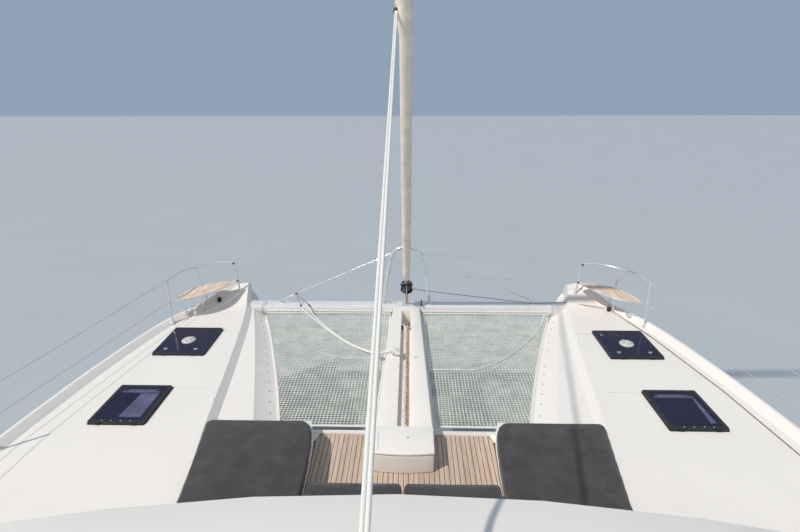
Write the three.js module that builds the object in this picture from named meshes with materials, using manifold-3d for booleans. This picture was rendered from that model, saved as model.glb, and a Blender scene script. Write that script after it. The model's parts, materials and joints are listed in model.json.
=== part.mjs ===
// Sailing catamaran of about fifty feet, afloat with bare mast and furled jib.
// Millimetres. +Y runs to the bows, +X to starboard, +Z up. The origin lies on the waterline,
// on the centreline, midway between the hulls' ends.
import * as THREE from 'three';
import { mergeVertices } from 'three/addons/utils/BufferGeometryUtils.js';
import Module from 'manifold-3d';

const wasm = await Module();
wasm.setup();

// Driving dimensions
const GAP = 0.4; // between pieces that touch
const CLEARANCE = 6; // between pieces that move past each other
const DECK_Z = 1950;
const PANEL_DROP = 70; // side platform below the deck
const NET_Z = 1750;
const BRIDGE_HALF = 1360; // half width of the bridge deck, where the hulls begin
const BRIDGE_FRONT = 3850;
const BRIDGE_AFT = -6100;
const SOLE_Z = 1700;
const SALOON_FLOOR_Z = 1250;
const COCKPIT_SOLE_Z = 1220;
const WALL_AFT = -2900;
const WALL_TOP_Z = 3420;
const MAST_Y = -1100;
const MAST_TOP_Z = 23400;
const HOUNDS_Z = 20400;
const BOOM_Z = 5150;
const BOOM_PIVOT_Y = -1330;
const BOOM_END_Y = -7050;
const CROSSBEAM_Y = 7120;
const CROSSBEAM_HALF = 2420;
const KEEL_X = 2950;
const DRAFT = 1400;

const WHITE = { color: 0xebe8e3, roughness: 0.25, metalness: 0 };
const ANTIFOUL = { color: 0x22303c, roughness: 0.7, metalness: 0 };
const ALUMINIUM = { color: 0xd8d9d9, roughness: 0.35, metalness: 0.9 };
const STEEL = { color: 0xc4c6c8, roughness: 0.2, metalness: 1 };
const RUSTY = { color: 0x8a6a4c, roughness: 0.8, metalness: 0.5 };
const TEAK = { color: 0xbea087, roughness: 0.7, metalness: 0 };
const CHARCOAL = { color: 0x464444, roughness: 0.95, metalness: 0 };
const DARK_GLASS = { color: 0x14161d, roughness: 0.08, metalness: 0 };
const NET = { color: 0xb8b8ac, roughness: 0.8, metalness: 0 };
const SAILCLOTH = { color: 0xe6e0d2, roughness: 0.85, metalness: 0 };
const BAG_CLOTH = { color: 0x5a5e62, roughness: 0.9, metalness: 0 };
const BLACK = { color: 0x1a1a1b, roughness: 0.5, metalness: 0 };
const ROPE = { color: 0xe4e1da, roughness: 0.9, metalness: 0 };
const ENGINE = { color: 0x4d6a62, roughness: 0.6, metalness: 0.3 };
const BRONZE = { color: 0xa5824c, roughness: 0.35, metalness: 0.9 };
const UPHOLSTERY = { color: 0xb9b1a5, roughness: 0.9, metalness: 0 };

const model = new THREE.Group();

function addNode(name, solid, finish) {
  const mesh = new THREE.Mesh(toGeometry(solid), new THREE.MeshStandardMaterial(finish));
  mesh.name = name;
  model.add(mesh);
  return mesh;
}

// Solids: from a closed geometry, and back
function toSolid(geometry) {
  const bare = geometry.clone();
  bare.deleteAttribute('normal');
  bare.deleteAttribute('uv');
  const merged = mergeVertices(bare, 1e-3);
  const triVerts = Uint32Array.from(merged.index.array);
  const vertProperties = Float32Array.from(merged.attributes.position.array);
  if (signedVolume(vertProperties, triVerts) < 0) {
    for (let i = 0; i < triVerts.length; i += 3) {
      const first = triVerts[i];
      triVerts[i] = triVerts[i + 1];
      triVerts[i + 1] = first;
    }
  }
  return new wasm.Manifold(new wasm.Mesh({ numProp: 3, vertProperties, triVerts }));
}

function signedVolume(points, faces) {
  let volume = 0;
  for (let i = 0; i < faces.length; i += 3) {
    const [a, b, c] = [faces[i] * 3, faces[i + 1] * 3, faces[i + 2] * 3];
    volume += points[a] * (points[b + 1] * points[c + 2] - points[b + 2] * points[c + 1]);
    volume += points[a + 1] * (points[b + 2] * points[c] - points[b] * points[c + 2]);
    volume += points[a + 2] * (points[b] * points[c + 1] - points[b + 1] * points[c]);
  }
  return volume / 6;
}

function toGeometry(solid) {
  const mesh = solid.getMesh();
  const geometry = new THREE.BufferGeometry();
  geometry.setAttribute('position', new THREE.BufferAttribute(Float32Array.from(mesh.vertProperties), 3));
  geometry.setIndex(new THREE.BufferAttribute(Uint32Array.from(mesh.triVerts), 1));
  return geometry;
}

function join(...solids) {
  return solids.reduce((whole, next) => whole.add(next));
}

function moved(solid, x, y, z) {
  return toSolid(toGeometry(solid).translate(x, y, z));
}

function mirrored(solid) {
  return toSolid(toGeometry(solid).scale(-1, 1, 1));
}

// Cuts a neighbour out of a solid and leaves a small gap on every side of it
function cutClear(solid, neighbour, gap = GAP) {
  const shifts = [[gap, 0, 0], [-gap, 0, 0], [0, gap, 0], [0, -gap, 0], [0, 0, gap], [0, 0, -gap]];
  const touching = solid.subtract(neighbour);
  return shifts.reduce((rest, shift) => rest.subtract(moved(neighbour, ...shift)), touching);
}

// Shapes
function block(x0, x1, y0, y1, z0, z1) {
  const geometry = new THREE.BoxGeometry(x1 - x0, y1 - y0, z1 - z0);
  return toSolid(geometry.translate((x0 + x1) / 2, (y0 + y1) / 2, (z0 + z1) / 2));
}

// A flat outline in X and Y, standing from z0 to z1
function plate(outline, z0, z1) {
  const shape = new THREE.Shape(outline.map(([x, y]) => new THREE.Vector2(x, y)));
  const geometry = new THREE.ExtrudeGeometry(shape, { depth: z1 - z0, bevelEnabled: false });
  return toSolid(geometry.translate(0, 0, z0));
}

// A side profile in Y and Z, running from x0 to x1
function sideProfile(outline, x0, x1) {
  const shape = new THREE.Shape(outline.map(([y, z]) => new THREE.Vector2(y, z)));
  const geometry = new THREE.ExtrudeGeometry(shape, { depth: x1 - x0, bevelEnabled: false });
  const turn = new THREE.Matrix4().makeBasis(
    new THREE.Vector3(0, 1, 0), new THREE.Vector3(0, 0, 1), new THREE.Vector3(1, 0, 0));
  return toSolid(geometry.applyMatrix4(turn).translate(x0, 0, 0));
}

// A round bar between two points, tapered where the second radius is given
function bar(from, to, radius, sides = 8, endRadius = radius) {
  const [a, b] = [new THREE.Vector3(...from), new THREE.Vector3(...to)];
  const along = b.clone().sub(a);
  const geometry = new THREE.CylinderGeometry(endRadius, radius, along.length(), sides);
  const up = new THREE.Vector3(0, 1, 0);
  geometry.applyQuaternion(new THREE.Quaternion().setFromUnitVectors(up, along.clone().normalize()));
  const middle = a.clone().add(b).multiplyScalar(0.5);
  return toSolid(geometry.translate(middle.x, middle.y, middle.z));
}

// A round tube bent smoothly through points
function bentTube(points, radius, steps = 16, sides = 8) {
  const path = new THREE.CatmullRomCurve3(points.map((p) => new THREE.Vector3(...p)), false, 'centripetal');
  const section = new THREE.Shape();
  for (let i = 0; i < sides; i += 1) {
    const angle = (i / sides) * 2 * Math.PI;
    const [x, y] = [radius * Math.cos(angle), radius * Math.sin(angle)];
    if (i === 0) section.moveTo(x, y);
    else section.lineTo(x, y);
  }
  return toSolid(new THREE.ExtrudeGeometry(section, { steps, extrudePath: path, bevelEnabled: false }));
}

// A skin over rings of points, closed at both ends
function loft(rings) {
  const count = rings[0].length;
  const points = rings.flat(2);
  const faces = [];
  for (let r = 0; r + 1 < rings.length; r += 1) {
    for (let i = 0; i < count; i += 1) {
      const next = (i + 1) % count;
      const [a, b, c, d] = [r * count + i, r * count + next, (r + 1) * count + next, (r + 1) * count + i];
      faces.push(a, b, c, a, c, d);
    }
  }
  for (const [r, along] of [[0, -1], [rings.length - 1, 1]]) {
    const flat = flattened(rings[r]);
    const cap = THREE.ShapeUtils.triangulateShape(flat, []);
    const turn = cap.reduce((sum, face) => sum + THREE.ShapeUtils.area(face.map((i) => flat[i])), 0);
    const keep = Math.sign(turn) === Math.sign(THREE.ShapeUtils.area(flat)) * along;
    for (const face of cap) faces.push(...(keep ? face : [...face].reverse()).map((i) => i + r * count));
  }
  const geometry = new THREE.BufferGeometry();
  geometry.setAttribute('position', new THREE.Float32BufferAttribute(points, 3));
  geometry.setIndex(faces);
  return toSolid(geometry);
}

// A ring seen square to its plane, for its cap
function flattened(ring) {
  const points = ring.map((p) => new THREE.Vector3(...p));
  const normal = new THREE.Vector3();
  points.forEach((p, i) => normal.add(p.clone().cross(points[(i + 1) % points.length])));
  normal.normalize();
  const away = Math.abs(normal.z) > 0.8 ? new THREE.Vector3(0, 1, 0) : new THREE.Vector3(0, 0, 1);
  const u = away.clone().cross(normal).normalize();
  const v = normal.clone().cross(u);
  return points.map((p) => new THREE.Vector2(p.dot(u), p.dot(v)));
}

// Rows of numbers between the rows of a table, on smooth curves through each column
function refined(rows, steps) {
  const result = [];
  for (let i = 0; i + 1 < rows.length; i += 1) {
    const [before, after] = [rows[Math.max(i - 1, 0)], rows[Math.min(i + 2, rows.length - 1)]];
    const [from, to] = [rows[i], rows[i + 1]];
    for (let s = 0; s < steps; s += 1) {
      const t = s / steps;
      result.push(from.map((value, k) => hermite(before, from, to, after, k, t)));
    }
  }
  result.push(rows[rows.length - 1]);
  return result;
}

function hermite(before, from, to, after, k, t) {
  const span = to[0] - from[0];
  if (k === 0) return from[0] + span * t;
  const slope = (a, b) => (a === b ? (to[k] - from[k]) / span : (b[k] - a[k]) / (b[0] - a[0]));
  const [m0, m1] = [slope(before, to) * span, slope(from, after) * span];
  const [t2, t3] = [t * t, t * t * t];
  const ends = (2 * t3 - 3 * t2 + 1) * from[k] + (3 * t2 - 2 * t3) * to[k];
  return ends + (t3 - 2 * t2 + t) * m0 + (t3 - t2) * m1;
}

// Hulls: sections from the bow to the stern of the starboard hull
// y, keel x, keel z, half beam at the water, gunwale x, deck edge x, ridge x, net edge x, under z, deck z
const BOW_ROWS = [
  [7600, 2760, -40, 14, 2812, 2778, 2756, 2722, 1500, 2085],
  [7510, 2762, -200, 52, 2945, 2782, 2738, 2650, 1600, 2150],
  [7280, 2771, -345, 125, 3150, 2735, 2650, 2520, 1650, 2095],
  [6920, 2797, -455, 240, 3400, 2665, 2550, 2360, 1630, 1965],
  [6300, 2850, -545, 430, 3740, 2540, 2345, 2122, 1610, DECK_Z],
  [5000, 2920, -640, 740, 4035, 2335, 1965, 1695, 1590, DECK_Z],
  [3862, KEEL_X, -690, 880, 4195, 2175, 1645, 1372, 1450, DECK_Z],
];
const MIDDLE_ROWS = [
  [BRIDGE_FRONT, KEEL_X, -690, 882, 4197, 2172, 1364, 1361, 1420, DECK_Z],
  [3200, KEEL_X, -708, 925, 4255, 2062, 1364, 1361, 1060, DECK_Z],
  [2200, KEEL_X, -718, 948, 4290, 1962, 1364, 1361, 875, 1946],
  [0, KEEL_X, -718, 950, 4300, 1902, 1364, 1361, 865, 1936],
  [-2500, KEEL_X, -690, 950, 4300, 1900, 1364, 1361, 865, 1920],
  [-5000, KEEL_X, -560, 930, 4262, 1900, 1364, 1361, 870, 1892],
  [BRIDGE_AFT, KEEL_X, -430, 900, 4200, 1900, 1364, 1361, 960, 1872],
];
const STERN_ROWS = [
  [-6112, KEEL_X, -428, 900, 4198, 2250, 2105, 2005, 1000, 1871],
  [-6900, KEEL_X, -280, 865, 4140, 2280, 2130, 2045, 860, 1850],
  [-7600, KEEL_X, -115, 820, 4080, 2300, 2150, 2075, 700, 1832],
];
const HULL_ROWS = [...refined(BOW_ROWS, 2), ...MIDDLE_ROWS, ...STERN_ROWS];

function hullRing([y, keelX, keelZ, beam, railX, deckX, ridgeX, netX, underZ, deckZ]) {
  const rail = Math.min(1, (railX - deckX) / 600); // the gunwale fades to nothing at the stem
  const step = Math.min(1, (deckX - ridgeX) / 110);
  const panelZ = Math.min(deckZ, DECK_Z + 5); // the side platform stays level where the nose rises
  const section = [
    [keelX, keelZ],
    [keelX + 0.6 * beam, keelZ * 0.8],
    [keelX + 0.92 * beam, keelZ * 0.35],
    [keelX + beam, 100],
    [keelX + beam + 0.8 * (railX - keelX - beam), 950],
    [railX, deckZ - 60],
    [railX - 20 * rail, deckZ + 70 * rail],
    [railX - 75 * rail, deckZ + 70 * rail],
    [railX - 160 * rail, deckZ],
    [deckX, deckZ],
    [deckX - 90 * step, panelZ - PANEL_DROP * step],
    [ridgeX, panelZ - PANEL_DROP * step],
    [(ridgeX + netX) / 2, panelZ - 150 * step],
    [netX, panelZ - 200 * step],
    [netX, underZ],
    [keelX - beam * 1.04, Math.min(850, underZ - 10)],
    [keelX - beam, 100],
    [keelX - 0.92 * beam, keelZ * 0.35],
    [keelX - 0.6 * beam, keelZ * 0.8],
  ];
  return section.map(([x, z]) => [x, y, z]);
}

// A value of the hull's table at any place along it
function hullAt(y, column) {
  const rows = HULL_ROWS;
  const i = rows.findIndex((row, k) => k + 1 < rows.length && row[0] >= y && rows[k + 1][0] <= y);
  const [a, b] = [rows[i], rows[i + 1]];
  return a[column] + ((b[column] - a[column]) * (y - a[0])) / (b[0] - a[0]);
}
const railX = (y) => hullAt(y, 4);
const deckZ = (y) => hullAt(y, 9);

// Deck hatches: name, x0, x1, y0, y1
const DECK_HATCHES = [
  ['hatch_front', 2765, 3475, 5340, 6110],
  ['hatch_middle', 2840, 3468, 3862, 4580],
];
const HATCH_LIFT = 8; // lid above the deck
const HATCH_THICK = 26;
const HATCH_WELL_INSET = 55;
const HATCH_WELL_DEPTH = 180;
const ENGINE_LID = [2600, 3300, -5950, -5000];
const ENGINE_WELL_INSET = 50;
const ENGINE_WELL_FLOOR = 60;
const SAILDRIVE_Y = -5420;
const RUDDER_Y = -6700;
const STOCK_RADIUS = 35;
const ABOVE_DECK = 2400;
const STERN_STEPS = [[-6050, 1480], [-6430, 1080], [-6830, 560]]; // y of each riser, z of the tread behind it
const STERN_STEPS_X = [1700, 3930];
const QUARTER_SWEEP = [[-6050, 2010], [-6900, 1150], [-7700, 800]]; // y, z of the quarter's top edge

// An upright leg or strut with a streamlined plan
function leg(x, halfWidth, y0, y1, z0, z1) {
  const middle = (y0 + y1) / 2;
  const wide = middle + 40; // the widest place lies a little ahead of the middle
  const tail = halfWidth / 2;
  const outline = [[x - halfWidth, wide], [x, y1], [x + halfWidth, wide], [x + tail, y0], [x - tail, y0]];
  return plate(outline, z0, z1);
}

function starboardHull() {
  let hull = loft(HULL_ROWS.map(hullRing));
  for (const [, x0, x1, y0, y1] of DECK_HATCHES) {
    const [inset, floor] = [HATCH_WELL_INSET, DECK_Z - HATCH_WELL_DEPTH];
    hull = hull.subtract(block(x0 + inset, x1 - inset, y0 + inset, y1 - inset, floor, ABOVE_DECK));
  }
  const [ex0, ex1, ey0, ey1] = ENGINE_LID;
  const e = ENGINE_WELL_INSET;
  hull = hull.subtract(block(ex0 + e, ex1 - e, ey0 + e, ey1 - e, ENGINE_WELL_FLOOR, ABOVE_DECK));
  hull = hull.subtract(leg(KEEL_X, 62, SAILDRIVE_Y - 182, SAILDRIVE_Y + 182, -900, 100));
  hull = hull.subtract(bar([KEEL_X, RUDDER_Y, -700], [KEEL_X, RUDDER_Y, 150], STOCK_RADIUS + 4, 16));
  const behind = -7700; // past the transom
  const steps = [[STERN_STEPS[0][0], ABOVE_DECK]];
  STERN_STEPS.forEach(([y, z], i) => {
    const next = i + 1 < STERN_STEPS.length ? STERN_STEPS[i + 1][0] : behind;
    steps.push([y, z], [next, z]);
  });
  steps.push([behind, ABOVE_DECK]);
  hull = hull.subtract(sideProfile(steps, ...STERN_STEPS_X));
  const sweep = [[-6050, ABOVE_DECK], ...QUARTER_SWEEP, [behind, ABOVE_DECK]];
  return hull.subtract(sideProfile(sweep, STERN_STEPS_X[0], 4600));
}

const hullStarboard = starboardHull();
const hullPort = mirrored(hullStarboard);
addNode('hull_starboard', hullStarboard, WHITE);
addNode('hull_port', hullPort, WHITE);

// Each piece that a side has, on both sides
function onBothSides(name, solid, finish) {
  addNode(`${name}_starboard`, solid, finish);
  addNode(`${name}_port`, mirrored(solid), finish);
}

// A level section of a keel or rudder: z, aft end, fore end, half width, how far aft it is widest
function foil(z, y0, y1, half, widest, taper) {
  const wideY = y1 + (y0 - y1) * widest;
  const aftY = y0 + (wideY - y0) * 0.4;
  return [
    [KEEL_X, y1, z], [KEEL_X + half, wideY, z], [KEEL_X + half * taper, aftY, z],
    [KEEL_X, y0, z], [KEEL_X - half * taper, aftY, z], [KEEL_X - half, wideY, z],
  ];
}

// Stub keels
function keel() {
  const sections = [[-400, -2050, 1450, 190], [-900, -1900, 1150, 150], [-DRAFT, -1700, 800, 110]];
  return cutClear(loft(sections.map((section) => foil(...section, 0.33, 0.7))), hullStarboard);
}
onBothSides('keel', keel(), ANTIFOUL);

// Engine block with its saildrive leg, and the propeller behind it
const SHAFT_Z = -900;
const PROP_Y = -5800;
function engine() {
  const [, , y0, y1] = ENGINE_LID;
  const floor = ENGINE_WELL_FLOOR;
  const body = block(KEEL_X - 250, KEEL_X + 250, y0 + 130, y1 - 130, floor + 60, floor + 640);
  const drive = leg(KEEL_X, 58, SAILDRIVE_Y - 176, SAILDRIVE_Y + 176, SHAFT_Z - 60, floor + 100);
  const pod = bar([KEEL_X, SAILDRIVE_Y + 260, SHAFT_Z], [KEEL_X, PROP_Y + 70, SHAFT_Z], 40, 12, 75);
  const shaft = bar([KEEL_X, PROP_Y + 100, SHAFT_Z], [KEEL_X, PROP_Y + 40, SHAFT_Z], 24, 12);
  const skeg = leg(KEEL_X, 22, SAILDRIVE_Y - 120, SAILDRIVE_Y + 100, SHAFT_Z - 190, SHAFT_Z - 40);
  return join(body, drive, pod, shaft, skeg);
}
onBothSides('engine_saildrive', engine(), ENGINE);

function propeller() {
  let solid = bar([KEEL_X, PROP_Y + 34, SHAFT_Z], [KEEL_X, PROP_Y - 90, SHAFT_Z], 55, 12, 30);
  for (let i = 0; i < 3; i += 1) {
    const root = new THREE.BoxGeometry(60, 16, 120).translate(0, 0, 60);
    const turn = new THREE.Matrix4().makeRotationY((i * 2 * Math.PI) / 3);
    const pitch = new THREE.Matrix4().makeRotationZ(0.45);
    for (const shape of [bladeGeometry(), root]) {
      shape.applyMatrix4(pitch).applyMatrix4(turn).translate(KEEL_X, PROP_Y - 25, SHAFT_Z);
      solid = solid.add(toSolid(shape));
    }
  }
  return solid;
}

// A blade that stands up from the hub, rounded at its tip
function bladeGeometry() {
  const shape = new THREE.Shape();
  shape.moveTo(-30, 40);
  shape.bezierCurveTo(-95, 120, -90, 215, 0, 230);
  shape.bezierCurveTo(90, 215, 95, 120, 30, 40);
  const geometry = new THREE.ExtrudeGeometry(shape, { depth: 12, bevelEnabled: false, curveSegments: 6 });
  return geometry.translate(0, 0, -6).rotateX(Math.PI / 2);
}
onBothSides('propeller', propeller(), BRONZE);

// Spade rudders
function rudder() {
  const sections = [[-352, RUDDER_Y - 350, RUDDER_Y + 125, 42], [-1290, RUDDER_Y - 240, RUDDER_Y + 110, 26]];
  const blade = loft(sections.map((section) => foil(...section, 0.3, 0.6)));
  return join(blade, bar([KEEL_X, RUDDER_Y, -500], [KEEL_X, RUDDER_Y, 140], STOCK_RADIUS, 16));
}
onBothSides('rudder', rudder(), ANTIFOUL);

// Bridge deck: side profile with the front cockpit, the saloon floor and the aft cockpit sole
const COCKPIT_FRONT_Y = 4110;
const STRIP_Y = 4060; // white strip between the net and the sole
const STRIP_Z = 1720;
const LIP_Z = 1600; // underside of the deck's front edge
const SEAT_FRONT_Y = 3000;
const SEAT_Z = 1880;
const SEAT_BACK_Y = 2380;
const SHELF_Z = 2090; // ledge behind the seats, under the cabin's front
const SOLE_THICK = 40;
// inner faces of the benches from the seat to the strip
const BENCH_EDGE = [[970, SEAT_FRONT_Y - 10], [975, 3500], [1000, 3900], [1040, STRIP_Y + 2]];
function bridgeDeck() {
  const half = BRIDGE_HALF;
  const profile = [
    [BRIDGE_AFT, 960], [-5500, 865], [2200, 875], [3200, 1060], [BRIDGE_FRONT, 1420],
    [COCKPIT_FRONT_Y, LIP_Z], [COCKPIT_FRONT_Y, STRIP_Z], [STRIP_Y, STRIP_Z],
    [STRIP_Y, SOLE_Z - SOLE_THICK], [SEAT_FRONT_Y, SOLE_Z - SOLE_THICK],
    [SEAT_FRONT_Y, SEAT_Z], [SEAT_BACK_Y, SEAT_Z],
    [SEAT_BACK_Y, SHELF_Z], [2080, SHELF_Z], [1900, SALOON_FLOOR_Z],
    [WALL_AFT - 60, SALOON_FLOOR_Z], [WALL_AFT - 60, COCKPIT_SOLE_Z], [BRIDGE_AFT, COCKPIT_SOLE_Z],
  ];
  const deck = sideProfile(profile, -half, half);
  const benchOutline = [...BENCH_EDGE, [half, STRIP_Y + 2], [half, SEAT_FRONT_Y - 10]];
  const bench = plate(benchOutline, SOLE_Z - SOLE_THICK - 20, SEAT_Z);
  const [start, front] = [BRIDGE_FRONT - 50, COCKPIT_FRONT_Y];
  const sideOutline = [[half - 10, start], [half - 10, front], [half + 120, front], [half + 60, start]];
  const side = cutClear(plate(sideOutline, LIP_Z, STRIP_Z), hullStarboard);
  return join(deck, bench, mirrored(bench), side, mirrored(side));
}
const bridge = bridgeDeck();
addNode('bridge_deck', bridge, WHITE);

// Windlass locker: a box with a round aft face at the end of the centre beam, with a lid on top
const LOCKER_HALF = 310;
const LOCKER_FRONT_Y = 3902;
const LOCKER_AFT_Y = 3485;
const LOCKER_ROUND = 25; // how far the aft face stands out in its middle
const LID_THICK = 24;
function lockerOutline(inset) {
  const half = LOCKER_HALF - inset;
  const outline = [[-half, LOCKER_FRONT_Y - inset], [half, LOCKER_FRONT_Y - inset]];
  for (let i = 0; i <= 8; i += 1) {
    const x = half - (i / 8) * 2 * half;
    outline.push([x, LOCKER_AFT_Y + inset - LOCKER_ROUND * (1 - (x / half) ** 2)]);
  }
  return outline;
}
const lockerBox = plate(lockerOutline(0), SOLE_Z + GAP, DECK_Z - 30);
addNode('windlass_locker', lockerBox.subtract(plate(lockerOutline(30), SOLE_Z + 40, DECK_Z)), WHITE);
const lidLow = DECK_Z - 30 + CLEARANCE;
const lid = plate(lockerOutline(-4), lidLow, lidLow + LID_THICK);
const beamSide = block(-400, 400, LOCKER_FRONT_Y - 4, LOCKER_FRONT_Y + 50, lidLow - 50, DECK_Z + 50);
addNode('locker_lid', lid.subtract(beamSide), WHITE);

// Teak boards of the front cockpit's sole, in one piece
function teakSole() {
  const side = BENCH_EDGE.map(([x, y]) => [x - 6, Math.min(Math.max(y, SEAT_FRONT_Y + 4), STRIP_Y - 4)]);
  const outline = [...side, ...side.map(([x, y]) => [-x, y]).reverse()];
  return plate(outline, SOLE_Z - SOLE_THICK + GAP, SOLE_Z);
}
addNode('teak_sole', teakSole(), TEAK);

// Front crossbeam, centre beam with the chain channel, striker arch
function crossbeam() {
  const [half, high] = [130, DECK_Z - 5];
  // share of the half width, drop below the top
  const aftHalf = [[0.62, 0], [0.88, 12], [1, 45], [1, 95], [0.82, 160], [0.45, 200]];
  const outline = [
    ...aftHalf.map(([share, down]) => [CROSSBEAM_Y - half * share, high - down]),
    ...[...aftHalf].reverse().map(([share, down]) => [CROSSBEAM_Y + half * share, high - down]),
  ];
  const beam = sideProfile(outline, -CROSSBEAM_HALF - 300, CROSSBEAM_HALF + 300);
  return cutClear(cutClear(beam, hullStarboard), hullPort);
}
const beamFront = crossbeam();
addNode('crossbeam', beamFront, ALUMINIUM);

const BEAM_TOP_Z = DECK_Z - 10;
const BEAM_DEEP = BEAM_TOP_Z - SOLE_Z - GAP;
const CHANNEL_HALF = 78;
const CHANNEL_FLOOR_Z = BEAM_TOP_Z - 70;
const CHAIN_SLOT = [6430, 6850];
function centreBeam() {
  const [aftY, frontY, aftHalf, frontHalf] = [LOCKER_FRONT_Y + 2, CROSSBEAM_Y - 140, 304, 208];
  const outline = [[-aftHalf, aftY], [aftHalf, aftY], [frontHalf, frontY], [-frontHalf, frontY]];
  let beam = plate(outline, BEAM_TOP_Z - BEAM_DEEP, BEAM_TOP_Z);
  const [above, slotHalf] = [BEAM_TOP_Z + 50, CHANNEL_HALF - 8];
  beam = beam.subtract(block(-CHANNEL_HALF, CHANNEL_HALF, aftY - 10, CHAIN_SLOT[1], CHANNEL_FLOOR_Z, above));
  beam = beam.subtract(block(-slotHalf, slotHalf, ...CHAIN_SLOT, 1000, above));
  return cutClear(cutClear(beam, bridge), beamFront);
}
const beamCentre = centreBeam();
addNode('centre_beam', beamCentre, WHITE);

// Anchor chain: links of 12 mm wire, each turned a quarter from the next
const CHAIN_X = 22;
const LINK_PITCH = 36;
const LINK_WIRE = 6; // radius
const LINK_BEND = 13; // from the link's middle line to the middle of its wire
const LINK_REACH = 23; // from the link's middle to the middle of its wire at an end
const CHAIN_Z = CHANNEL_FLOOR_Z + LINK_BEND + LINK_WIRE;
const CHAIN_ENDS = [LOCKER_FRONT_Y + 45, 6450];
const SHANK_TOP_Z = 1842;
function link(place, upright, hanging = false) {
  const ring = new THREE.TorusGeometry(LINK_BEND, LINK_WIRE, 4, 6).rotateZ(Math.PI / 6);
  const corners = ring.attributes.position;
  const stretch = LINK_REACH - LINK_BEND;
  for (let i = 0; i < corners.count; i += 1) {
    corners.setY(i, corners.getY(i) + Math.sign(corners.getY(i)) * stretch);
  }
  if (upright) ring.rotateY(Math.PI / 2);
  if (hanging) ring.rotateX(Math.PI / 2);
  return toSolid(ring.translate(...place));
}
function anchorChain() {
  const [first, last] = CHAIN_ENDS;
  const count = 1 + 2 * Math.round((last - first) / LINK_PITCH / 2);
  const links = [];
  for (let i = 0; i < count; i += 1) {
    links.push(link([CHAIN_X, first + i * LINK_PITCH, CHAIN_Z], i % 2 === 1));
  }
  const endY = first + (count - 1) * LINK_PITCH + LINK_REACH - LINK_WIRE;
  links.push(link([CHAIN_X, endY, CHAIN_Z - LINK_REACH + LINK_WIRE], true, true));
  return join(...links);
}
addNode('anchor_chain', anchorChain(), RUSTY);

// Anchor stowed under the centre beam, its shank up against the roller
function anchor() {
  const shankSide = [
    [6440, SHANK_TOP_Z], [6500, SHANK_TOP_Z], [6560, 1740], [7290, 1180],
    [7400, 1010], [7310, 1010], [7200, 1130], [6440, 1720],
  ];
  const shank = sideProfile(shankSide, CHAIN_X - 14, CHAIN_X + 14);
  const blade = loft([
    [[CHAIN_X, 7480, 1120], [CHAIN_X + 12, 7470, 1110], [CHAIN_X, 7460, 1080], [CHAIN_X - 12, 7470, 1110]],
    [[CHAIN_X, 7180, 960], [CHAIN_X + 230, 7080, 1090], [CHAIN_X, 7190, 920], [CHAIN_X - 230, 7080, 1090]],
    [[CHAIN_X, 6900, 880], [CHAIN_X + 170, 6880, 960], [CHAIN_X, 6905, 850], [CHAIN_X - 170, 6880, 960]],
  ]);
  const neck = block(CHAIN_X - 14, CHAIN_X + 14, 7130, 7300, 930, 1100);
  return join(shank, blade, neck);
}
addNode('anchor', anchor(), STEEL);

// Striker arch over the crossbeam, with its stays to the beam's ends
const ARCH_TOP_Z = 2960;
function strikerArch() {
  const foot = DECK_Z - 5 + GAP;
  const y = CROSSBEAM_Y;
  // x, lean forward, z
  const rise = [[395, 0, foot], [330, 20, foot + 420], [215, 35, ARCH_TOP_Z - 130]];
  const path = [
    ...rise.map(([x, lean, z]) => [-x, y + lean, z]),
    [0, y + 40, ARCH_TOP_Z - 28],
    ...[...rise].reverse().map(([x, lean, z]) => [x, y + lean, z]),
  ];
  const parts = [bentTube(path, 28, 20, 8)];
  for (const side of [-1, 1]) {
    parts.push(bar([side * 30, y + 38, ARCH_TOP_Z - 40], [side * 2130, y, foot + 40], 8, 6));
    parts.push(block(side * 2130 - 40, side * 2130 + 40, y - 25, y + 25, foot, foot + 60));
    parts.push(bar([side * 395, y, foot], [side * 395, y, foot + 14], 60, 12));
  }
  return cutClear(join(...parts), beamFront);
}
addNode('striker_arch', strikerArch(), STEEL);

// Trampolines between the crossbeam, the centre beam and the hulls
const NET_THICK = 14;
function trampoline() {
  const frontY = CROSSBEAM_Y - 150;
  const ys = [frontY, 6100, 4770, COCKPIT_FRONT_Y + 12];
  const outer = ys.map((y) => [hullAt(y, 7) - 12, y]);
  const halfBeam = (y) => 304 + ((208 - 304) * (y - LOCKER_FRONT_Y)) / (CROSSBEAM_Y - 140 - LOCKER_FRONT_Y);
  const inner = [[halfBeam(ys[3]) + 12, ys[3]], [halfBeam(frontY) + 12, frontY]];
  return plate([...outer, ...inner], NET_Z - NET_THICK, NET_Z);
}
onBothSides('trampoline', trampoline(), NET);

// Pulpits, with the seats between their posts
const TUBE = 14;
const RAIL_Z = 2590;
// foot x, foot y, top x, top y
const PULPIT_LEGS = [
  [3610, 6280, 3700, 6500],
  [3300, 6940, 3500, 7080],
  [2860, 7270, 2950, 7350],
];
function pulpit() {
  const tops = PULPIT_LEGS.map(([, , x, y]) => [x, y, RAIL_Z]);
  const crown = RAIL_Z + 10;
  const path = [tops[0], [3640, 6850, crown], tops[1], [3250, 7270, crown], tops[2]];
  const parts = [bentTube(path, TUBE, 14, 8)];
  for (const [fx, fy, tx, ty] of PULPIT_LEGS) {
    const foot = deckZ(fy) + 150;
    parts.push(bar([fx, fy, foot - 250], [tx, ty, RAIL_Z + 4], TUBE, 8));
  }
  return cutClear(join(...parts), hullStarboard);
}
onBothSides('pulpit', pulpit(), STEEL);

const SEAT_PLANK_Z = 2270;
function bowSeat() {
  const outline = [
    [3600, 6500], [3560, 6780], [3420, 7020], [3200, 7190],
    [2960, 7260], [3060, 7060], [3250, 6780], [3480, 6500],
  ];
  const plank = plate(outline, SEAT_PLANK_Z, SEAT_PLANK_Z + 24);
  return cutClear(plank, pulpit(), 0.6);
}
onBothSides('bow_seat', bowSeat(), TEAK);

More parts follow.
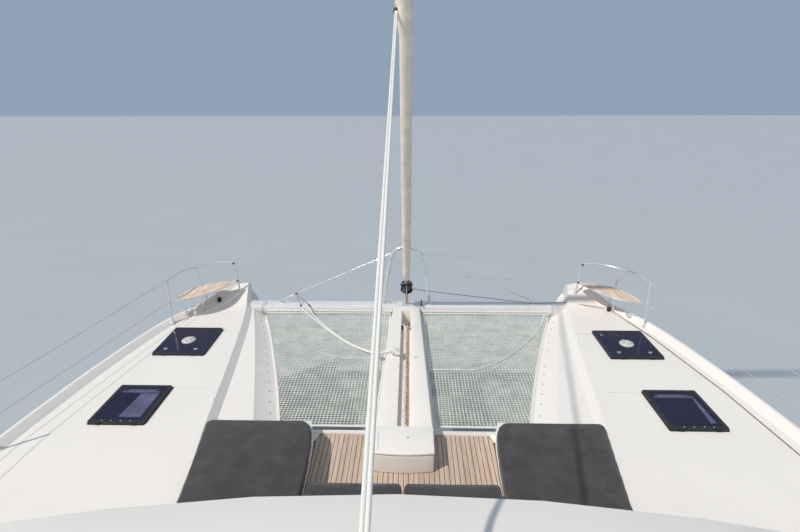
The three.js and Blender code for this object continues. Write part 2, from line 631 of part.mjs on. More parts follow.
// Cabin: the plan at the foot and at the top of its walls, starboard half from the bow aft
const CABIN_FOOT = [
  [0, 2330], [800, 2290], [1500, 2130], [2000, 1780],
  [2330, 1150], [2450, 200], [2460, -1200], [2420, WALL_AFT],
];
const CABIN_TOP = [
  [0, 1130], [700, 1100], [1300, 1000], [1750, 780],
  [2060, 380], [2230, -300], [2260, -1400], [2230, WALL_AFT],
];
const WALL = 60;
const GLASS = 12;
const CABIN_FOOT_Z = 1800;
const GLASS_Z = [2330, 3230];

// A closed plan from its starboard half, moved inwards
function planInset(half, inset) {
  const port = half.slice(1).reverse().map(([x, y]) => [-x, y]);
  const whole = [...half, ...port];
  return whole.map((point, i) => {
    const [before, after] = [whole[(i + whole.length - 1) % whole.length], whole[(i + 1) % whole.length]];
    const edgeNormal = (a, b) => new THREE.Vector2(b[1] - a[1], a[0] - b[0]).normalize();
    const [n1, n2] = [edgeNormal(before, point), edgeNormal(point, after)];
    const share = inset / (1 + n1.dot(n2));
    return [point[0] + (n1.x + n2.x) * share, point[1] + (n1.y + n2.y) * share];
  });
}

function cabinSolid(inset, footZ = CABIN_FOOT_Z, topZ = WALL_TOP_Z) {
  const [foot, top] = [planInset(CABIN_FOOT, inset), planInset(CABIN_TOP, inset)];
  const at = (z) => foot.map(([x, y], i) => {
    const t = (z - CABIN_FOOT_Z) / (WALL_TOP_Z - CABIN_FOOT_Z);
    return [x + (top[i][0] - x) * t, y + (top[i][1] - y) * t, z];
  });
  return loft([at(footZ), at(topZ)]);
}

// Panes: the openings behind the glazing band, by the plan's corner numbers they lie between
function windowOpenings() {
  const [low, high] = [GLASS_Z[0] + 60, GLASS_Z[1] - 60];
  const openings = [];
  const along = [[-560, 560, 700, 2700], [-1480, -640, 500, 2600], [640, 1480, 500, 2600]];
  for (const [x0, x1, y0, y1] of along) openings.push(block(x0, x1, y0, y1, low, high));
  for (const side of [-1, 1]) {
    const x0 = side < 0 ? -2700 : 1650;
    const x1 = side < 0 ? -1650 : 2700;
    openings.push(block(x0, x1, -1080, 380, low, high));
    openings.push(block(x0, x1, -2600, -1200, low, high));
  }
  return openings;
}
const DOORWAY = [-900, 900, COCKPIT_SOLE_Z, 3240];
const FIXED_PANE_X = 40;
function saloonWalls() {
  let walls = cabinSolid(0).subtract(cabinSolid(WALL, CABIN_FOOT_Z - 50, WALL_TOP_Z + 50));
  const band = block(-3000, 3000, WALL_AFT + 160, 3000, ...GLASS_Z);
  walls = walls.subtract(band.intersect(cabinSolid(-20).subtract(cabinSolid(GLASS))));
  for (const opening of windowOpenings()) walls = walls.subtract(opening);
  const [x0, x1, , z1] = DOORWAY;
  const half = BRIDGE_HALF - 2;
  const bulkhead = block(-half, half, WALL_AFT, WALL_AFT + WALL, SALOON_FLOOR_Z + GAP, 2300);
  const doorHole = block(x0, x1, WALL_AFT - 50, WALL_AFT + WALL + 50, SALOON_FLOOR_Z - 50, z1);
  walls = walls.add(bulkhead).subtract(doorHole);
  walls = cutClear(walls, bridge);
  walls = cutClear(walls, hullStarboard);
  return cutClear(walls, hullPort);
}
const walls = saloonWalls();
addNode('saloon_walls', walls, WHITE);

function glazing() {
  const band = block(-3000, 3000, WALL_AFT + 162, 3000, GLASS_Z[0] + 2, GLASS_Z[1] - 2);
  return band.intersect(cabinSolid(0.6).subtract(cabinSolid(GLASS - 1)));
}
addNode('saloon_glazing', glazing(), DARK_GLASS);

// Aft door: the sliding leaf closes the starboard half, the fixed pane stands in the port half
const DOOR_THICK = 40;
const doorY = WALL_AFT - CLEARANCE - DOOR_THICK;
const leafZs = [SALOON_FLOOR_Z + CLEARANCE, DOORWAY[3] + 40];
addNode('sliding_door', block(-60, 960, doorY, doorY + DOOR_THICK, ...leafZs), DARK_GLASS);
const paneZs = [SALOON_FLOOR_Z + GAP, DOORWAY[3] - GAP];
const pane = block(DOORWAY[0] + GAP, FIXED_PANE_X, WALL_AFT + 12, WALL_AFT + 48, ...paneZs);
addNode('door_fixed_pane', pane, DARK_GLASS);

// Coachroof and hardtop: side profiles at several places across, from the front edge to the aft edge
const ROOF_FRONT_Y = 1420;
const ROOF_AFT_Y = -2960;
const ROOF_SPLIT = 12;
const HARDTOP_AFT_Y = -6150;
const ROOF_HALF = 2480;
const ROOF_LOW_Z = WALL_TOP_Z + GAP;
// y, z of the crown
const CROWN = [
  [1420, 3452], [1340, 3495], [1100, 3560], [600, 3680], [0, 3770],
  [-800, 3840], [-1800, 3875], [-2960, 3880], [-4600, 3860], [-6150, 3790],
];
function crownZ(y, x) {
  const found = CROWN.findIndex((row) => row[0] <= y);
  const i = found < 0 ? CROWN.length - 1 : Math.max(found, 1);
  const [a, b] = [CROWN[i - 1], CROWN[i]];
  const z = a[1] + ((b[1] - a[1]) * (y - a[0])) / (b[0] - a[0]);
  const fall = 0.82 * Math.abs(x / ROOF_HALF) ** 4;
  return z - (z - ROOF_LOW_Z) * fall;
}

// One side profile of a roof: its top from the front edge aft, and its underside back
function roofRing(x, frontY, aftY, thick, rows) {
  const top = [];
  for (let i = 0; i <= rows; i += 1) {
    const y = frontY + (aftY - frontY) * (i / rows) ** 1.4;
    const swept = Math.min(y + (ROOF_FRONT_Y - frontY) * (1 - i / rows), ROOF_FRONT_Y);
    top.push([x, y, crownZ(aftY === ROOF_AFT_Y ? swept : y, x)]);
  }
  const under = [...top].reverse().map(([px, y, z]) => [px, y, thick ? z - thick : ROOF_LOW_Z]);
  return [...top, ...under];
}

const ROOF_PLACES = [-1, -0.975, -0.92, -0.8, -0.6, -0.3, 0, 0.3, 0.6, 0.8, 0.92, 0.975, 1];
function coachroof() {
  return loft(ROOF_PLACES.map((place) => {
    const x = place * ROOF_HALF;
    const corner = Math.max(0, Math.abs(place) - 0.8) / 0.2;
    const frontY = ROOF_FRONT_Y - (x * x) / 18000 - 1000 * corner ** 2.4;
    return roofRing(x, frontY, ROOF_AFT_Y, 0, 9);
  }));
}
const roof = coachroof();
addNode('coachroof', roof, WHITE);

const POST_X = 2170;
const POST_YS = [-5650];
function hardtop() {
  const frontY = ROOF_AFT_Y - ROOF_SPLIT;
  let top = loft(ROOF_PLACES.map((place) => {
    const x = place * ROOF_HALF * 0.97;
    const corner = Math.max(0, Math.abs(place) - 0.75) / 0.25;
    return roofRing(x, frontY, HARDTOP_AFT_Y + 260 * corner ** 2.2 + (x * x) / 40000, 95, 6);
  }));
  for (const y of POST_YS) {
    for (const side of [-1, 1]) {
      top = top.add(bar([side * (POST_X + 60), y - 60, 1700], [side * (POST_X - 20), y, 3640], 45, 12));
    }
  }
  for (const side of [-1, 1]) {
    top = top.add(block(side * 2190 - 40, side * 2190 + 40, frontY - 160, frontY - 100, 1700, 3640));
  }
  return cutClear(cutClear(top, hullStarboard), hullPort);
}
addNode('hardtop', hardtop(), WHITE);

// Mast with one pair of swept spreaders and diamond stays, stepped on the coachroof
const MAST_HALF_X = 105;
const MAST_HALF_Y = 150;
const SPREADER_Z = 11800;
const SPREADER_TIP = [1350, MAST_Y - 420];
function ovalPlan(halfX, halfY, x, y, sides) {
  return Array.from({ length: sides }, (_, i) => {
    const angle = (i / sides) * 2 * Math.PI;
    return [x + halfX * Math.cos(angle), y + halfY * Math.sin(angle)];
  });
}

const MAST_FOOT_Z = 3853;
function mast() {
  const at = (z, scale) => {
    const plan = ovalPlan(MAST_HALF_X * scale, MAST_HALF_Y * scale, 0, MAST_Y, 16);
    return plan.map(([x, y]) => [x, y, z]);
  };
  const tube = loft([at(MAST_FOOT_Z - 60, 1), at(20600, 1), at(MAST_TOP_Z, 0.72)]);
  const foot = plate(ovalPlan(190, 240, 0, MAST_Y, 16), MAST_FOOT_Z - 60, MAST_FOOT_Z + 30);
  const parts = [tube, foot];
  for (const side of [-1, 1]) {
    const tip = [side * SPREADER_TIP[0], SPREADER_TIP[1], SPREADER_Z + 90];
    parts.push(bar([side * 60, MAST_Y - 40, SPREADER_Z], tip, 42, 8, 26));
    parts.push(bar([tip[0], tip[1], tip[2] - 8], [side * 95, MAST_Y - 60, 4900], 7, 6));
    parts.push(bar([tip[0], tip[1], tip[2] - 8], [side * 95, MAST_Y - 60, 18900], 7, 6));
  }
  for (const z of [BOOM_Z - 78, BOOM_Z + 70]) {
    parts.push(block(-45, 45, BOOM_PIVOT_Y - 45, MAST_Y - 120, z, z + 10));
  }
  parts.push(bar([0, BOOM_PIVOT_Y, BOOM_Z - 90], [0, BOOM_PIVOT_Y, BOOM_Z + 92], 12, 10));
  parts.push(bar([0, MAST_Y - 60, MAST_TOP_Z - 60], [0, MAST_Y - 330, MAST_TOP_Z - 60], 22, 6));
  parts.push(bar([0, MAST_Y + 60, HOUNDS_Z - 30], [0, MAST_Y + 190, HOUNDS_Z - 30], 22, 6));
  return cutClear(join(...parts), roof);
}
const mastSolid = mast();
addNode('mast', mastSolid, ALUMINIUM);

// Shrouds of one side: cap and lower shroud from one chainplate
const CHAINPLATE = [4120, -2150];
function shrouds() {
  const [x, y] = CHAINPLATE;
  const low = deckZ(y) + 60;
  const plateBlock = block(x - 60, x + 60, y - 45, y + 45, low - 120, low + 60);
  const cap = bar([x, y, low], [150, MAST_Y - 70, HOUNDS_Z], 8, 6);
  const lower = bar([x, y, low], [150, MAST_Y - 70, SPREADER_Z - 160], 7, 6);
  const screw = bar([x, y, low], [x - 55, y + 15, low + 420], 17, 8);
  const tangs = [HOUNDS_Z, SPREADER_Z - 160].map(
    (z) => block(MAST_HALF_X + 8, 175, MAST_Y - 105, MAST_Y - 40, z - 60, z + 60));
  const side = join(plateBlock, cap, lower, screw, ...tangs);
  return cutClear(cutClear(side, hullStarboard), mastSolid);
}
onBothSides('shrouds', shrouds(), STEEL);

// Furled jib on the forestay, with the drum at its foot
const STAY_FOOT = [0, 7090, DECK_Z + 60];
const STAY_HEAD = [0, MAST_Y + 215, HOUNDS_Z - 40];
function onStay(z) {
  const t = (z - STAY_FOOT[2]) / (STAY_HEAD[2] - STAY_FOOT[2]);
  return STAY_FOOT.map((value, k) => value + (STAY_HEAD[k] - value) * t);
}
const DRUM_Z = 2310;
// z and radius up the stay
const FURL = [
  [2410, 14], [2440, 16], [2500, 60], [3200, 70], [6200, 82],
  [12000, 66], [18600, 34], [18700, 14], [20340, 14],
];
function furledJib() {
  return loft(FURL.map(([z, radius]) => {
    const [x, y] = onStay(z);
    return ovalPlan(radius, radius, x, y, 12).map(([px, py]) => [px, py, z]);
  }));
}
addNode('furled_jib', furledJib(), SAILCLOTH);

function furlerDrum() {
  const drum = bar(onStay(DRUM_Z - 62), onStay(DRUM_Z - 48), 100, 16);
  const upper = bar(onStay(DRUM_Z + 48), onStay(DRUM_Z + 62), 100, 16);
  const core = bar(onStay(DRUM_Z - 62), onStay(DRUM_Z + 90), 52, 12);
  const toggle = bar(onStay(DECK_Z + 20), onStay(DRUM_Z - 50), 17, 8);
  const forkY = onStay(DECK_Z + 40)[1];
  const fork = block(-22, 22, forkY - 30, forkY + 30, DECK_Z - 5 + GAP, DECK_Z + 60);
  return cutClear(join(drum, upper, core, toggle, fork), beamFront);
}
addNode('furler_drum', furlerDrum(), BLACK);

// Jib sheet: two parts from the clew down to the car on its track
const CLEW = [-95, 5400, 6200];
const CAR = [-68, -250, 3900];
const TRACK_Y = -250;
function jibSheet() {
  const parts = [];
  const [clewX, clewY, clewZ] = CLEW;
  const [carX, carY, carZ] = CAR;
  for (const side of [-1, 1]) {
    const top = [clewX - 10 + side * 9, clewY - 30, clewZ - 20];
    parts.push(bar(top, [carX + side * 16, carY, carZ + 20], 8, 6));
  }
  parts.push(block(clewX - 40, clewX + 20, clewY - 60, clewY + 10, clewZ - 40, clewZ + 20));
  parts.push(block(carX - 40, carX + 40, carY - 25, carY + 25, carZ - 22, carZ + 50));
  return join(...parts);
}
const sheetSolid = cutClear(jibSheet(), furledJib(), 1);
addNode('jib_sheet', sheetSolid, ROPE);

function jibTrack() {
  const rings = [];
  for (let i = 0; i <= 8; i += 1) {
    const x = -900 + i * 225;
    const y = TRACK_Y - (x * x) / 9000;
    const z = crownZ(y, x);
    rings.push([[x, y - 20, z - 20], [x, y + 20, z - 20], [x, y + 20, z + 42], [x, y - 20, z + 42]]);
  }
  return cutClear(cutClear(loft(rings), roof), sheetSolid);
}
addNode('jib_track', jibTrack(), ALUMINIUM);

// Boom on its gooseneck, with the sail bag along its top
const BOOM_HALF = 85;
const BOOM_DEEP = 240;
function boom() {
  const tongue = block(-28, 28, BOOM_PIVOT_Y - 160, BOOM_PIVOT_Y + 30, BOOM_Z - 60, BOOM_Z + 62);
  const hole = bar([0, BOOM_PIVOT_Y, BOOM_Z - 200], [0, BOOM_PIVOT_Y, BOOM_Z + 200], 14, 10);
  const at = (y) => ovalPlan(BOOM_HALF, BOOM_DEEP / 2, 0, BOOM_Z, 12).map(([x, z]) => [x, y, z]);
  return join(loft([at(BOOM_PIVOT_Y - 110), at(BOOM_END_Y)]), tongue).subtract(hole);
}
const boomSolid = boom();
addNode('boom', boomSolid, ALUMINIUM);

// y, height, half width
const BAG_SECTIONS = [
  [BOOM_PIVOT_Y - 190, 760, 150],
  [-2600, 700, 190],
  [-4600, 520, 175],
  [-6500, 330, 130],
  [-6850, 240, 90],
];
function sailBag() {
  const low = BOOM_Z + 62;
  const half = [[0.75, 0], [1, 0.35], [0.72, 0.85]]; // share of the half width, share of the height
  const bag = loft(BAG_SECTIONS.map(([y, high, wide]) => [
    ...half.map(([across, up]) => [-wide * across, y, low + high * up]),
    [0, y, low + high],
    ...[...half].reverse().map(([across, up]) => [wide * across, y, low + high * up]),
  ]));
  return cutClear(bag, boomSolid);
}
addNode('sail_bag', sailBag(), BAG_CLOTH);

// Stern rail round one quarter
const RAIL_HIGH = 650;
const RAIL_INSET = 60; // posts stand this far in from the hull's side
function sternRailPosts() {
  const [frontY, cornerY, aftY, across] = [-5260, -5840, -5960, 700];
  const side = railX(aftY);
  return [[railX(frontY) - RAIL_INSET, frontY], [side - RAIL_INSET, cornerY], [side - across, aftY]];
}
function sternRail() {
  const posts = sternRailPosts();
  const tops = posts.map(([x, y]) => [x, y, deckZ(y) + RAIL_HIGH]);
  const aftY = posts[2][1];
  const bend = [railX(aftY) - 140, aftY - 10, deckZ(aftY) + RAIL_HIGH];
  const parts = [bentTube([tops[0], tops[1], bend, tops[2]], TUBE, 12, 8)];
  for (const [x, y] of posts) {
    parts.push(bar([x, y, deckZ(y) - 60], [x, y, deckZ(y) + RAIL_HIGH + 2], TUBE, 8));
  }
  const [from, to] = posts.map(([x, y]) => [x, y, deckZ(y) + RAIL_HIGH / 2]);
  parts.push(bar(from, to, 10, 8));
  return join(...parts);
}

// Lifelines of one side: posts on the gunwale and two wires, from the pulpit to the stern rail
const POST_PLACES = [3400, 1150, -1100, -3400, -5150];
const WIRE_ZS = [330, 640];
const WIRE = 5;
function lifelines() {
  const posts = POST_PLACES.map((y) => [railX(y) - RAIL_INSET, y, deckZ(y)]);
  const parts = posts.map(([x, y, z]) => bar([x, y, z + 60], [x + 6, y, z + 655], 13, 6));
  posts.forEach(([x, y, z]) => parts.push(bar([x, y, z + 40], [x, y, z + 110], 30, 6)));
  const [railPostX, railPostY] = sternRailPosts()[0];
  const [footX, footY, topX, topY] = PULPIT_LEGS[0];
  for (const rise of WIRE_ZS) {
    const t = rise / (RAIL_Z - DECK_Z);
    const legX = footX + (topX - footX) * t;
    const legY = footY + (topY - footY) * t;
    let from = [legX + 2, legY - TUBE - 6, DECK_Z + rise];
    for (const [x, y, z] of posts) {
      const to = [x + (6 * rise) / 655, y, z + rise];
      parts.push(bar(from, to, WIRE, 4));
      from = to;
    }
    parts.push(bar(from, [railPostX, railPostY, deckZ(railPostY) + rise], WIRE, 4));
  }
  return cutClear(join(...parts, sternRail()), hullStarboard);
}
onBothSides('lifelines', lifelines(), STEEL);

// Loose ropes on the nets: a thick bridle that ends in a knot on the centre beam, and a thin rope
const BRIDLE = 12; // radius
const BRIDLE_ROUTE = [
  [-1765, 7015, 1917], [-1740, 6960, 1912], [-1690, 6900, 1892], [-1600, 6820, 1853], [-1482, 6720, 1813],
  [-1369, 6610, 1784], [-1260, 6490, 1769], [-1164, 6375, 1765], [-1035, 6225, 1764], [-907, 6080, 1764],
  [-790, 5970, 1766], [-676, 5870, 1774], [-570, 5770, 1792], [-480, 5670, 1826], [-410, 5575, 1868],
  [-350, 5510, 1912], [-300, 5482, 1945], [-255, 5472, 1958], [-215, 5478, 1958], [-180, 5490, 1958],
];
const KNOT = [-145, 5465];
// half width, half length, height above the beam
const KNOT_ROWS = [[58, 116, GAP], [68, 132, 14], [62, 124, 38], [30, 70, 52]];
function bridleKnot() {
  const [x, y] = KNOT;
  return loft(KNOT_ROWS.map(([halfX, halfY, rise]) => (
    ovalPlan(halfX, halfY, x, y, 14).map(([px, py]) => [px, py, BEAM_TOP_Z + rise]))));
}
const knot = bridleKnot();
addNode('bridle_knot', knot, ROPE);
const bridle = bentTube(BRIDLE_ROUTE, BRIDLE, 36, 8);
addNode('bridle_rope', cutClear(cutClear(bridle, beamFront), knot), ROPE);

const THIN_ROPE = 7; // radius
const THIN_ROUTE = [
  [240, 5352, 1792], [290, 5346, 1782], [362, 5341, 1765], [500, 5343, 1758], [677, 5348, 1757.5],
  [830, 5344, 1757.5], [954, 5352, 1757.5], [1045, 5387, 1757.5], [1130, 5442, 1757.5], [1238, 5520, 1757.5],
  [1351, 5613, 1757.5], [1468, 5722, 1757.5], [1601, 5868, 1757.5], [1720, 6005, 1757.5], [1850, 6170, 1757.5],
  [2004, 6385, 1757.5], [2150, 6630, 1758], [2230, 6800, 1764], [2272, 6900, 1780], [2292, 6965, 1802],
  [2298, 7025, 1820],
];
const thinRope = bentTube(THIN_ROUTE, THIN_ROPE, 60, 8);
addNode('thin_rope', cutClear(cutClear(thinRope, beamFront), beamCentre), ROPE);

// Front cockpit cushions
const CUSHION = 120;
const CUSHION_GAP = 6;
const LOUNGE_FRONT_Y = 3905;
function loungeCushion() {
  const [front, back] = [LOUNGE_FRONT_Y, SEAT_BACK_Y + 60];
  const low = SEAT_Z + CUSHION_GAP;
  const outline = [
    [912, back], [918, 3060], [938, 3450], [970, 3750], [1016, 3845], [1095, front],
    [2110, front], [2150, front - 50], [1990, back + 340], [1960, back],
  ];
  return cutClear(plate(outline, low, low + CUSHION), hullStarboard, CUSHION_GAP);
}
onBothSides('lounge_cushion', loungeCushion(), CHARCOAL);

const SEAT_END_X = 896;
const seatOutline = [
  [14, SEAT_BACK_Y + 20], [SEAT_END_X, SEAT_BACK_Y + 20], [SEAT_END_X, SEAT_FRONT_Y - 10],
  [SEAT_END_X - 40, SEAT_FRONT_Y + 30], [50, SEAT_FRONT_Y + 30], [14, SEAT_FRONT_Y],
];
const seatLow = SEAT_Z + CUSHION_GAP;
onBothSides('seat_cushion', plate(seatOutline, seatLow, seatLow + CUSHION), CHARCOAL);

// Deck hatch lids and engine lids, a little above the deck
for (const [name, ...plan] of DECK_HATCHES) {
  const low = DECK_Z + HATCH_LIFT;
  onBothSides(name, block(...plan, low, low + HATCH_THICK), DARK_GLASS);
}
const engineLidZ = deckZ(ENGINE_LID[3]) + HATCH_LIFT;
onBothSides('engine_lid', block(...ENGINE_LID, engineLidZ, engineLidZ + HATCH_THICK), WHITE);

// Aft cockpit: seat, table, helm station and wheel
function cockpitSeat() {
  const base = block(-BRIDGE_HALF + 10, -760, -5950, -3500, COCKPIT_SOLE_Z + GAP, 1640);
  const aft = block(-BRIDGE_HALF + 10, 620, -6040, -5450, COCKPIT_SOLE_Z + GAP, 1640);
  const back = block(-BRIDGE_HALF + 10, 620, -6080, -5990, COCKPIT_SOLE_Z + GAP, 2080);
  return join(base, aft, back);
}
addNode('cockpit_seat', cockpitSeat(), UPHOLSTERY);

function cockpitTable() {
  const [x, y, low] = [-150, -4550, COCKPIT_SOLE_Z + GAP];
  const top = block(x - 410, x + 410, y - 650, y + 650, 1930, 1968);
  const foot = block(x - 180, x + 180, y - 200, y + 200, low, COCKPIT_SOLE_Z + 24);
  return join(top, bar([x, y, low], [x, y, 1940], 70, 12), foot);
}
addNode('cockpit_table', cockpitTable(), TEAK);

const WHEEL = [1860, -3520, 2720];
const WHEEL_RADIUS = 400;
const WINCH_XS = [1640, 1960];
const WINCH_Y = -3285;
const WINCH_ROWS = [[74, 2940, 3012], [50, 3000, 3064], [66, 3060, 3098]]; // radius, low, high
function helmStation() {
  const deskSide = [[-3150, 1980], [-3150, 2960], [-3240, 3000], [-3420, 2900], [-3420, 1980]];
  const desk = sideProfile(deskSide, 1480, 2120);
  const hub = bar([WHEEL[0], -3400, WHEEL[2]], [WHEEL[0], WHEEL[1] + 40, WHEEL[2]], 45, 12);
  const floor = block(1440, 2400, -4980, -3150, 1910, 2010);
  const seat = block(1500, 2300, -4900, -4450, 2000, 2500);
  const back = block(1500, 2300, -4960, -4880, 2000, 2960);
  const winches = WINCH_XS.flatMap((x) => WINCH_ROWS.map(([radius, low, high]) => (
    bar([x, WINCH_Y, low], [x, WINCH_Y, high], radius, 12))));
  return cutClear(join(desk, hub, floor, seat, back, ...winches), hullStarboard);
}
addNode('helm_station', helmStation(), WHITE);

function steeringWheel() {
  const [x, y, z] = WHEEL;
  const ring = new THREE.TorusGeometry(WHEEL_RADIUS, 16, 6, 24).rotateX(Math.PI / 2);
  const rim = toSolid(ring.translate(x, y, z));
  const parts = [rim, bar([x, y + 30, z], [x, y - 34, z], 48, 14)];
  for (let i = 0; i < 5; i += 1) {
    const angle = Math.PI / 2 + (i * 2 * Math.PI) / 5;
    const end = [x + WHEEL_RADIUS * Math.cos(angle), y, z + WHEEL_RADIUS * Math.sin(angle)];
    parts.push(bar([x, y, z], end, 10, 6));
  }
  return join(...parts);
}
addNode('steering_wheel', steeringWheel(), BLACK);

// Saloon furniture that shows through the glass
function saloonFurniture() {
  const low = SALOON_FLOOR_Z + GAP;
  const sofa = block(-1340, -700, -1400, 1300, low, 1680);
  const front = block(-1340, 700, 900, 1500, low, 1680);
  const table = block(-560, 200, -500, 500, 1940, 1975);
  const pedestal = bar([-180, 0, low], [-180, 0, 1950], 60, 10);
  const plinth = block(-720, -100, -90, 90, low, low + 40);
  const galley = block(760, 1340, -2300, 1300, low, 2150);
  const floorLink = block(600, 800, 950, 1250, low, 1500);
  return join(sofa, front, table, pedestal, plinth, galley, floorLink);
}
addNode('saloon_furniture', saloonFurniture(), UPHOLSTERY);

export default model;
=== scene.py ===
"""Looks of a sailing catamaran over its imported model: finishes, nets, cushions, rigging and fittings."""

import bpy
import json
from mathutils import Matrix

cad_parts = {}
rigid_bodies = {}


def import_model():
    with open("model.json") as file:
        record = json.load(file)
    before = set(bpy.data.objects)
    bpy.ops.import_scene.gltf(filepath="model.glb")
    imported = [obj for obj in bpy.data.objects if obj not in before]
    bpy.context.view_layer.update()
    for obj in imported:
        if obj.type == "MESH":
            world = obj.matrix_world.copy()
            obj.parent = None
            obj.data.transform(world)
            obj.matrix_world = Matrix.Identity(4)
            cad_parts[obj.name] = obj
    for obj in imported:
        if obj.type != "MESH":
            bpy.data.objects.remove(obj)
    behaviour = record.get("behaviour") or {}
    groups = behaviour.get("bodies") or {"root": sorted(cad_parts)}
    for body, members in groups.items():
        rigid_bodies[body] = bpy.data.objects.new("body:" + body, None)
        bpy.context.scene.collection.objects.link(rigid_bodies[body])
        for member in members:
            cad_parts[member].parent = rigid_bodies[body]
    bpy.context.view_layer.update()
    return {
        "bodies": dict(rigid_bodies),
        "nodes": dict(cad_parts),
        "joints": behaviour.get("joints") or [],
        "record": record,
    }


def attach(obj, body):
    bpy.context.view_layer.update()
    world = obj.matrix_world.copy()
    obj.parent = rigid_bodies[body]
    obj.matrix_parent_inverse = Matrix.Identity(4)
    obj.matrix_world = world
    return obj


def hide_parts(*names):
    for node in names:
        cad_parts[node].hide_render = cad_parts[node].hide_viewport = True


bl_info = {
    "name": "Sailing catamaran looks",
    "version": (1, 0, 0),
    "blender": (4, 5, 0),
    "location": "3D View > Sidebar > Catamaran",
    "description": "Dresses the packed catamaran piece by piece and sets a stage for it",
    "category": "Object",
}

import json
import math
import random

import bmesh
import bpy
from mathutils import Matrix, Vector, noise
from mathutils.bvhtree import BVHTree

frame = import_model()
NODES = frame["nodes"]
PLATFORM = "platform"
SIDES = (("starboard", 1), ("port", -1))

# Heights and places that the pieces share, in metres
DECK = 1.95
NET = 1.75
SOLE = 1.70
BEAM_TOP = 1.94
CHANNEL_FLOOR = 1.87
CROSSBEAM_Y = 7.12
MAST_Y = -1.10
BOOM_Z = 5.15
RAIL_Z = 2.59

# Hull sections: y, keel x, keel z, half beam at the water, gunwale x, deck edge x, ridge x, net edge x, under z, deck z
BOW_ROWS = (
    (7.600, 2.760, -0.040, 0.014, 2.812, 2.778, 2.756, 2.722, 1.500, 2.085),
    (7.510, 2.762, -0.200, 0.052, 2.945, 2.782, 2.738, 2.650, 1.600, 2.150),
    (7.280, 2.771, -0.345, 0.125, 3.150, 2.735, 2.650, 2.520, 1.650, 2.095),
    (6.920, 2.797, -0.455, 0.240, 3.400, 2.665, 2.550, 2.360, 1.630, 1.965),
    (6.300, 2.850, -0.545, 0.430, 3.740, 2.540, 2.345, 2.122, 1.610, 1.950),
    (5.000, 2.920, -0.640, 0.740, 4.035, 2.335, 1.965, 1.695, 1.590, 1.950),
    (3.862, 2.950, -0.690, 0.880, 4.195, 2.175, 1.645, 1.372, 1.450, 1.950),
)
MIDDLE_ROWS = (
    (3.850, 2.950, -0.690, 0.882, 4.197, 2.172, 1.364, 1.361, 1.420, 1.950),
    (3.200, 2.950, -0.708, 0.925, 4.255, 2.062, 1.364, 1.361, 1.060, 1.950),
    (2.200, 2.950, -0.718, 0.948, 4.290, 1.962, 1.364, 1.361, 0.875, 1.946),
    (0.000, 2.950, -0.718, 0.950, 4.300, 1.902, 1.364, 1.361, 0.865, 1.936),
    (-2.500, 2.950, -0.690, 0.950, 4.300, 1.900, 1.364, 1.361, 0.865, 1.920),
    (-5.000, 2.950, -0.560, 0.930, 4.262, 1.900, 1.364, 1.361, 0.870, 1.892),
    (-6.100, 2.950, -0.430, 0.900, 4.200, 1.900, 1.364, 1.361, 0.960, 1.872),
)
STERN_ROWS = (
    (-6.112, 2.950, -0.428, 0.900, 4.198, 2.250, 2.105, 2.005, 1.000, 1.871),
    (-6.900, 2.950, -0.280, 0.865, 4.140, 2.280, 2.130, 2.045, 0.860, 1.850),
    (-7.600, 2.950, -0.115, 0.820, 4.080, 2.300, 2.150, 2.075, 0.700, 1.832),
)
PULPIT_LEGS = ((3.610, 6.280, 3.700, 6.500), (3.300, 6.940, 3.500, 7.080), (2.860, 7.270, 2.950, 7.350))


# Sizes and colours that can be changed before the pieces are made
class BoatColours(bpy.types.PropertyGroup):
    gelcoat: bpy.props.FloatVectorProperty(
        name="Gelcoat", description="White of hulls, decks and cabin", subtype="COLOR",
        size=3, min=0, max=1, default=(0.87, 0.81, 0.747))
    bottom: bpy.props.FloatVectorProperty(
        name="Bottom paint", description="Antifouling below the boot top", subtype="COLOR",
        size=3, min=0, max=1, default=(0.030, 0.045, 0.068))
    teak: bpy.props.FloatVectorProperty(
        name="Teak", description="Bare weathered planks", subtype="COLOR",
        size=3, min=0, max=1, default=(0.65, 0.50, 0.385))
    cushion: bpy.props.FloatVectorProperty(
        name="Deck cushions", description="Charcoal outdoor cloth", subtype="COLOR",
        size=3, min=0, max=1, default=(0.050, 0.0435, 0.0425))
    bag: bpy.props.FloatVectorProperty(
        name="Sail bag", description="Canvas of the bag along the boom", subtype="COLOR",
        size=3, min=0, max=1, default=(0.12, 0.13, 0.14))


class BoatSizes(bpy.types.PropertyGroup):
    net_pitch: bpy.props.FloatProperty(
        name="Net mesh", description="Distance between the net's strands", subtype="DISTANCE",
        default=0.042, min=0.02, max=0.08)
    net_strand: bpy.props.FloatProperty(
        name="Net strand", description="Diameter of one strand of the net", subtype="DISTANCE",
        default=0.0125, min=0.003, max=0.02)
    net_sag: bpy.props.FloatProperty(
        name="Net sag", description="How far the nets hang in their middle", subtype="DISTANCE",
        default=0.006, min=0, max=0.05)
    plank: bpy.props.FloatProperty(
        name="Plank width", description="Width of a teak plank with its seam", subtype="DISTANCE",
        default=0.052, min=0.03, max=0.1)
    cushion_swell: bpy.props.FloatProperty(
        name="Cushion swell", description="Most that the simulated stuffing may push the cloth out",
        subtype="DISTANCE", default=0.022, min=0, max=0.05)


# Finishes
MADE = {}


def colour_of(name):
    return tuple(getattr(bpy.context.scene.boat_colours, name))


def finish(name, build):
    """The material of that name, built once."""
    if name not in MADE:
        material = bpy.data.materials.new(name)
        material.use_nodes = True
        tree = material.node_tree
        shader = tree.nodes["Principled BSDF"]
        build(tree, shader)
        MADE[name] = material
    return MADE[name]


def node(tree, kind, **values):
    made = tree.nodes.new(kind)
    for key, value in values.items():
        if key in made.inputs:
            made.inputs[key].default_value = value
        else:
            setattr(made, key, value)
    return made


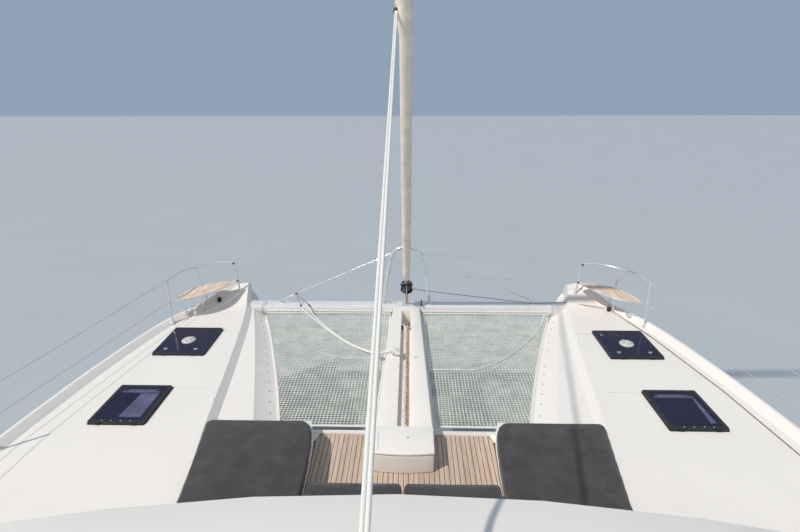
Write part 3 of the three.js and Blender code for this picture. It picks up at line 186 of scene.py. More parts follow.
def tinted(tree, source, dark, light, low=0.35, high=0.65):
    """A ramp between two colours, driven by a texture."""
    ramp = node(tree, "ShaderNodeValToRGB")
    ramp.color_ramp.elements[0].position = low
    ramp.color_ramp.elements[0].color = (*dark, 1)
    ramp.color_ramp.elements[1].position = high
    ramp.color_ramp.elements[1].color = (*light, 1)
    tree.links.new(source, ramp.inputs["Fac"])
    return ramp


def shaded(colour, by):
    return tuple(min(1.0, max(0.0, c * by)) for c in colour)


def texture(tree, kind, scale, stretch=(1, 1, 1), **values):
    """A texture in the object's own metres."""
    place = node(tree, "ShaderNodeTexCoord")
    mapping = node(tree, "ShaderNodeMapping")
    mapping.inputs["Scale"].default_value = stretch
    tree.links.new(place.outputs["Object"], mapping.inputs["Vector"])
    made = node(tree, kind, Scale=scale, **values)
    tree.links.new(mapping.outputs["Vector"], made.inputs["Vector"])
    return made


def bumped(tree, shader, height, strength, distance):
    bump = node(tree, "ShaderNodeBump", Strength=strength, Distance=distance)
    tree.links.new(height, bump.inputs["Height"])
    tree.links.new(bump.outputs["Normal"], shader.inputs["Normal"])
    return bump


def varied_roughness(tree, shader, source, low, high):
    spread = node(tree, "ShaderNodeMapRange")
    spread.inputs["To Min"].default_value = low
    spread.inputs["To Max"].default_value = high
    tree.links.new(source, spread.inputs["Value"])
    tree.links.new(spread.outputs["Result"], shader.inputs["Roughness"])


def plain_finish(name, colour, low, high, metal=0.0, mottle=0.05, scale=2.5, grain=300.0, depth=0.00015,
                 strength=0.25, coat=0.0, **sockets):
    """A moulded, painted or cast surface with soft patches and a fine grain."""
    def build(tree, shader):
        patches = texture(tree, "ShaderNodeTexNoise", scale, Detail=5.0, Roughness=0.6)
        ramp = tinted(tree, patches.outputs["Fac"], shaded(colour, 1 - mottle), shaded(colour, 1 + mottle * 0.5))
        tree.links.new(ramp.outputs["Color"], shader.inputs["Base Color"])
        varied_roughness(tree, shader, patches.outputs["Fac"], low, high)
        fine = texture(tree, "ShaderNodeTexNoise", grain, Detail=3.0)
        bumped(tree, shader, fine.outputs["Fac"], strength, depth)
        shader.inputs["Metallic"].default_value = metal
        shader.inputs["Coat Weight"].default_value = coat
        for key, value in sockets.items():
            shader.inputs[key].default_value = value
    return finish(name, build)


def gelcoat():
    return plain_finish("white gelcoat", colour_of("gelcoat"), 0.24, 0.36, mottle=0.02, scale=1.1,
                        grain=900.0, depth=0.0002, strength=0.2, coat=0.1)


def gloss_gelcoat():
    return plain_finish("polished gelcoat", colour_of("gelcoat"), 0.12, 0.2, mottle=0.025, scale=0.8,
                        grain=40.0, depth=0.0002, strength=0.15, coat=0.4)


def bottom_paint():
    return plain_finish("antifouling", colour_of("bottom"), 0.62, 0.8, mottle=0.35, scale=3.0,
                        grain=120.0, depth=0.0006, strength=0.4)


def stainless():
    return plain_finish("polished stainless", (0.86, 0.85, 0.83), 0.12, 0.26, metal=0.55, mottle=0.08, scale=9.0,
                        grain=600.0, depth=0.0001, strength=0.1)


def spar_aluminium():
    return plain_finish("anodised spar", (0.84, 0.82, 0.79), 0.3, 0.44, metal=0.25, mottle=0.05, scale=3.0,
                        grain=500.0, depth=0.0001, strength=0.15)


def black_fitting():
    return plain_finish("black fitting", (0.022, 0.022, 0.024), 0.35, 0.55, mottle=0.3, scale=30.0,
                        grain=900.0, depth=0.0001, strength=0.3)


def grey_fitting():
    return plain_finish("grey fitting", (0.33, 0.34, 0.36), 0.4, 0.55, mottle=0.15, scale=20.0,
                        grain=700.0, depth=0.0001, strength=0.2)


def bronze():
    return plain_finish("dull bronze", (0.42, 0.28, 0.11), 0.3, 0.5, metal=0.9, mottle=0.3, scale=25.0,
                        grain=200.0, depth=0.0003, strength=0.3)


def engine_paint():
    return plain_finish("engine paint", (0.10, 0.17, 0.15), 0.4, 0.6, mottle=0.25, scale=8.0,
                        grain=150.0, depth=0.0004, strength=0.3, metal=0.2)


def smoked_glass():
    return plain_finish("smoked acrylic", (0.020, 0.018, 0.044), 0.06, 0.12, mottle=0.3, scale=1.2,
                        grain=5.0, depth=0.001, strength=0.05, **{"Specular IOR Level": 0.18})


def cabin_glass():
    return plain_finish("cabin glass", (0.010, 0.012, 0.015), 0.03, 0.09, mottle=0.3, scale=0.8,
                        grain=2.0, depth=0.002, strength=0.05, coat=1.0)


def sealant():
    return plain_finish("black sealant", (0.02, 0.02, 0.022), 0.55, 0.7, mottle=0.3, scale=40.0)


def gasket_grey():
    return plain_finish("grey seam", (0.60, 0.61, 0.63), 0.5, 0.6, mottle=0.15, scale=30.0)


def stained_white():
    return plain_finish("rust stained gelcoat", (0.80, 0.70, 0.63), 0.35, 0.55, mottle=0.22, scale=18.0,
                        grain=200.0, depth=0.0003)


def woven(name, colour, thread=700.0, speckle=0.3, rough=(0.85, 0.97), depth=0.0006, sheen=0.0, stretch=(1, 1, 1)):
    """Cloth: two crossed sets of threads in its bump, with worn, faded patches."""
    def build(tree, shader):
        patches = texture(tree, "ShaderNodeTexNoise", 6.0, Detail=6.0, Roughness=0.65)
        ramp = tinted(tree, patches.outputs["Fac"], shaded(colour, 1 - speckle), shaded(colour, 1 + speckle))
        tree.links.new(ramp.outputs["Color"], shader.inputs["Base Color"])
        varied_roughness(tree, shader, patches.outputs["Fac"], *rough)
        warp = texture(tree, "ShaderNodeTexWave", thread, stretch, bands_direction="X", Distortion=0.6)
        weft = texture(tree, "ShaderNodeTexWave", thread, stretch, bands_direction="Y", Distortion=0.6)
        both = node(tree, "ShaderNodeMath", operation="ADD")
        tree.links.new(warp.outputs["Fac"], both.inputs[0])
        tree.links.new(weft.outputs["Fac"], both.inputs[1])
        bumped(tree, shader, both.outputs["Value"], 0.5, depth)
        shader.inputs["Sheen Weight"].default_value = sheen
        shader.inputs["Sheen Roughness"].default_value = 0.5
    return finish(name, build)


def deck_cloth():
    return woven("charcoal cloth", colour_of("cushion"), 420.0, 0.28, sheen=0.25)


def seat_cloth():
    return woven("stone cloth", (0.46, 0.42, 0.36), 420.0, 0.12, sheen=0.2)


def bag_cloth():
    return woven("bag canvas", colour_of("bag"), 300.0, 0.2)


def sailcloth():
    return woven("furled sailcloth", (0.90, 0.81, 0.69), 260.0, 0.09, rough=(0.7, 0.85))


def net_twine():
    return woven("net twine", (0.66, 0.66, 0.58), 800.0, 0.16, depth=0.0004)


def rope_braid(name="white braid", colour=(0.84, 0.82, 0.77)):
    def build(tree, shader):
        strands = texture(tree, "ShaderNodeTexVoronoi", 260.0, (1, 1, 1), feature="F1")
        # the ramp darkens the colour towards the Voronoi cells' edges: painted shade in the grooves between the strands
        ramp = tinted(tree, strands.outputs["Distance"], colour, shaded(colour, 0.78), 0.25, 0.85)
        tree.links.new(ramp.outputs["Color"], shader.inputs["Base Color"])
        varied_roughness(tree, shader, strands.outputs["Distance"], 0.8, 0.95)
        bumped(tree, shader, strands.outputs["Distance"], 0.5, 0.0007)
    return finish(name, build)


def black_braid():
    return rope_braid("black braid", (0.05, 0.05, 0.055))


def rusty_steel():
    def build(tree, shader):
        patches = texture(tree, "ShaderNodeTexNoise", 35.0, Detail=6.0, Roughness=0.7)
        ramp = tinted(tree, patches.outputs["Fac"], (0.21, 0.13, 0.075), (0.66, 0.55, 0.41), 0.36, 0.58)
        tree.links.new(ramp.outputs["Color"], shader.inputs["Base Color"])
        varied_roughness(tree, shader, patches.outputs["Fac"], 0.7, 0.9)
        bumped(tree, shader, patches.outputs["Fac"], 0.5, 0.001)
        shader.inputs["Metallic"].default_value = 0.25
    return finish("rusted chain", build)


def teak_wood(name="weathered teak", by=1.0):
    """Planks run fore and aft: long fibres, darker streaks and a tone of their own for each plank."""
    def build(tree, shader):
        colour = shaded(colour_of("teak"), by)
        fibres = texture(tree, "ShaderNodeTexNoise", 60.0, (1.6, 0.06, 1.0), Detail=8.0, Roughness=0.65)
        ramp = tinted(tree, fibres.outputs["Fac"], shaded(colour, 0.72), shaded(colour, 1.16), 0.3, 0.7)
        planks = texture(tree, "ShaderNodeTexNoise", 19.2, (1.0, 0.02, 1.0), Detail=0.0)
        tone = tinted(tree, planks.outputs["Fac"], (0.86, 0.84, 0.82), (1.0, 1.0, 1.0), 0.35, 0.65)
        both = node(tree, "ShaderNodeMix", data_type="RGBA", blend_type="MULTIPLY")
        both.inputs["Factor"].default_value = 1.0
        tree.links.new(ramp.outputs["Color"], both.inputs[6])
        tree.links.new(tone.outputs["Color"], both.inputs[7])
        tree.links.new(both.outputs[2], shader.inputs["Base Color"])
        varied_roughness(tree, shader, fibres.outputs["Fac"], 0.62, 0.8)
        bumped(tree, shader, fibres.outputs["Fac"], 0.35, 0.0008)
    return finish(name, build)


# Shapes
SHARP_ANGLE, BEVEL_ANGLE = 35.0, 32.0


class Form:
    """One piece, gathered part by part before it becomes a mesh."""

    def __init__(self):
        self.points, self.faces, self.kinds = [], [], []

    def add(self, points, faces, kind=0):
        start = len(self.points)
        self.points += [tuple(p) for p in points]
        self.faces += [[i + start for i in face] for face in faces]
        self.kinds += [kind] * len(faces)
        return self

    def rings(self, rings, kind=0, capped=True, looped=False):
        """A skin over rings of equal count, closed round each ring."""
        count = len(rings[0])
        last = len(rings) if looped else len(rings) - 1
        faces = []
        for r in range(last):
            near, far = r * count, ((r + 1) % len(rings)) * count
            for i in range(count):
                j = (i + 1) % count
                faces.append((near + i, near + j, far + j, far + i))
        if capped and not looped:
            faces.append(tuple(reversed(range(count))))
            faces.append(tuple(range((len(rings) - 1) * count, len(rings) * count)))
        return self.add([p for ring in rings for p in ring], faces, kind)

    def tube(self, points, radius, sides=8, kind=0, looped=False, radii=None):
        """A round bar along points, turned with as little twist as the path allows."""
        path = [Vector(p) for p in points]
        count = len(path)
        rings, across = [], None
        for i, p in enumerate(path):
            before = path[i - 1] if i or looped else p
            after = path[(i + 1) % count] if i + 1 < count or looped else p
            along = (after - before).normalized()
            if across is None:
                across = along.orthogonal().normalized()
            across = (across - along * across.dot(along)).normalized()
            other = along.cross(across)
            r = radii[i] if radii else radius
            rings.append([p + (across * math.cos(a) + other * math.sin(a)) * r for a in turn_of(sides)])
        return self.rings(rings, kind, looped=looped)

    def lathe(self, profile, place, axis=(0, 0, 1), sides=24, kind=0):
        """A turned shape: radius and height pairs about an axis that starts at a place."""
        up = Vector(axis).normalized()
        across = up.orthogonal().normalized()
        other = up.cross(across)
        base = Vector(place)
        rings = [[base + up * h + (across * math.cos(a) + other * math.sin(a)) * max(r, 1e-5)
                  for a in turn_of(sides)] for r, h in profile]
        return self.rings(rings, kind)

    def block(self, low, high, kind=0, turn=None, about=None):
        (x0, y0, z0), (x1, y1, z1) = low, high
        points = [Vector(p) for p in ((x0, y0, z0), (x1, y0, z0), (x1, y1, z0), (x0, y1, z0),
                                      (x0, y0, z1), (x1, y0, z1), (x1, y1, z1), (x0, y1, z1))]
        if turn is not None:
            centre = Vector(about) if about else sum(points, Vector()) / 8
            points = [centre + turn @ (p - centre) for p in points]
        faces = ((0, 3, 2, 1), (4, 5, 6, 7), (0, 1, 5, 4), (1, 2, 6, 5), (2, 3, 7, 6), (3, 0, 4, 7))
        return self.add(points, faces, kind)

    def slab(self, outline, z0, z1, kind=0):
        """A flat outline between two heights; each height is a number or a function of x and y."""
        low = z0 if callable(z0) else lambda x, y: z0
        high = z1 if callable(z1) else lambda x, y: z1
        return self.rings([[(x, y, low(x, y)) for x, y in outline],
                           [(x, y, high(x, y)) for x, y in outline]], kind)

    def sheet(self, rows, kind=0, thick=0.0):
        """An open skin over rows of points, or a closed one where it has a thickness downwards."""
        count, deep = len(rows[0]), len(rows)
        top = [Vector(p) for row in rows for p in row]
        faces = [(r * count + i, r * count + i + 1, (r + 1) * count + i + 1, (r + 1) * count + i)
                 for r in range(deep - 1) for i in range(count - 1)]
        if not thick:
            return self.add(top, faces, kind)
        size = len(top)
        under = [tuple(i + size for i in reversed(face)) for face in faces]
        rim = ([(0, i) for i in range(count)] + [(r, count - 1) for r in range(1, deep)]
               + [(deep - 1, i) for i in range(count - 2, -1, -1)] + [(r, 0) for r in range(deep - 2, 0, -1)])
        edge = [r * count + i for r, i in rim]
        sides = [(edge[k], edge[k] + size, edge[(k + 1) % len(edge)] + size, edge[(k + 1) % len(edge)])
                 for k in range(len(edge))]
        return self.add(top + [p - Vector((0, 0, thick)) for p in top], faces + under + sides, kind)

    def bolt(self, place, axis=(0, 0, 1), radius=0.006, high=0.004, kind=0):
        return self.lathe(((radius, 0), (radius, high * 0.5), (radius * 0.7, high), (0.0, high * 0.95)),
                          place, axis, 8, kind)

    def piece(self, name, finishes, slot, body=PLATFORM, sharp=SHARP_ANGLE, bevel=0.0, segments=2, replaces=()):
        """The mesh object, smoothed, finished, and riding on its body."""
        mesh = bpy.data.meshes.new(name)
        mesh.from_pydata(self.points, [], self.faces)
        work = bmesh.new()
        work.from_mesh(mesh)
        bmesh.ops.recalc_face_normals(work, faces=work.faces)
        work.to_mesh(mesh)
        work.free()
        return dressed(mesh, name, finishes, body, self.kinds, sharp, bevel, segments, replaces)


def dressed(mesh, name, finishes, body, kinds=None, sharp=SHARP_ANGLE, bevel=0.0, segments=2, replaces=()):
    made = bpy.data.objects.new(name, mesh)
    bpy.context.scene.collection.objects.link(made)
    for material in finishes:
        mesh.materials.append(material)
    if kinds and len(finishes) > 1:
        for polygon, kind in zip(mesh.polygons, kinds):
            polygon.material_index = kind
    mesh.shade_smooth()
    mesh.set_sharp_from_angle(angle=math.radians(sharp))
    if bevel:
        soften(made, bevel, segments)
    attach(made, body)
    if replaces:
        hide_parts(*replaces)
    return made


def soften(made, width, segments=2, angle=BEVEL_ANGLE):
    edge = made.modifiers.new("edges", "BEVEL")
    edge.width = width
    edge.segments = segments
    edge.limit_method = "ANGLE"
    edge.angle_limit = math.radians(angle)
    edge.harden_normals = False
    return edge


def smooth_curve(points, steps=6):
    """A rounded path through points."""
    path = [Vector(p) for p in points]
    ends = [path[0] * 2 - path[1], *path, path[-1] * 2 - path[-2]]
    result = []
    for i in range(1, len(ends) - 2):
        a, b, c, d = ends[i - 1:i + 3]
        for s in range(steps):
            t = s / steps
            result.append(0.5 * ((2 * b) + (c - a) * t + (2 * a - 5 * b + 4 * c - d) * t * t
                                 + (3 * b - a - 3 * c + d) * t ** 3))
    return result + [path[-1]]


def rounded(outline, radius, steps=4):
    """A flat outline with its corners rounded."""
    result, count = [], len(outline)
    for i, corner in enumerate(outline):
        at = Vector(corner)
        before, after = Vector(outline[i - 1]) - at, Vector(outline[(i + 1) % count]) - at
        reach = min(radius, before.length * 0.45, after.length * 0.45)
        start, end = at + before.normalized() * reach, at + after.normalized() * reach
        for s in range(steps + 1):
            t = s / steps
            result.append(tuple(start * (1 - t) ** 2 + at * 2 * t * (1 - t) + end * t * t))
    return result


def box_outline(x0, x1, y0, y1, radius=0.0, steps=4):
    outline = ((x0, y0), (x1, y0), (x1, y1), (x0, y1))
    return rounded(outline, radius, steps) if radius else list(outline)


def turn_of(count):
    """The angles of a full turn, in equal steps."""
    return [2 * math.pi * k / count for k in range(count)]


def between(rows, y, column):
    """A table's value at any place along it, on straight lines."""
    for a, b in zip(rows, rows[1:]):
        if a[0] >= y >= b[0]:
            t = (a[0] - y) / (a[0] - b[0])
            return a[column] + (b[column] - a[column]) * t
    row = rows[0] if y > rows[0][0] else rows[-1]
    return row[column]


def refined(rows, steps):
    """The table with rows between its rows, on smooth curves."""
    result = []
    for i in range(len(rows) - 1):
        before, a, b, after = rows[max(i - 1, 0)], rows[i], rows[i + 1], rows[min(i + 2, len(rows) - 1)]
        for s in range(steps):
            t = s / steps
            result.append(tuple(hermite(before, a, b, after, k, t) for k in range(len(a))))
    return result + [rows[-1]]


def hermite(before, a, b, after, k, t):
    span = b[0] - a[0]
    if k == 0:
        return a[0] + span * t

    def slope(p, q):
        return (b[k] - a[k]) / span if p is q else (q[k] - p[k]) / (q[0] - p[0])
    m0, m1 = slope(before, b) * span, slope(a, after) * span
    t2, t3 = t * t, t ** 3
    return ((2 * t3 - 3 * t2 + 1) * a[k] + (3 * t2 - 2 * t3) * b[k]
            + (t3 - 2 * t2 + t) * m0 + (t3 - t2) * m1)


HULL_ROWS = refined(BOW_ROWS, 6) + refined(MIDDLE_ROWS, 3) + refined(STERN_ROWS, 3)
AT = {"gunwale": 4, "deck_edge": 5, "ridge": 6, "net_edge": 7, "deck": 9}


def hull_at(y, what):
    return between(HULL_ROWS, y, AT[what])


SHAPES = {}


def shape_of(name, mesh=None):
    """The faces of a solid, ready to be hit by a line; the hull's are those of its skin."""
    if mesh is not None or name not in SHAPES:
        mesh = mesh or NODES[name].data
        SHAPES[name] = BVHTree.FromPolygons([v.co.copy() for v in mesh.vertices],
                                            [tuple(p.vertices) for p in mesh.polygons])
    return SHAPES[name]


def surface(x, y, nodes=("hull_starboard", "bridge_deck", "coachroof"), start=4.2):
    """Height of the topmost deck or roof under a place, taken on the starboard side."""
    hits = [shape_of(name).ray_cast(Vector((abs(x), y, start)), Vector((0, 0, -1)))[0] for name in nodes]
    heights = [at.z for at in hits if at is not None]
    if not heights:
        raise RuntimeError(f"nothing lies under {x:.2f}, {y:.2f}")
    return max(heights)


def topside(y, z):
    """How far out the hull's outer side lies at a height."""
    at = shape_of("hull_starboard").ray_cast(Vector((6, y, z)), Vector((-1, 0, 0)))[0]
    if at is None:
        raise RuntimeError(f"no topside at {y:.2f}, {z:.2f}")
    return at.x


# CAD solids that stay: welded, their edges rounded, shaded smooth up to an angle
WELD_WITHIN, FLAT_WITHIN = 0.00005, 0.6


def smooth_nodes():
    """Geometry Nodes that shade a solid smooth and keep its sharp edges."""
    if "shade by angle" in bpy.data.node_groups:
        return bpy.data.node_groups["shade by angle"]
    group = bpy.data.node_groups.new("shade by angle", "GeometryNodeTree")
    group.interface.new_socket("Geometry", in_out="INPUT", socket_type="NodeSocketGeometry")
    angle = group.interface.new_socket("Angle", in_out="INPUT", socket_type="NodeSocketFloat")
    angle.default_value = math.radians(SHARP_ANGLE)
    group.interface.new_socket("Geometry", in_out="OUTPUT", socket_type="NodeSocketGeometry")
    entry, leave = group.nodes.new("NodeGroupInput"), group.nodes.new("NodeGroupOutput")
    bare = group.nodes.new("GeometryNodeRemoveAttribute")
    bare.inputs["Name"].default_value = "custom_normal"
    turn = group.nodes.new("GeometryNodeInputMeshEdgeAngle")
    compare = group.nodes.new("FunctionNodeCompare")
    compare.operation = "GREATER_THAN"
    faces = group.nodes.new("GeometryNodeSetShadeSmooth")
    faces.domain = "FACE"
    edges = group.nodes.new("GeometryNodeSetShadeSmooth")
    edges.domain = "EDGE"
    edges.inputs["Shade Smooth"].default_value = False
    link = group.links.new
    link(entry.outputs["Geometry"], bare.inputs["Geometry"])
    link(bare.outputs["Geometry"], faces.inputs["Geometry"])
    link(faces.outputs["Geometry"], edges.inputs["Geometry"])
    link(turn.outputs["Unsigned Angle"], compare.inputs["A"])
    link(entry.outputs["Angle"], compare.inputs["B"])
    link(compare.outputs["Result"], edges.inputs["Selection"])
    link(edges.outputs["Geometry"], leave.inputs["Geometry"])
    return group


def keep_solid(name, material, bevel=0.0, segments=2, sharp=SHARP_ANGLE):
    """Finishes a CAD solid in place, with modifiers and a material only."""
    solid = NODES[name]
    solid.data.materials.clear()
    solid.data.materials.append(material)
    weld = solid.modifiers.new("weld", "WELD")
    weld.merge_threshold = WELD_WITHIN
    flat = solid.modifiers.new("flat faces", "DECIMATE")
    flat.decimate_type = "DISSOLVE"
    flat.angle_limit = math.radians(FLAT_WITHIN)
    if bevel:
        soften(solid, bevel, segments, angle=sharp)
    shade = solid.modifiers.new("shading", "NODES")
    shade.node_group = smooth_nodes()
    return solid


class CATAMARAN_OT_stage(bpy.types.Operator):
    """Floor at the waterline, soft daylight and the camera by the mast"""
    bl_idname = "catamaran.stage"
    bl_label = "Stage"

    def execute(self, context):
        scene = context.scene
        floor = Form()
        reach, rows = 90.0, 6
        floor.sheet([[(-reach + 2 * reach * i / rows, -reach + 2 * reach * j / rows, 0.0)
                      for i in range(rows + 1)] for j in range(rows + 1)])
        mesh = bpy.data.meshes.new("floor")
        mesh.from_pydata(floor.points, [], floor.faces)
        ground = bpy.data.objects.new("floor", mesh)
        scene.collection.objects.link(ground)
        mesh.materials.append(plain_finish("pale floor", (0.42, 0.46, 0.49), 0.7, 0.85, mottle=0.02,
                                           scale=0.4, grain=30.0, depth=0.0002))

        def light(name, kind, energy, colour, **values):
            data = bpy.data.lights.new(name, kind)
            data.energy = energy
            data.color = colour
            for key, value in values.items():
                setattr(data, key, value)
            lamp = bpy.data.objects.new(name, data)
            scene.collection.objects.link(lamp)
            return lamp
        sun = light("daylight", "SUN", 2.80, (1.0, 0.955, 0.89), angle=math.radians(1.2))
        sun.rotation_euler = Vector((0.63, 0.45, -1.0)).to_track_quat("-Z", "Y").to_euler()
        fill = light("soft fill", "AREA", 430.0, (0.98, 0.96, 0.94), shape="DISK", size=14.0)
        fill.location = (-7.0, -14.0, 16.0)
        fill.rotation_euler = (Vector((0, 3, 1.5)) - fill.location).to_track_quat("-Z", "Y").to_euler()

        world = bpy.data.worlds.new("soft sky")
        scene.world = world
        world.use_nodes = True
        sky = world.node_tree.nodes["Background"]
        sky.inputs["Color"].default_value = (0.62, 0.79, 1.0, 1)
        sky.inputs["Strength"].default_value = 0.46
        scene.view_settings.view_transform = "Standard"
        scene.view_settings.look = "None"

        lens = bpy.data.cameras.new("camera")
        lens.sensor_width = 36.0
        lens.lens = 22.5
        lens.clip_end = 400.0
        camera = bpy.data.objects.new("camera", lens)
        scene.collection.objects.link(camera)
        camera.location = (0.057, -0.60, 5.45)
        turn = (Matrix.Rotation(math.radians(1.241), 4, "Z") @ Matrix.Rotation(math.radians(90 - 20.147), 4, "X")
                @ Matrix.Rotation(math.radians(-0.157), 4, "Z"))
        camera.rotation_euler = turn.to_euler()
        scene.camera = camera
        return {"FINISHED"}


# Hull skin
def curve_through(section, steps):
    """The section's points with smooth points between them."""
    return [tuple(p) for p in smooth_curve([Vector((x, 0, z)) for x, z in section], steps)]


def hull_section(row):
    """One section of the starboard hull from its keel up the outer side, over the deck and down the inner side."""
    y, keel_x, keel_z, beam, rail_x, deck_x, ridge_x, net_x, under_z, deck_z = row
    rail = min(1.0, (rail_x - deck_x) / 0.6)
    step = max(0.0, min(1.0, (deck_x - ridge_x) / 0.11))
    outer = curve_through(((keel_x, keel_z), (keel_x + 0.6 * beam, keel_z * 0.8),
                           (keel_x + 0.92 * beam, keel_z * 0.35), (keel_x + beam, 0.1),
                           (keel_x + beam + 0.8 * (rail_x - keel_x - beam), 0.95), (rail_x, deck_z - 0.06)), 3)
    roll = [(rail_x - 0.004 * rail, 0, deck_z + 0.012 * rail), (rail_x - 0.020 * rail, 0, deck_z + 0.062 * rail),
            (rail_x - 0.030 * rail, 0, deck_z + 0.070 * rail), (rail_x - 0.068 * rail, 0, deck_z + 0.070 * rail),
            (rail_x - 0.082 * rail, 0, deck_z + 0.062 * rail), (rail_x - 0.160 * rail, 0, deck_z)]
    panel = min(deck_z, 1.955)
    inner_deck = [(deck_x, 0, deck_z), (deck_x - 0.09 * step, 0, panel - 0.07 * step),
                  (ridge_x, 0, panel - 0.07 * step), ((ridge_x + net_x) / 2, 0, panel - 0.15 * step),
                  (net_x, 0, panel - 0.2 * step), (net_x, 0, under_z)]
    inner = curve_through(((keel_x - beam * 1.04, min(0.85, under_z - 0.01)), (keel_x - beam, 0.1),
                           (keel_x - 0.92 * beam, keel_z * 0.35), (keel_x - 0.6 * beam, keel_z * 0.8),
                           (keel_x, keel_z)), 3)
    return [(x, y, z) for x, _, z in (*outer, *roll, *inner_deck, *inner[:-1])]


def cut_away(solid, cutters):
    """Takes the cutters out of a mesh object and leaves its mesh cut."""
    for cutter in cutters:
        change = solid.modifiers.new("cut", "BOOLEAN")
        change.operation = "DIFFERENCE"
        change.solver = "EXACT"
        change.object = cutter
    bpy.context.view_layer.update()
    shape = bpy.data.meshes.new_from_object(solid.evaluated_get(bpy.context.evaluated_depsgraph_get()))
    solid.modifiers.clear()
    solid.data = shape
    for cutter in cutters:
        bpy.data.objects.remove(cutter)
    return shape


def cutter(form):
    mesh = bpy.data.meshes.new("cutter")
    mesh.from_pydata(form.points, [], form.faces)
    work = bmesh.new()
    work.from_mesh(mesh)
    bmesh.ops.recalc_face_normals(work, faces=work.faces)
    work.to_mesh(mesh)
    work.free()
    made = bpy.data.objects.new("cutter", mesh)
    bpy.context.scene.collection.objects.link(made)
    return made


def flipped(points, side):
    return [(x * side, y, z) for x, y, z in points]


def profile_block(profile, x0, x1):
    """A side profile in y and z between two x."""
    return Form().rings([[(x, y, z) for y, z in profile] for x in (x0, x1)])


HATCHES = {"hatch_front": (2.765, 3.475, 5.340, 6.110), "hatch_middle": (2.840, 3.468, 3.862, 4.580)}
ENGINE_LID = (2.600, 3.300, -5.950, -5.000)
BOOT_TOP = (0.115, 0.190)  # heights of the dark stripe above the bottom paint
STERN_STEPS = ((-6.050, 1.480), (-6.430, 1.080), (-6.830, 0.560))


def hull_skin(name, side):
    form = Form().rings([flipped(hull_section(row), side) for row in HULL_ROWS])
    mesh = bpy.data.meshes.new(f"hull_skin_{name}")
    mesh.from_pydata(form.points, [], form.faces)
    work = bmesh.new()
    work.from_mesh(mesh)
    bmesh.ops.remove_doubles(work, verts=work.verts, dist=0.00002)
    bmesh.ops.recalc_face_normals(work, faces=work.faces)
    work.to_mesh(mesh)
    work.free()
    skin = bpy.data.objects.new(f"hull_skin_{name}", mesh)
    bpy.context.scene.collection.objects.link(skin)
    cuts = []
    for x0, x1, y0, y1 in HATCHES.values():
        outline = box_outline(x0 + 0.055, x1 - 0.055, y0 + 0.055, y1 - 0.055, 0.05)
        cuts.append(Form().slab([(x * side, y) for x, y in outline], DECK - 0.18, 2.4))
    x0, x1, y0, y1 = ENGINE_LID
    outline = box_outline(x0 + 0.05, x1 - 0.05, y0 + 0.05, y1 - 0.05, 0.05)
    cuts.append(Form().slab([(x * side, y) for x, y in outline], 0.06, 2.4))
    steps = [(STERN_STEPS[0][0], 2.4)]
    for i, (y, z) in enumerate(STERN_STEPS):
        after = STERN_STEPS[i + 1][0] if i < 2 else -7.7
        steps += [(y, z), (after, z)]
    cuts.append(profile_block(steps + [(-7.7, 2.4)], 1.70 * side, 3.93 * side))
    sweep = [(-6.05, 2.4)] + [(y, z) for y, z, in smooth_sweep()] + [(-7.7, 2.4)]
    cuts.append(profile_block(sweep, 1.70 * side, 4.6 * side))
    cut_away(skin, [cutter(form) for form in cuts])
    work = bmesh.new()
    work.from_mesh(skin.data)
    bmesh.ops.dissolve_limit(work, angle_limit=math.radians(0.15), verts=work.verts, edges=work.edges)
    for height in BOOT_TOP:
        bmesh.ops.bisect_plane(work, geom=[*work.verts, *work.edges, *work.faces], dist=0.00002,
                               plane_co=(0, 0, height), plane_no=(0, 0, 1))
    work.to_mesh(skin.data)
    work.free()
    mesh = skin.data
    bpy.data.objects.remove(skin)
    if side > 0:
        shape_of("hull_starboard", mesh)
    made = dressed(mesh, f"hull_skin_{name}", [gelcoat(), boot_paint(), bottom_paint()], PLATFORM,
                   sharp=24.0,
                   bevel=0.009, replaces=(f"hull_{name}",))
    for polygon in mesh.polygons:
        polygon.material_index = sum(polygon.center.z < height for height in BOOT_TOP)
    return made


def smooth_sweep():
    return [(p.x, p.z) for p in smooth_curve([(-6.05, 0, 2.01), (-6.9, 0, 1.15), (-7.7, 0, 0.80)], 8)]


class CATAMARAN_OT_hulls(bpy.types.Operator):
    """Hulls, keels, rudders and saildrives"""
    bl_idname = "catamaran.hulls"
    bl_label = "Hulls"

    def execute(self, context):
        for name, side in SIDES:
            hull_skin(name, side)
            keep_solid(f"keel_{name}", bottom_paint(), 0.012)
            keep_solid(f"rudder_{name}", bottom_paint(), 0.006)
            keep_solid(f"engine_saildrive_{name}", engine_paint(), 0.006)
            keep_solid(f"propeller_{name}", bronze(), 0.002)
        return {"FINISHED"}


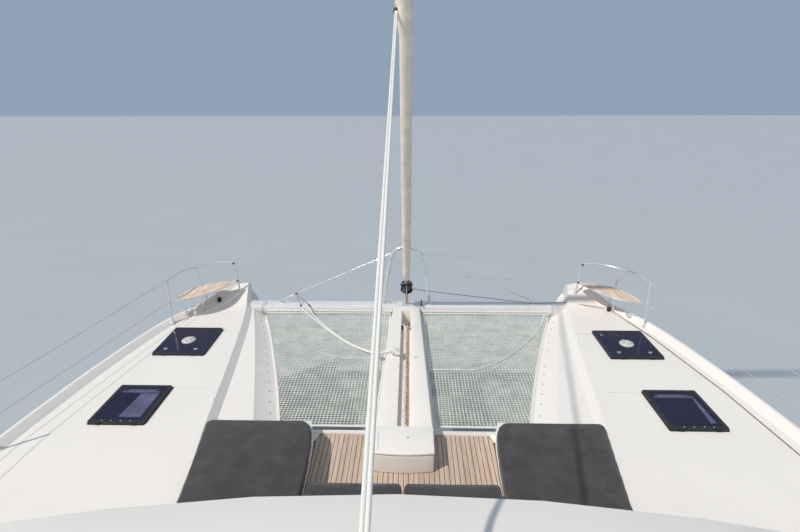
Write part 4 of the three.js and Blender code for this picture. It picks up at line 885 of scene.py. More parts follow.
# Ropes that lie loose on the nets: their routes in metres
BRIDLE = ((-1.765, 7.015, 1.917), (-1.740, 6.960, 1.912), (-1.690, 6.900, 1.892), (-1.600, 6.820, 1.853),
          (-1.482, 6.720, 1.813), (-1.369, 6.610, 1.784), (-1.260, 6.490, 1.769), (-1.164, 6.375, 1.765),
          (-1.035, 6.225, 1.764), (-0.907, 6.080, 1.764), (-0.790, 5.970, 1.766), (-0.676, 5.870, 1.774),
          (-0.570, 5.770, 1.792), (-0.480, 5.670, 1.826), (-0.410, 5.575, 1.868), (-0.350, 5.510, 1.912),
          (-0.300, 5.482, 1.945), (-0.255, 5.472, 1.958), (-0.215, 5.474, 1.958), (-0.150, 5.466, 1.962))
SLACK_LINE = ((0.240, 5.352, 1.792), (0.290, 5.346, 1.782), (0.362, 5.341, 1.765), (0.500, 5.343, 1.758),
              (0.677, 5.348, 1.7575), (0.830, 5.344, 1.7575), (0.954, 5.352, 1.7575), (1.045, 5.387, 1.7575),
              (1.130, 5.442, 1.7575), (1.238, 5.520, 1.7575), (1.351, 5.613, 1.7575), (1.468, 5.722, 1.7575),
              (1.601, 5.868, 1.7575), (1.720, 6.005, 1.7575), (1.850, 6.170, 1.7575), (2.004, 6.385, 1.7575),
              (2.150, 6.630, 1.758), (2.224, 6.800, 1.771), (2.262, 6.900, 1.802), (2.284, 6.965, 1.834),
              (2.298, 7.025, 1.850))
LOOSE_TAIL = ((-0.215, 5.430, 1.962), (-0.262, 5.440, 1.952), (-0.303, 5.470, 1.915), (-0.345, 5.525, 1.850),
              (-0.402, 5.592, 1.790), (-0.483, 5.640, 1.762), (-0.552, 5.660, 1.756), (-0.651, 5.648, 1.756),
              (-0.802, 5.635, 1.756), (-0.934, 5.648, 1.756), (-1.017, 5.672, 1.756), (-1.104, 5.708, 1.756),
              (-1.217, 5.772, 1.756), (-1.310, 5.829, 1.756))


def lay_rope(name, route, diameter, with_pieces=(), replaces=(), sides=10):
    """A rope along its route."""
    path = smooth_curve(route, 2)
    made = Form().tube(path, diameter / 2, sides).piece(name, [rope_braid()], "rope", sharp=80, replaces=replaces)
    return made


def hank():
    """The bridle's end, made up into turns that lie side by side on the centre beam."""
    form = Form()
    along, across = Vector((0.28, -0.96, 0)).normalized(), Vector((0.96, 0.28, 0)).normalized()
    middle = Vector((-0.145, 5.465, BEAM_TOP + 0.036))
    for k in range(5):
        shift, long = (k - 2) * 0.0215, 0.104 - 0.010 * abs(k - 2) + 0.006 * (k % 2)
        turn = [middle + across * (shift + 0.008 * math.sin(a * 2 + k)) + along * (long * math.cos(a) + 0.012 * (k - 2))
                + Vector((0, 0, 0.025 * math.sin(a))) for a in turn_of(20)]
        form.tube(turn, 0.0105, 8, looped=True)
    for shift in (-0.026, 0.0, 0.026):
        wrap = [middle + along * (shift + 0.008 * math.cos(a)) + across * (0.062 * math.cos(a))
                + Vector((0, 0, 0.040 * math.sin(a))) for a in turn_of(16)]
        wrap = [Vector((p.x, p.y, max(p.z, BEAM_TOP + 0.0085))) for p in wrap]
        form.tube(wrap, 0.0085, 8, looped=True)
    return form.piece("bridle_hank", [rope_braid()], "rope", sharp=80, replaces=("bridle_knot",))


def second_part():
    """The bridle's other part: its own way at the top, then close along the first down to the knot."""
    route = [(-1.620, 6.997, 1.935), (-1.606, 6.942, 1.925), (-1.573, 6.877, 1.893), (-1.508, 6.797, 1.845),
             (-1.408, 6.702, 1.806), (-1.318, 6.602, 1.781)]
    for before, at, after in zip(BRIDLE[6:], BRIDLE[7:], BRIDLE[8:]):
        along = (Vector(after) - Vector(before)).xy.normalized()
        route.append((at[0] - along.y * 0.0245, at[1] + along.x * 0.0245, at[2]))
    return route


def bridle_head(second):
    """Whipped ends of the bridle's two parts, with cords up to the port stay."""
    form = Form()
    stay = Vector((-1.857, 7.125, 2.110))
    for start, next_one in ((Vector(BRIDLE[0]), Vector(BRIDLE[1])), (Vector(second[0]), Vector(second[1]))):
        out = (start - next_one).normalized()
        eye = start + Vector((-0.010, -0.012, 0.040))
        form.tube([start - out * 0.02, start, eye], 0.015, 8, 1, radii=[0.014, 0.016, 0.010])
        for shift in (-0.006, 0.006):
            form.tube([eye + Vector((shift, 0, 0)), eye + (stay - eye) * 0.5 + Vector((shift, 0, -0.008)), stay],
                      0.0032, 6, 2)
    form.lathe(((0.010, -0.02), (0.014, 0), (0.010, 0.02)), stay, (2.1, 0.04, 0.93), 10, 1)
    return form.piece("bridle_head", [rope_braid(), black_braid(), rope_braid("grey cord", (0.30, 0.31, 0.32))],
                      "rope", sharp=80)


class CATAMARAN_OT_ropes(bpy.types.Operator):
    """Anchor bridle and the slack lines on the nets"""
    bl_idname = "catamaran.ropes"
    bl_label = "Loose ropes"

    def execute(self, context):
        lay_rope("bridle", BRIDLE, 0.024, (hank(),), ("bridle_rope",), 12)
        second = second_part()
        lay_rope("bridle_second_part", second, 0.023, sides=12)
        bridle_head(second)
        lay_rope("slack_line_starboard", SLACK_LINE, 0.014, replaces=("thin_rope",))
        lay_rope("loose_tail_port", LOOSE_TAIL, 0.010, sides=8)
        return {"FINISHED"}


# Nets between the crossbeam, the centre beam and the hulls
NET_FRONT, NET_AFT = 6.955, 4.140
BEAM_AFT = 3.902


def beam_half(y):
    return 0.304 + (0.208 - 0.304) * (y - BEAM_AFT) / (6.98 - BEAM_AFT)


def net_inner(y):
    return beam_half(y) + 0.052


def net_outer(y):
    return hull_at(min(max(y, 3.863), 7.2), "net_edge") - 0.016


def net_rise(y):
    """How far the lashings lift the net towards the crossbeam at its front edge."""
    return 0.085 * max(0.0, (y - 6.70) / (NET_FRONT - 6.70)) ** 2


def net_height(x, y, sag):
    u = (x - net_inner(y)) / max(net_outer(y) - net_inner(y), 0.01)
    v = (y - NET_AFT) / (NET_FRONT - NET_AFT)
    u, v = min(max(u, 0), 1), min(max(v, 0), 1)
    return NET - 0.004 - sag * 16 * u * (1 - u) * v * (1 - v) + net_rise(y)


def net_form(sizes, side):
    pitch, sag, radius = sizes.net_pitch, sizes.net_sag, sizes.net_strand / 2
    form = Form()
    wander = random.Random(11)

    def strand(start, end, count, lift):
        points = []
        for i in range(count + 1):
            t = i / count
            x, y = start[0] + (end[0] - start[0]) * t, start[1] + (end[1] - start[1]) * t
            loose = 0.0022 if 0 < i < count else 0
            pull = 0.010 * noise.noise(Vector((x * 1.7, y * 1.7, 3.0)))
            points.append((side * (x + wander.uniform(-loose, loose) + pull),
                           y + wander.uniform(-loose, loose) + pull, net_height(x, y, sag) + lift))
        form.tube(points, radius, 4)
    y = NET_AFT + pitch * 0.6
    while y < NET_FRONT:
        x0, x1 = net_inner(y), net_outer(y)
        strand((x0, y), (x1, y), max(3, round((x1 - x0) / (pitch * 4))), 0.0018)
        y += pitch
    x = net_inner(NET_FRONT) + pitch * 0.5
    while x < net_outer(NET_FRONT):
        low, high = NET_AFT, NET_FRONT
        if x < net_inner(NET_AFT):
            low = NET_AFT + (net_inner(NET_AFT) - x) / (0.096 / 3.078)
        if x > net_outer(NET_AFT):
            while net_outer(low) < x:
                low += 0.01
        if high - low > pitch:
            strand((x, low), (x, high), max(3, round((high - low) / (pitch * 2.5))), -0.0018)
        x += pitch
    return form


def net_edge_path(side, inset=0.0):
    """Round the net once, starting at its inner aft corner."""
    ys = [NET_AFT + (NET_FRONT - NET_AFT) * i / 28 for i in range(29)]
    inner = [(net_inner(y) + inset, y) for y in ys]
    outer = [(net_outer(y) - inset, y) for y in reversed(ys)]
    return [(side * x, y, NET + 0.002 + net_rise(y)) for x, y in inner + outer]


class CATAMARAN_OT_nets(bpy.types.Operator):
    """Nets with their edge ropes and lacing"""
    bl_idname = "catamaran.nets"
    bl_label = "Nets"

    def execute(self, context):
        sizes = context.scene.boat_sizes
        for name, side in SIDES:
            net_form(sizes, side).piece(f"net_{name}", [net_twine()], "net", replaces=(f"trampoline_{name}",))
            edge = Form()
            path = net_edge_path(side)
            edge.tube(path + path[:1], 0.011, 8)
            # lacing to the crossbeam: hanks that hang in scallops under its track
            x, step = net_inner(NET_FRONT) + 0.03, 0.105
            while x + step < net_outer(NET_FRONT):
                points = [(side * (x + step * t), NET_FRONT + 0.034 - 0.034 * abs(2 * t - 1) ** 2, NET + 0.089
                           + 0.034 * (1 - abs(2 * t - 1) ** 1.5)) for t in (k / 6 for k in range(7))]
                edge.tube(points, 0.0035, 5)
                x += step
            # flange on the hull's edge, with the lacing that pulls the net to it
            flange = [[(side * (hull_at(y, "net_edge") + out), y, NET + z) for out, z in
                       ((0.006, -0.004), (0.006, 0.012), (-0.012, 0.011), (-0.012, -0.004))]
                      for y in (4.12 + 0.19 * k for k in range(16))]
            edge.rings(flange, 1)
            y = NET_AFT + 0.03
            while y < NET_FRONT - 0.1:
                out = hull_at(y, "net_edge") - 0.03
                at = NET + net_rise(y)
                edge.tube([(side * net_outer(y), y, at), (side * out, y + 0.03, NET - 0.006),
                           (side * net_outer(y), y + 0.06, at)], 0.0022, 4)
                y += 0.085
            y = NET_AFT + 0.12
            while y < NET_FRONT:
                at = NET + 0.006 + net_rise(y)
                edge.tube([(side * net_inner(y), y, at), (side * (beam_half(y) + 0.012), y + 0.05, at + 0.024),
                           (side * net_inner(y + 0.1), y + 0.1, at)], 0.003, 5)
                y += 0.2
            edge.piece(f"net_edge_rope_{name}", [rope_braid(), gloss_gelcoat()], "rope")
            # black discs where the hull's lacing holes are: painted shade standing for the dark of each hole
            eyes = Form()
            y = NET_AFT + 0.18
            while y < NET_FRONT - 0.1:
                x, z = lace_eye(y)
                slope = Vector((side * -0.45, 0, 1)).normalized()
                eyes.lathe(((0.0085, -0.002), (0.0085, 0.002), (0.005, 0.003), (0.003, 0.001), (0.0, 0.001)),
                           (side * x, y, z), slope, 12)
                y += 0.22
            eyes.piece(f"lace_eyes_{name}", [black_fitting()], "black_fittings")
        return {"FINISHED"}


def lace_eye(y):
    """Where the hull's lacing strip has its eye: distance out and height."""
    edge, ridge = hull_at(y, "net_edge"), hull_at(y, "ridge")
    x = edge + 0.055 + 0.04 * min(1.0, (ridge - edge) / 0.3)
    return x, surface(x, y)


# Deck hatches
def hatch_frame(x0, x1, y0, y1, wide, z0, z1, form, kind, side, radius=0.022):
    """A flat frame of even width round a hatch."""
    outer = [(side * x, y) for x, y in box_outline(x0, x1, y0, y1, radius, 5)]
    inner = [(side * x, y) for x, y in box_outline(x0 + wide, x1 - wide, y0 + wide, y1 - wide, radius * 0.7, 5)]
    count = len(outer)
    rings = [[(x, y, z0) for x, y in outer], [(x, y, z1) for x, y in outer],
             [(x, y, z1) for x, y in inner], [(x, y, z0) for x, y in inner]]
    for near, far in ((0, 1), (1, 2), (2, 3), (3, 0)):
        points = rings[near] + rings[far]
        form.add(points, [(i, (i + 1) % count, count + (i + 1) % count, count + i) for i in range(count)], kind)


def hatch_lid(kind, name, side):
    x0, x1, y0, y1 = HATCHES[kind]
    low, front = DECK + 0.008, kind == "hatch_front"
    wide = 0.026 if front else 0.044
    lid = Form()
    hatch_frame(x0, x1, y0, y1, wide, low, low + 0.024, lid, 0, side)
    pane = [(side * x, y) for x, y in box_outline(x0 + wide - 0.002, x1 - wide + 0.002, y0 + wide - 0.002,
                                                  y1 - wide + 0.002, 0.016, 5)]
    lid.slab(pane, low + 0.006, low + (0.0255 if front else 0.021), 1)
    middle = (x0 + x1) / 2
    if front:
        # mushroom vent with its slots, in a pale moulding
        at = Vector((side * (middle - 0.01), y0 + 0.36, low + 0.025))
        lid.lathe(((0.098, 0), (0.098, 0.010), (0.085, 0.024), (0.055, 0.032), (0.0, 0.034)), at, sides=28, kind=2)
        # the slots are six small black discs on the dome: painted shade standing for the dark of the openings
        for turn in range(6):
            a = turn * math.pi / 3 + 0.5
            spot = at + Vector((math.cos(a), math.sin(a), 0)) * 0.060 + Vector((0, 0, 0.0295))
            lid.lathe(((0.010, 0), (0.010, 0.003), (0.0, 0.003)), spot, sides=10, kind=0)
        for out in (-0.21, 0.21):
            lid.lathe(((0.024, 0), (0.024, 0.006), (0.015, 0.012), (0.0, 0.013)),
                      (side * (middle + out), y0 + 0.115, low + 0.025), sides=16, kind=6)
            lid.tube([(side * (middle + out - 0.03), y0 + 0.115, low + 0.036),
                      (side * (middle + out + 0.03), y0 + 0.115, low + 0.036)], 0.007, 8, 6)
    else:
        for out in (-0.20, 0.20):
            lid.block((side * (middle + out) - 0.022, y1 - 0.115, low + 0.021),
                      (side * (middle + out) + 0.022, y1 - 0.075, low + 0.030), 0)
        # folded blind and its rail behind the glass, in one colour at two brightnesses: painted sunlight on the blind,
        # painted shade on the rail
        near, far = (x1 - 0.150, x1 - 0.085) if side > 0 else (middle + 0.02, x0 + 0.085)
        blind = [(side * near, y0 + 0.10), (side * far, y0 + 0.10),
                 (side * far, y1 - 0.17), (side * near + 0.04, y1 - 0.17)]
        lid.slab(blind, low + 0.0205, low + 0.0216, 4)
        lid.slab([(side * (x0 + 0.09), y1 - 0.155), (side * (x1 - 0.085), y1 - 0.155),
                  (side * (x1 - 0.085), y1 - 0.09), (side * (x0 + 0.09), y1 - 0.09)], low + 0.0205, low + 0.0214, 5)
        for k in range(4):
            lid.bolt((side * (x0 + 0.16 + 0.105 * k), y0 + 0.03, low + 0.024), radius=0.007, kind=3)
    for out in (-0.2, 0.2):
        # hinge leaf on the lid
        lid.block((side * (middle + out) - 0.03, y0 - 0.006, low + 0.006),
                  (side * (middle + out) + 0.03, y0 + 0.03, low + 0.028), 0)
    finishes = [black_fitting(), smoked_glass(), vent_plastic(), stainless(), blind_painted_sunlight(), blind_rail_painted_shade(),
                grey_fitting()]
    return lid.piece(f"{kind}_lid_{name}", finishes, "dark_glass", f"{kind}_{name}", bevel=0.002,
                     replaces=(f"{kind}_{name}",))


def vent_plastic():
    return plain_finish("vent moulding", (0.62, 0.58, 0.53), 0.4, 0.55, mottle=0.08, scale=20.0)


# A lighter copy of the rail's colour: the blind with painted sunlight in it.
def blind_painted_sunlight():
    return plain_finish("blind behind glass", (0.105, 0.088, 0.185), 0.05, 0.12, mottle=0.45, scale=5.0,
                        grain=8.0, depth=0.0005, coat=1.0)


# The blind's colour made darker, as painted shade on its rail.
def blind_rail_painted_shade():
    return plain_finish("lining behind glass", (0.085, 0.074, 0.15), 0.05, 0.12, mottle=0.4, scale=6.0,
                        grain=8.0, depth=0.0005, coat=1.0)


class CATAMARAN_OT_hatches(bpy.types.Operator):
    """Deck hatches with frames, vents, handles and hinges, and the wells under them"""
    bl_idname = "catamaran.hatches"
    bl_label = "Deck hatches"

    def execute(self, context):
        for name, side in SIDES:
            for kind in HATCHES:
                hatch_lid(kind, name, side)
                x0, x1, y0, y1 = HATCHES[kind]
                base = Form()
                hatch_frame(x0 - 0.006, x1 + 0.006, y0 - 0.006, y1 + 0.006, 0.06, DECK, DECK + 0.005, base, 0, side)
                middle = (x0 + x1) / 2
                for out in (-0.2, 0.2):
                    base.tube([(side * (middle + out) - 0.028, y0 - 0.010, DECK + 0.012),
                               (side * (middle + out) + 0.028, y0 - 0.010, DECK + 0.012)], 0.007, 8)
                base.piece(f"{kind}_base_{name}", [sealant()], "black_fittings")
                liner = Form()
                hatch_frame(x0 + 0.056, x1 - 0.056, y0 + 0.056, y1 - 0.056, 0.004, DECK - 0.178, DECK - 0.002,
                            liner, 0, side, 0.05)
                liner.piece(f"{kind}_liner_{name}", [gloss_gelcoat()], "gelcoat")
        return {"FINISHED"}


# Bows: pulpits with seats, fairleads, cleats and the furling line
def pulpit_form(side):
    form = Form()
    tops = [(x, y, RAIL_Z) for _, _, x, y in PULPIT_LEGS]
    crown = RAIL_Z + 0.01
    rail = smooth_curve([tops[0], (3.640, 6.850, crown), tops[1], (3.250, 7.270, crown), tops[2]], 8)
    form.tube(flipped(rail, side), 0.014, 12)
    for fx, fy, tx, ty in PULPIT_LEGS:
        low = Vector((fx, fy, surface(fx, fy) - 0.01))
        top = Vector((tx, ty, RAIL_Z + 0.004))
        bend = top - (top - low).normalized() * 0.06
        form.tube(flipped([low, bend, top], side), 0.0135, 12)
        foot = (side * fx, fy, surface(fx, fy))
        form.lathe(((0.034, -0.004), (0.034, 0.005), (0.020, 0.009), (0.0165, 0.03)), foot, sides=20)
        for k in range(3):
            a = 2 * math.pi * k / 3
            form.bolt((foot[0] + 0.027 * math.cos(a), fy + 0.027 * math.sin(a), foot[2] + 0.005), radius=0.004)
        form.lathe(((0.0, -0.015), (0.011, -0.013), (0.0155, 0), (0.011, 0.013), (0.0, 0.015)),
                   (side * top.x, top.y, top.z - 0.004), sides=12)
    return form


SEAT_EDGE = ((3.600, 6.440), (3.585, 6.640), (3.500, 6.880), (3.330, 7.080), (3.120, 7.190), (2.900, 7.240),
             (2.960, 7.060), (3.060, 6.860), (3.200, 6.660), (3.380, 6.510))


def bow_seat_form(side):
    """Two planks cut to a leaf, with a tube round them, on a short post."""
    form = Form()
    edge = [(v.x, v.y) for v in smooth_curve([Vector((x, y)) for x, y in SEAT_EDGE + SEAT_EDGE[:1]], 5)][:-1]
    a, b = Vector((3.600, 6.440)), Vector((2.900, 7.240))
    along = (b - a).normalized()
    across = Vector((-along.y, along.x))
    z = 2.270
    for low, high in ((-1.0, -0.004), (0.004, 1.0)):
        kept = []
        for i, p in enumerate(edge):
            q = edge[(i + 1) % len(edge)]
            d, e = (Vector(p) - a).dot(across), (Vector(q) - a).dot(across)
            if low <= d <= high:
                kept.append(p)
            for limit in (low, high):
                if (d - limit) * (e - limit) < 0:
                    t = (limit - d) / (e - d)
                    kept.append((p[0] + (q[0] - p[0]) * t, p[1] + (q[1] - p[1]) * t))
        form.slab([(side * x, y) for x, y in kept], z + 0.002, z + 0.023, 0)
    form.tube(flipped([(x, y, z + 0.012) for x, y in edge + edge[:1]], side), 0.009, 8, 1)
    middle = (a + b) / 2
    for t in (0.22, 0.5, 0.78):
        spot = a + (b - a) * t
        for k in (-0.05, 0.05):
            place = spot + across * k
            form.bolt((side * place.x, place.y, z + 0.0225), radius=0.006, high=0.002, kind=1)
    foot = Vector((3.335, 6.80))
    low = surface(foot.x, foot.y)
    form.tube([(side * foot.x, foot.y, low), (side * (foot.x - 0.02), foot.y + 0.01, z)], 0.011, 10, 1)
    form.lathe(((0.036, 0), (0.036, 0.005), (0.014, 0.009)), (side * foot.x, foot.y, low), sides=16, kind=1)
    form.tube([(side * (middle.x - across.x * 0.12), middle.y - across.y * 0.12, z - 0.006),
               (side * (middle.x + across.x * 0.12), middle.y + across.y * 0.12, z - 0.006)], 0.009, 8, 1)
    return form


def fold_cleat(form, x, y, side, kind=0, long=0.2, turn=0.0):
    """A flush cleat with its two horns up."""
    z = surface(x, y)
    along = Vector((math.sin(turn), math.cos(turn), 0))
    for t in (-1, 1):
        horn = smooth_curve([Vector((x, y, z + 0.01)) + along * t * long * 0.18,
                             Vector((x, y, z + 0.05)) + along * t * long * 0.22,
                             Vector((x, y, z + 0.055)) + along * t * long * 0.5], 4)
        form.tube(flipped(horn, side), 0.011, 8, kind, radii=[0.014 - 0.006 * i / 8 for i in range(len(horn))])
    form.slab([(side * px, py) for px, py in rounded(
        [(x - 0.032, y - long * 0.36), (x + 0.032, y - long * 0.36), (x + 0.032, y + long * 0.36),
         (x - 0.032, y + long * 0.36)], 0.03)], z, z + 0.012, kind)


class CATAMARAN_OT_bows(bpy.types.Operator):
    """Pulpits, bow seats, fairleads, cleats and small deck fittings"""
    bl_idname = "catamaran.bows"
    bl_label = "Bows"

    def execute(self, context):
        for name, side in SIDES:
            pulpit_form(side).piece(f"pulpit_tubes_{name}", [stainless()], "stainless", sharp=50,
                                    replaces=(f"pulpit_{name}",))
            bow_seat_form(side).piece(f"bow_seat_planks_{name}", [teak_wood("pale seat teak", 1.28), stainless()],
                                      "teak", bevel=0.002, replaces=(f"bow_seat_{name}",))
            small = Form()
            balls = ((3.148, 7.039),) if side < 0 else ((3.285, 6.846),)
            for x, y in balls:
                z = surface(x, y)
                small.lathe(((0.030, 0), (0.030, 0.012), (0.022, 0.016), (0.030, 0.026), (0.036, 0.045),
                             (0.030, 0.064), (0.016, 0.074), (0.0, 0.076)), (side * x, y, z), sides=18, kind=0)
            for y, turn in ((6.62, -0.5), (2.35, -0.03)):
                fold_cleat(small, hull_at(y, "gunwale") - 0.09, y, side, 1, 0.26, turn)
            for x, y in ((hull_at(5.95, "deck_edge") + 0.02, 5.95), (hull_at(4.35, "deck_edge") + 0.02, 4.35)):
                z = surface(x, y)
                small.lathe(((0.016, 0), (0.016, 0.008), (0.006, 0.014), (0.0, 0.015)), (side * x, y, z), sides=12,
                            kind=2)
            small.piece(f"deck_fittings_{name}", [black_fitting(), stainless(), gloss_gelcoat()], "stainless",
                        sharp=45)
        # moulding seams across the foredeck
        seams = Form()
        for side in (1, -1):
            for y, x0, x1 in ((6.055, 2.50, 2.74), (4.56, 2.42, 2.78)):
                seams.tube([(side * x0, y, DECK + 0.0005), (side * x1, y, DECK + 0.0005)], 0.0035, 6)
        seams.piece("deck_seams", [gasket_grey()], "gelcoat")
        line = Form()
        x, y = 3.285, 6.846
        path = [(0.11, 6.96, 2.27), (2.13, 7.10, 1.965), (2.62, 7.12, 1.985), (x, y, surface(x, y) + 0.045)]
        line.tube([path[0], path[1]], 0.005, 6)
        line.tube(path[1:3] + [path[3]], 0.005, 6)
        aft = [(x, y, surface(x, y) + 0.045)] + [(hull_at(yy, "gunwale") - 0.26 - 0.06 * (6.8 - yy) / 10, yy,
               surface(hull_at(yy, "gunwale") - 0.26, yy) + 0.012) for yy in (5.9, 4.6, 3.2, 1.8, 0.4, -1.0, -2.4)]
        line.tube(aft, 0.005, 6)
        line.piece("furling_line", [rope_braid("tan braid", (0.20, 0.165, 0.14))], "rope")
        return {"FINISHED"}


# Crossbeam, striker arch and the furler at the foot of the stay
ARCH_TOP = 2.96


def turnbuckle(form, a, b, kind=0, body=0.35, radius=0.012):
    """A screw on the lower end of a wire, from a towards b."""
    a, b = Vector(a), Vector(b)
    along = (b - a).normalized()
    form.tube([a, a + along * 0.03], radius * 0.9, 8, kind)
    form.tube([a + along * 0.03, a + along * body * 0.35], radius * 0.6, 8, kind)
    form.tube([a + along * body * 0.3, a + along * body * 0.34, a + along * body * 0.76, a + along * body * 0.8],
              radius, 10, kind, radii=[radius * 0.7, radius, radius, radius * 0.7])
    form.tube([a + along * body * 0.78, a + along * body], radius * 0.55, 8, kind)


def shackle(form, place, wide=0.03, high=0.05, radius=0.005, kind=0, turn=0.0):
    x, y, z = place
    c, s = math.cos(turn), math.sin(turn)
    bow = [(x + c * wide / 2 * u, y + s * wide / 2 * u, z + high * v)
           for u, v in ((-1, 0), (-1, 0.55), (-0.7, 0.9), (0, 1.0), (0.7, 0.9), (1, 0.55), (1, 0))]
    form.tube(bow, radius, 8, kind)
    form.tube([(x - c * wide * 0.75, y - s * wide * 0.75, z + 0.002),
               (x + c * wide * 0.75, y + s * wide * 0.75, z + 0.002)],
              radius * 1.1, 8, kind)


class CATAMARAN_OT_crossbeam(bpy.types.Operator):
    """Crossbeam with its track, striker arch, stays and furler"""
    bl_idname = "catamaran.crossbeam"
    bl_label = "Crossbeam and arch"

    def execute(self, context):
        keep_solid("crossbeam", spar_aluminium(), 0.0)
        form = Form()
        # net track along the aft side, end collars and their lashings
        form.block((-2.36, 6.972, 1.850), (-0.24, 6.992, 1.872), 0)
        form.block((0.24, 6.972, 1.850), (2.36, 6.992, 1.872), 0)
        for side in (-1, 1):
            end = hull_at(7.12, "net_edge")
            ring = [(0.62, 0.004), (0.9, -0.008), (1.04, -0.045), (1.04, -0.1), (0.85, -0.165), (0.45, -0.206)]
            outline = [(CROSSBEAM_Y - 0.131 * a, 1.945 + z) for a, z in ring]
            outline += [(CROSSBEAM_Y + 0.131 * a, 1.945 + z) for a, z in reversed(ring)]
            form.rings([[(side * x, y, z) for y, z in outline] for x in (end - 0.035, end - 0.005)], 1)
            form.tube([(side * (end - 0.06), 6.985, 1.955), (side * (end - 0.065), 7.12, 1.962),
                       (side * (end - 0.06), 7.262, 1.90)], 0.006, 6, 2)
        form.piece("crossbeam_fittings", [spar_aluminium(), gasket_grey(), rope_braid()], "mast_aluminium",
                   bevel=0.002)

        arch = Form()
        foot = 1.9454
        rise = ((0.395, 0.0, foot), (0.330, 0.020, foot + 0.42), (0.215, 0.035, ARCH_TOP - 0.13))
        path = [(-x, CROSSBEAM_Y + lean, z) for x, lean, z in rise] + [(0, CROSSBEAM_Y + 0.04, ARCH_TOP - 0.028)]
        path += [(x, CROSSBEAM_Y + lean, z) for x, lean, z in reversed(rise)]
        arch.tube(smooth_curve(path, 8), 0.0275, 16)
        for side in (-1, 1):
            top, low = (side * 0.03, CROSSBEAM_Y + 0.038, ARCH_TOP - 0.04), (side * 2.13, CROSSBEAM_Y, foot + 0.045)
            arch.tube([low, top], 0.0075, 8)
            turnbuckle(arch, low, top, 0, 0.30, 0.014)
            arch.lathe(((0.062, 0), (0.062, 0.010), (0.034, 0.016), (0.030, 0.04)), (side * 0.395, CROSSBEAM_Y, foot),
                       sides=20)
            for k in range(4):
                a = math.pi / 4 + k * math.pi / 2
                arch.bolt((side * 0.395 + 0.047 * math.cos(a), CROSSBEAM_Y + 0.047 * math.sin(a), foot + 0.010),
                          radius=0.007)
            for x, z in ((0.255, ARCH_TOP - 0.20), (0.352, foot + 0.30)):
                arch.tube([(side * x, CROSSBEAM_Y + 0.01, z), (side * (x + 0.04), CROSSBEAM_Y - 0.02, z + 0.005)],
                          0.008, 8)
            arch.block((side * 2.13 - 0.05, CROSSBEAM_Y - 0.035, foot), (side * 2.13 + 0.05, CROSSBEAM_Y + 0.035,
                       foot + 0.012))
            arch.block((side * 2.13 - 0.006, CROSSBEAM_Y - 0.022, foot + 0.01), (side * 2.13 + 0.006,
                       CROSSBEAM_Y + 0.022, foot + 0.062))
        for x in (-0.30, -0.24):
            shackle(arch, (x, CROSSBEAM_Y - 0.03, foot), 0.05, 0.075, 0.006, 0)
        arch.tube([(-0.33, CROSSBEAM_Y + 0.01, foot + 0.003), (-0.20, CROSSBEAM_Y - 0.02, foot + 0.003)], 0.008, 6, 0)
        # cleat on the beam beside the stay
        for t in (-1, 1):
            arch.tube(smooth_curve([(0.245, CROSSBEAM_Y - 0.06 + t * 0.02, foot), (0.245, CROSSBEAM_Y - 0.06 + t * 0.03,
                      foot + 0.035), (0.255, CROSSBEAM_Y - 0.06 + t * 0.10, foot + 0.045)], 4), 0.010, 8, 1)
        arch.piece("arch_and_stays", [stainless(), black_fitting()], "stainless", sharp=50,
                   replaces=("striker_arch",))
        furler()
        jib()
        return {"FINISHED"}


STAY_FOOT, STAY_HEAD = Vector((0, 7.09, 2.01)), Vector((0, -0.885, 20.36))
DRUM_Z = 2.31


def on_stay(z):
    return STAY_FOOT + (STAY_HEAD - STAY_FOOT) * ((z - STAY_FOOT.z) / (STAY_HEAD.z - STAY_FOOT.z))


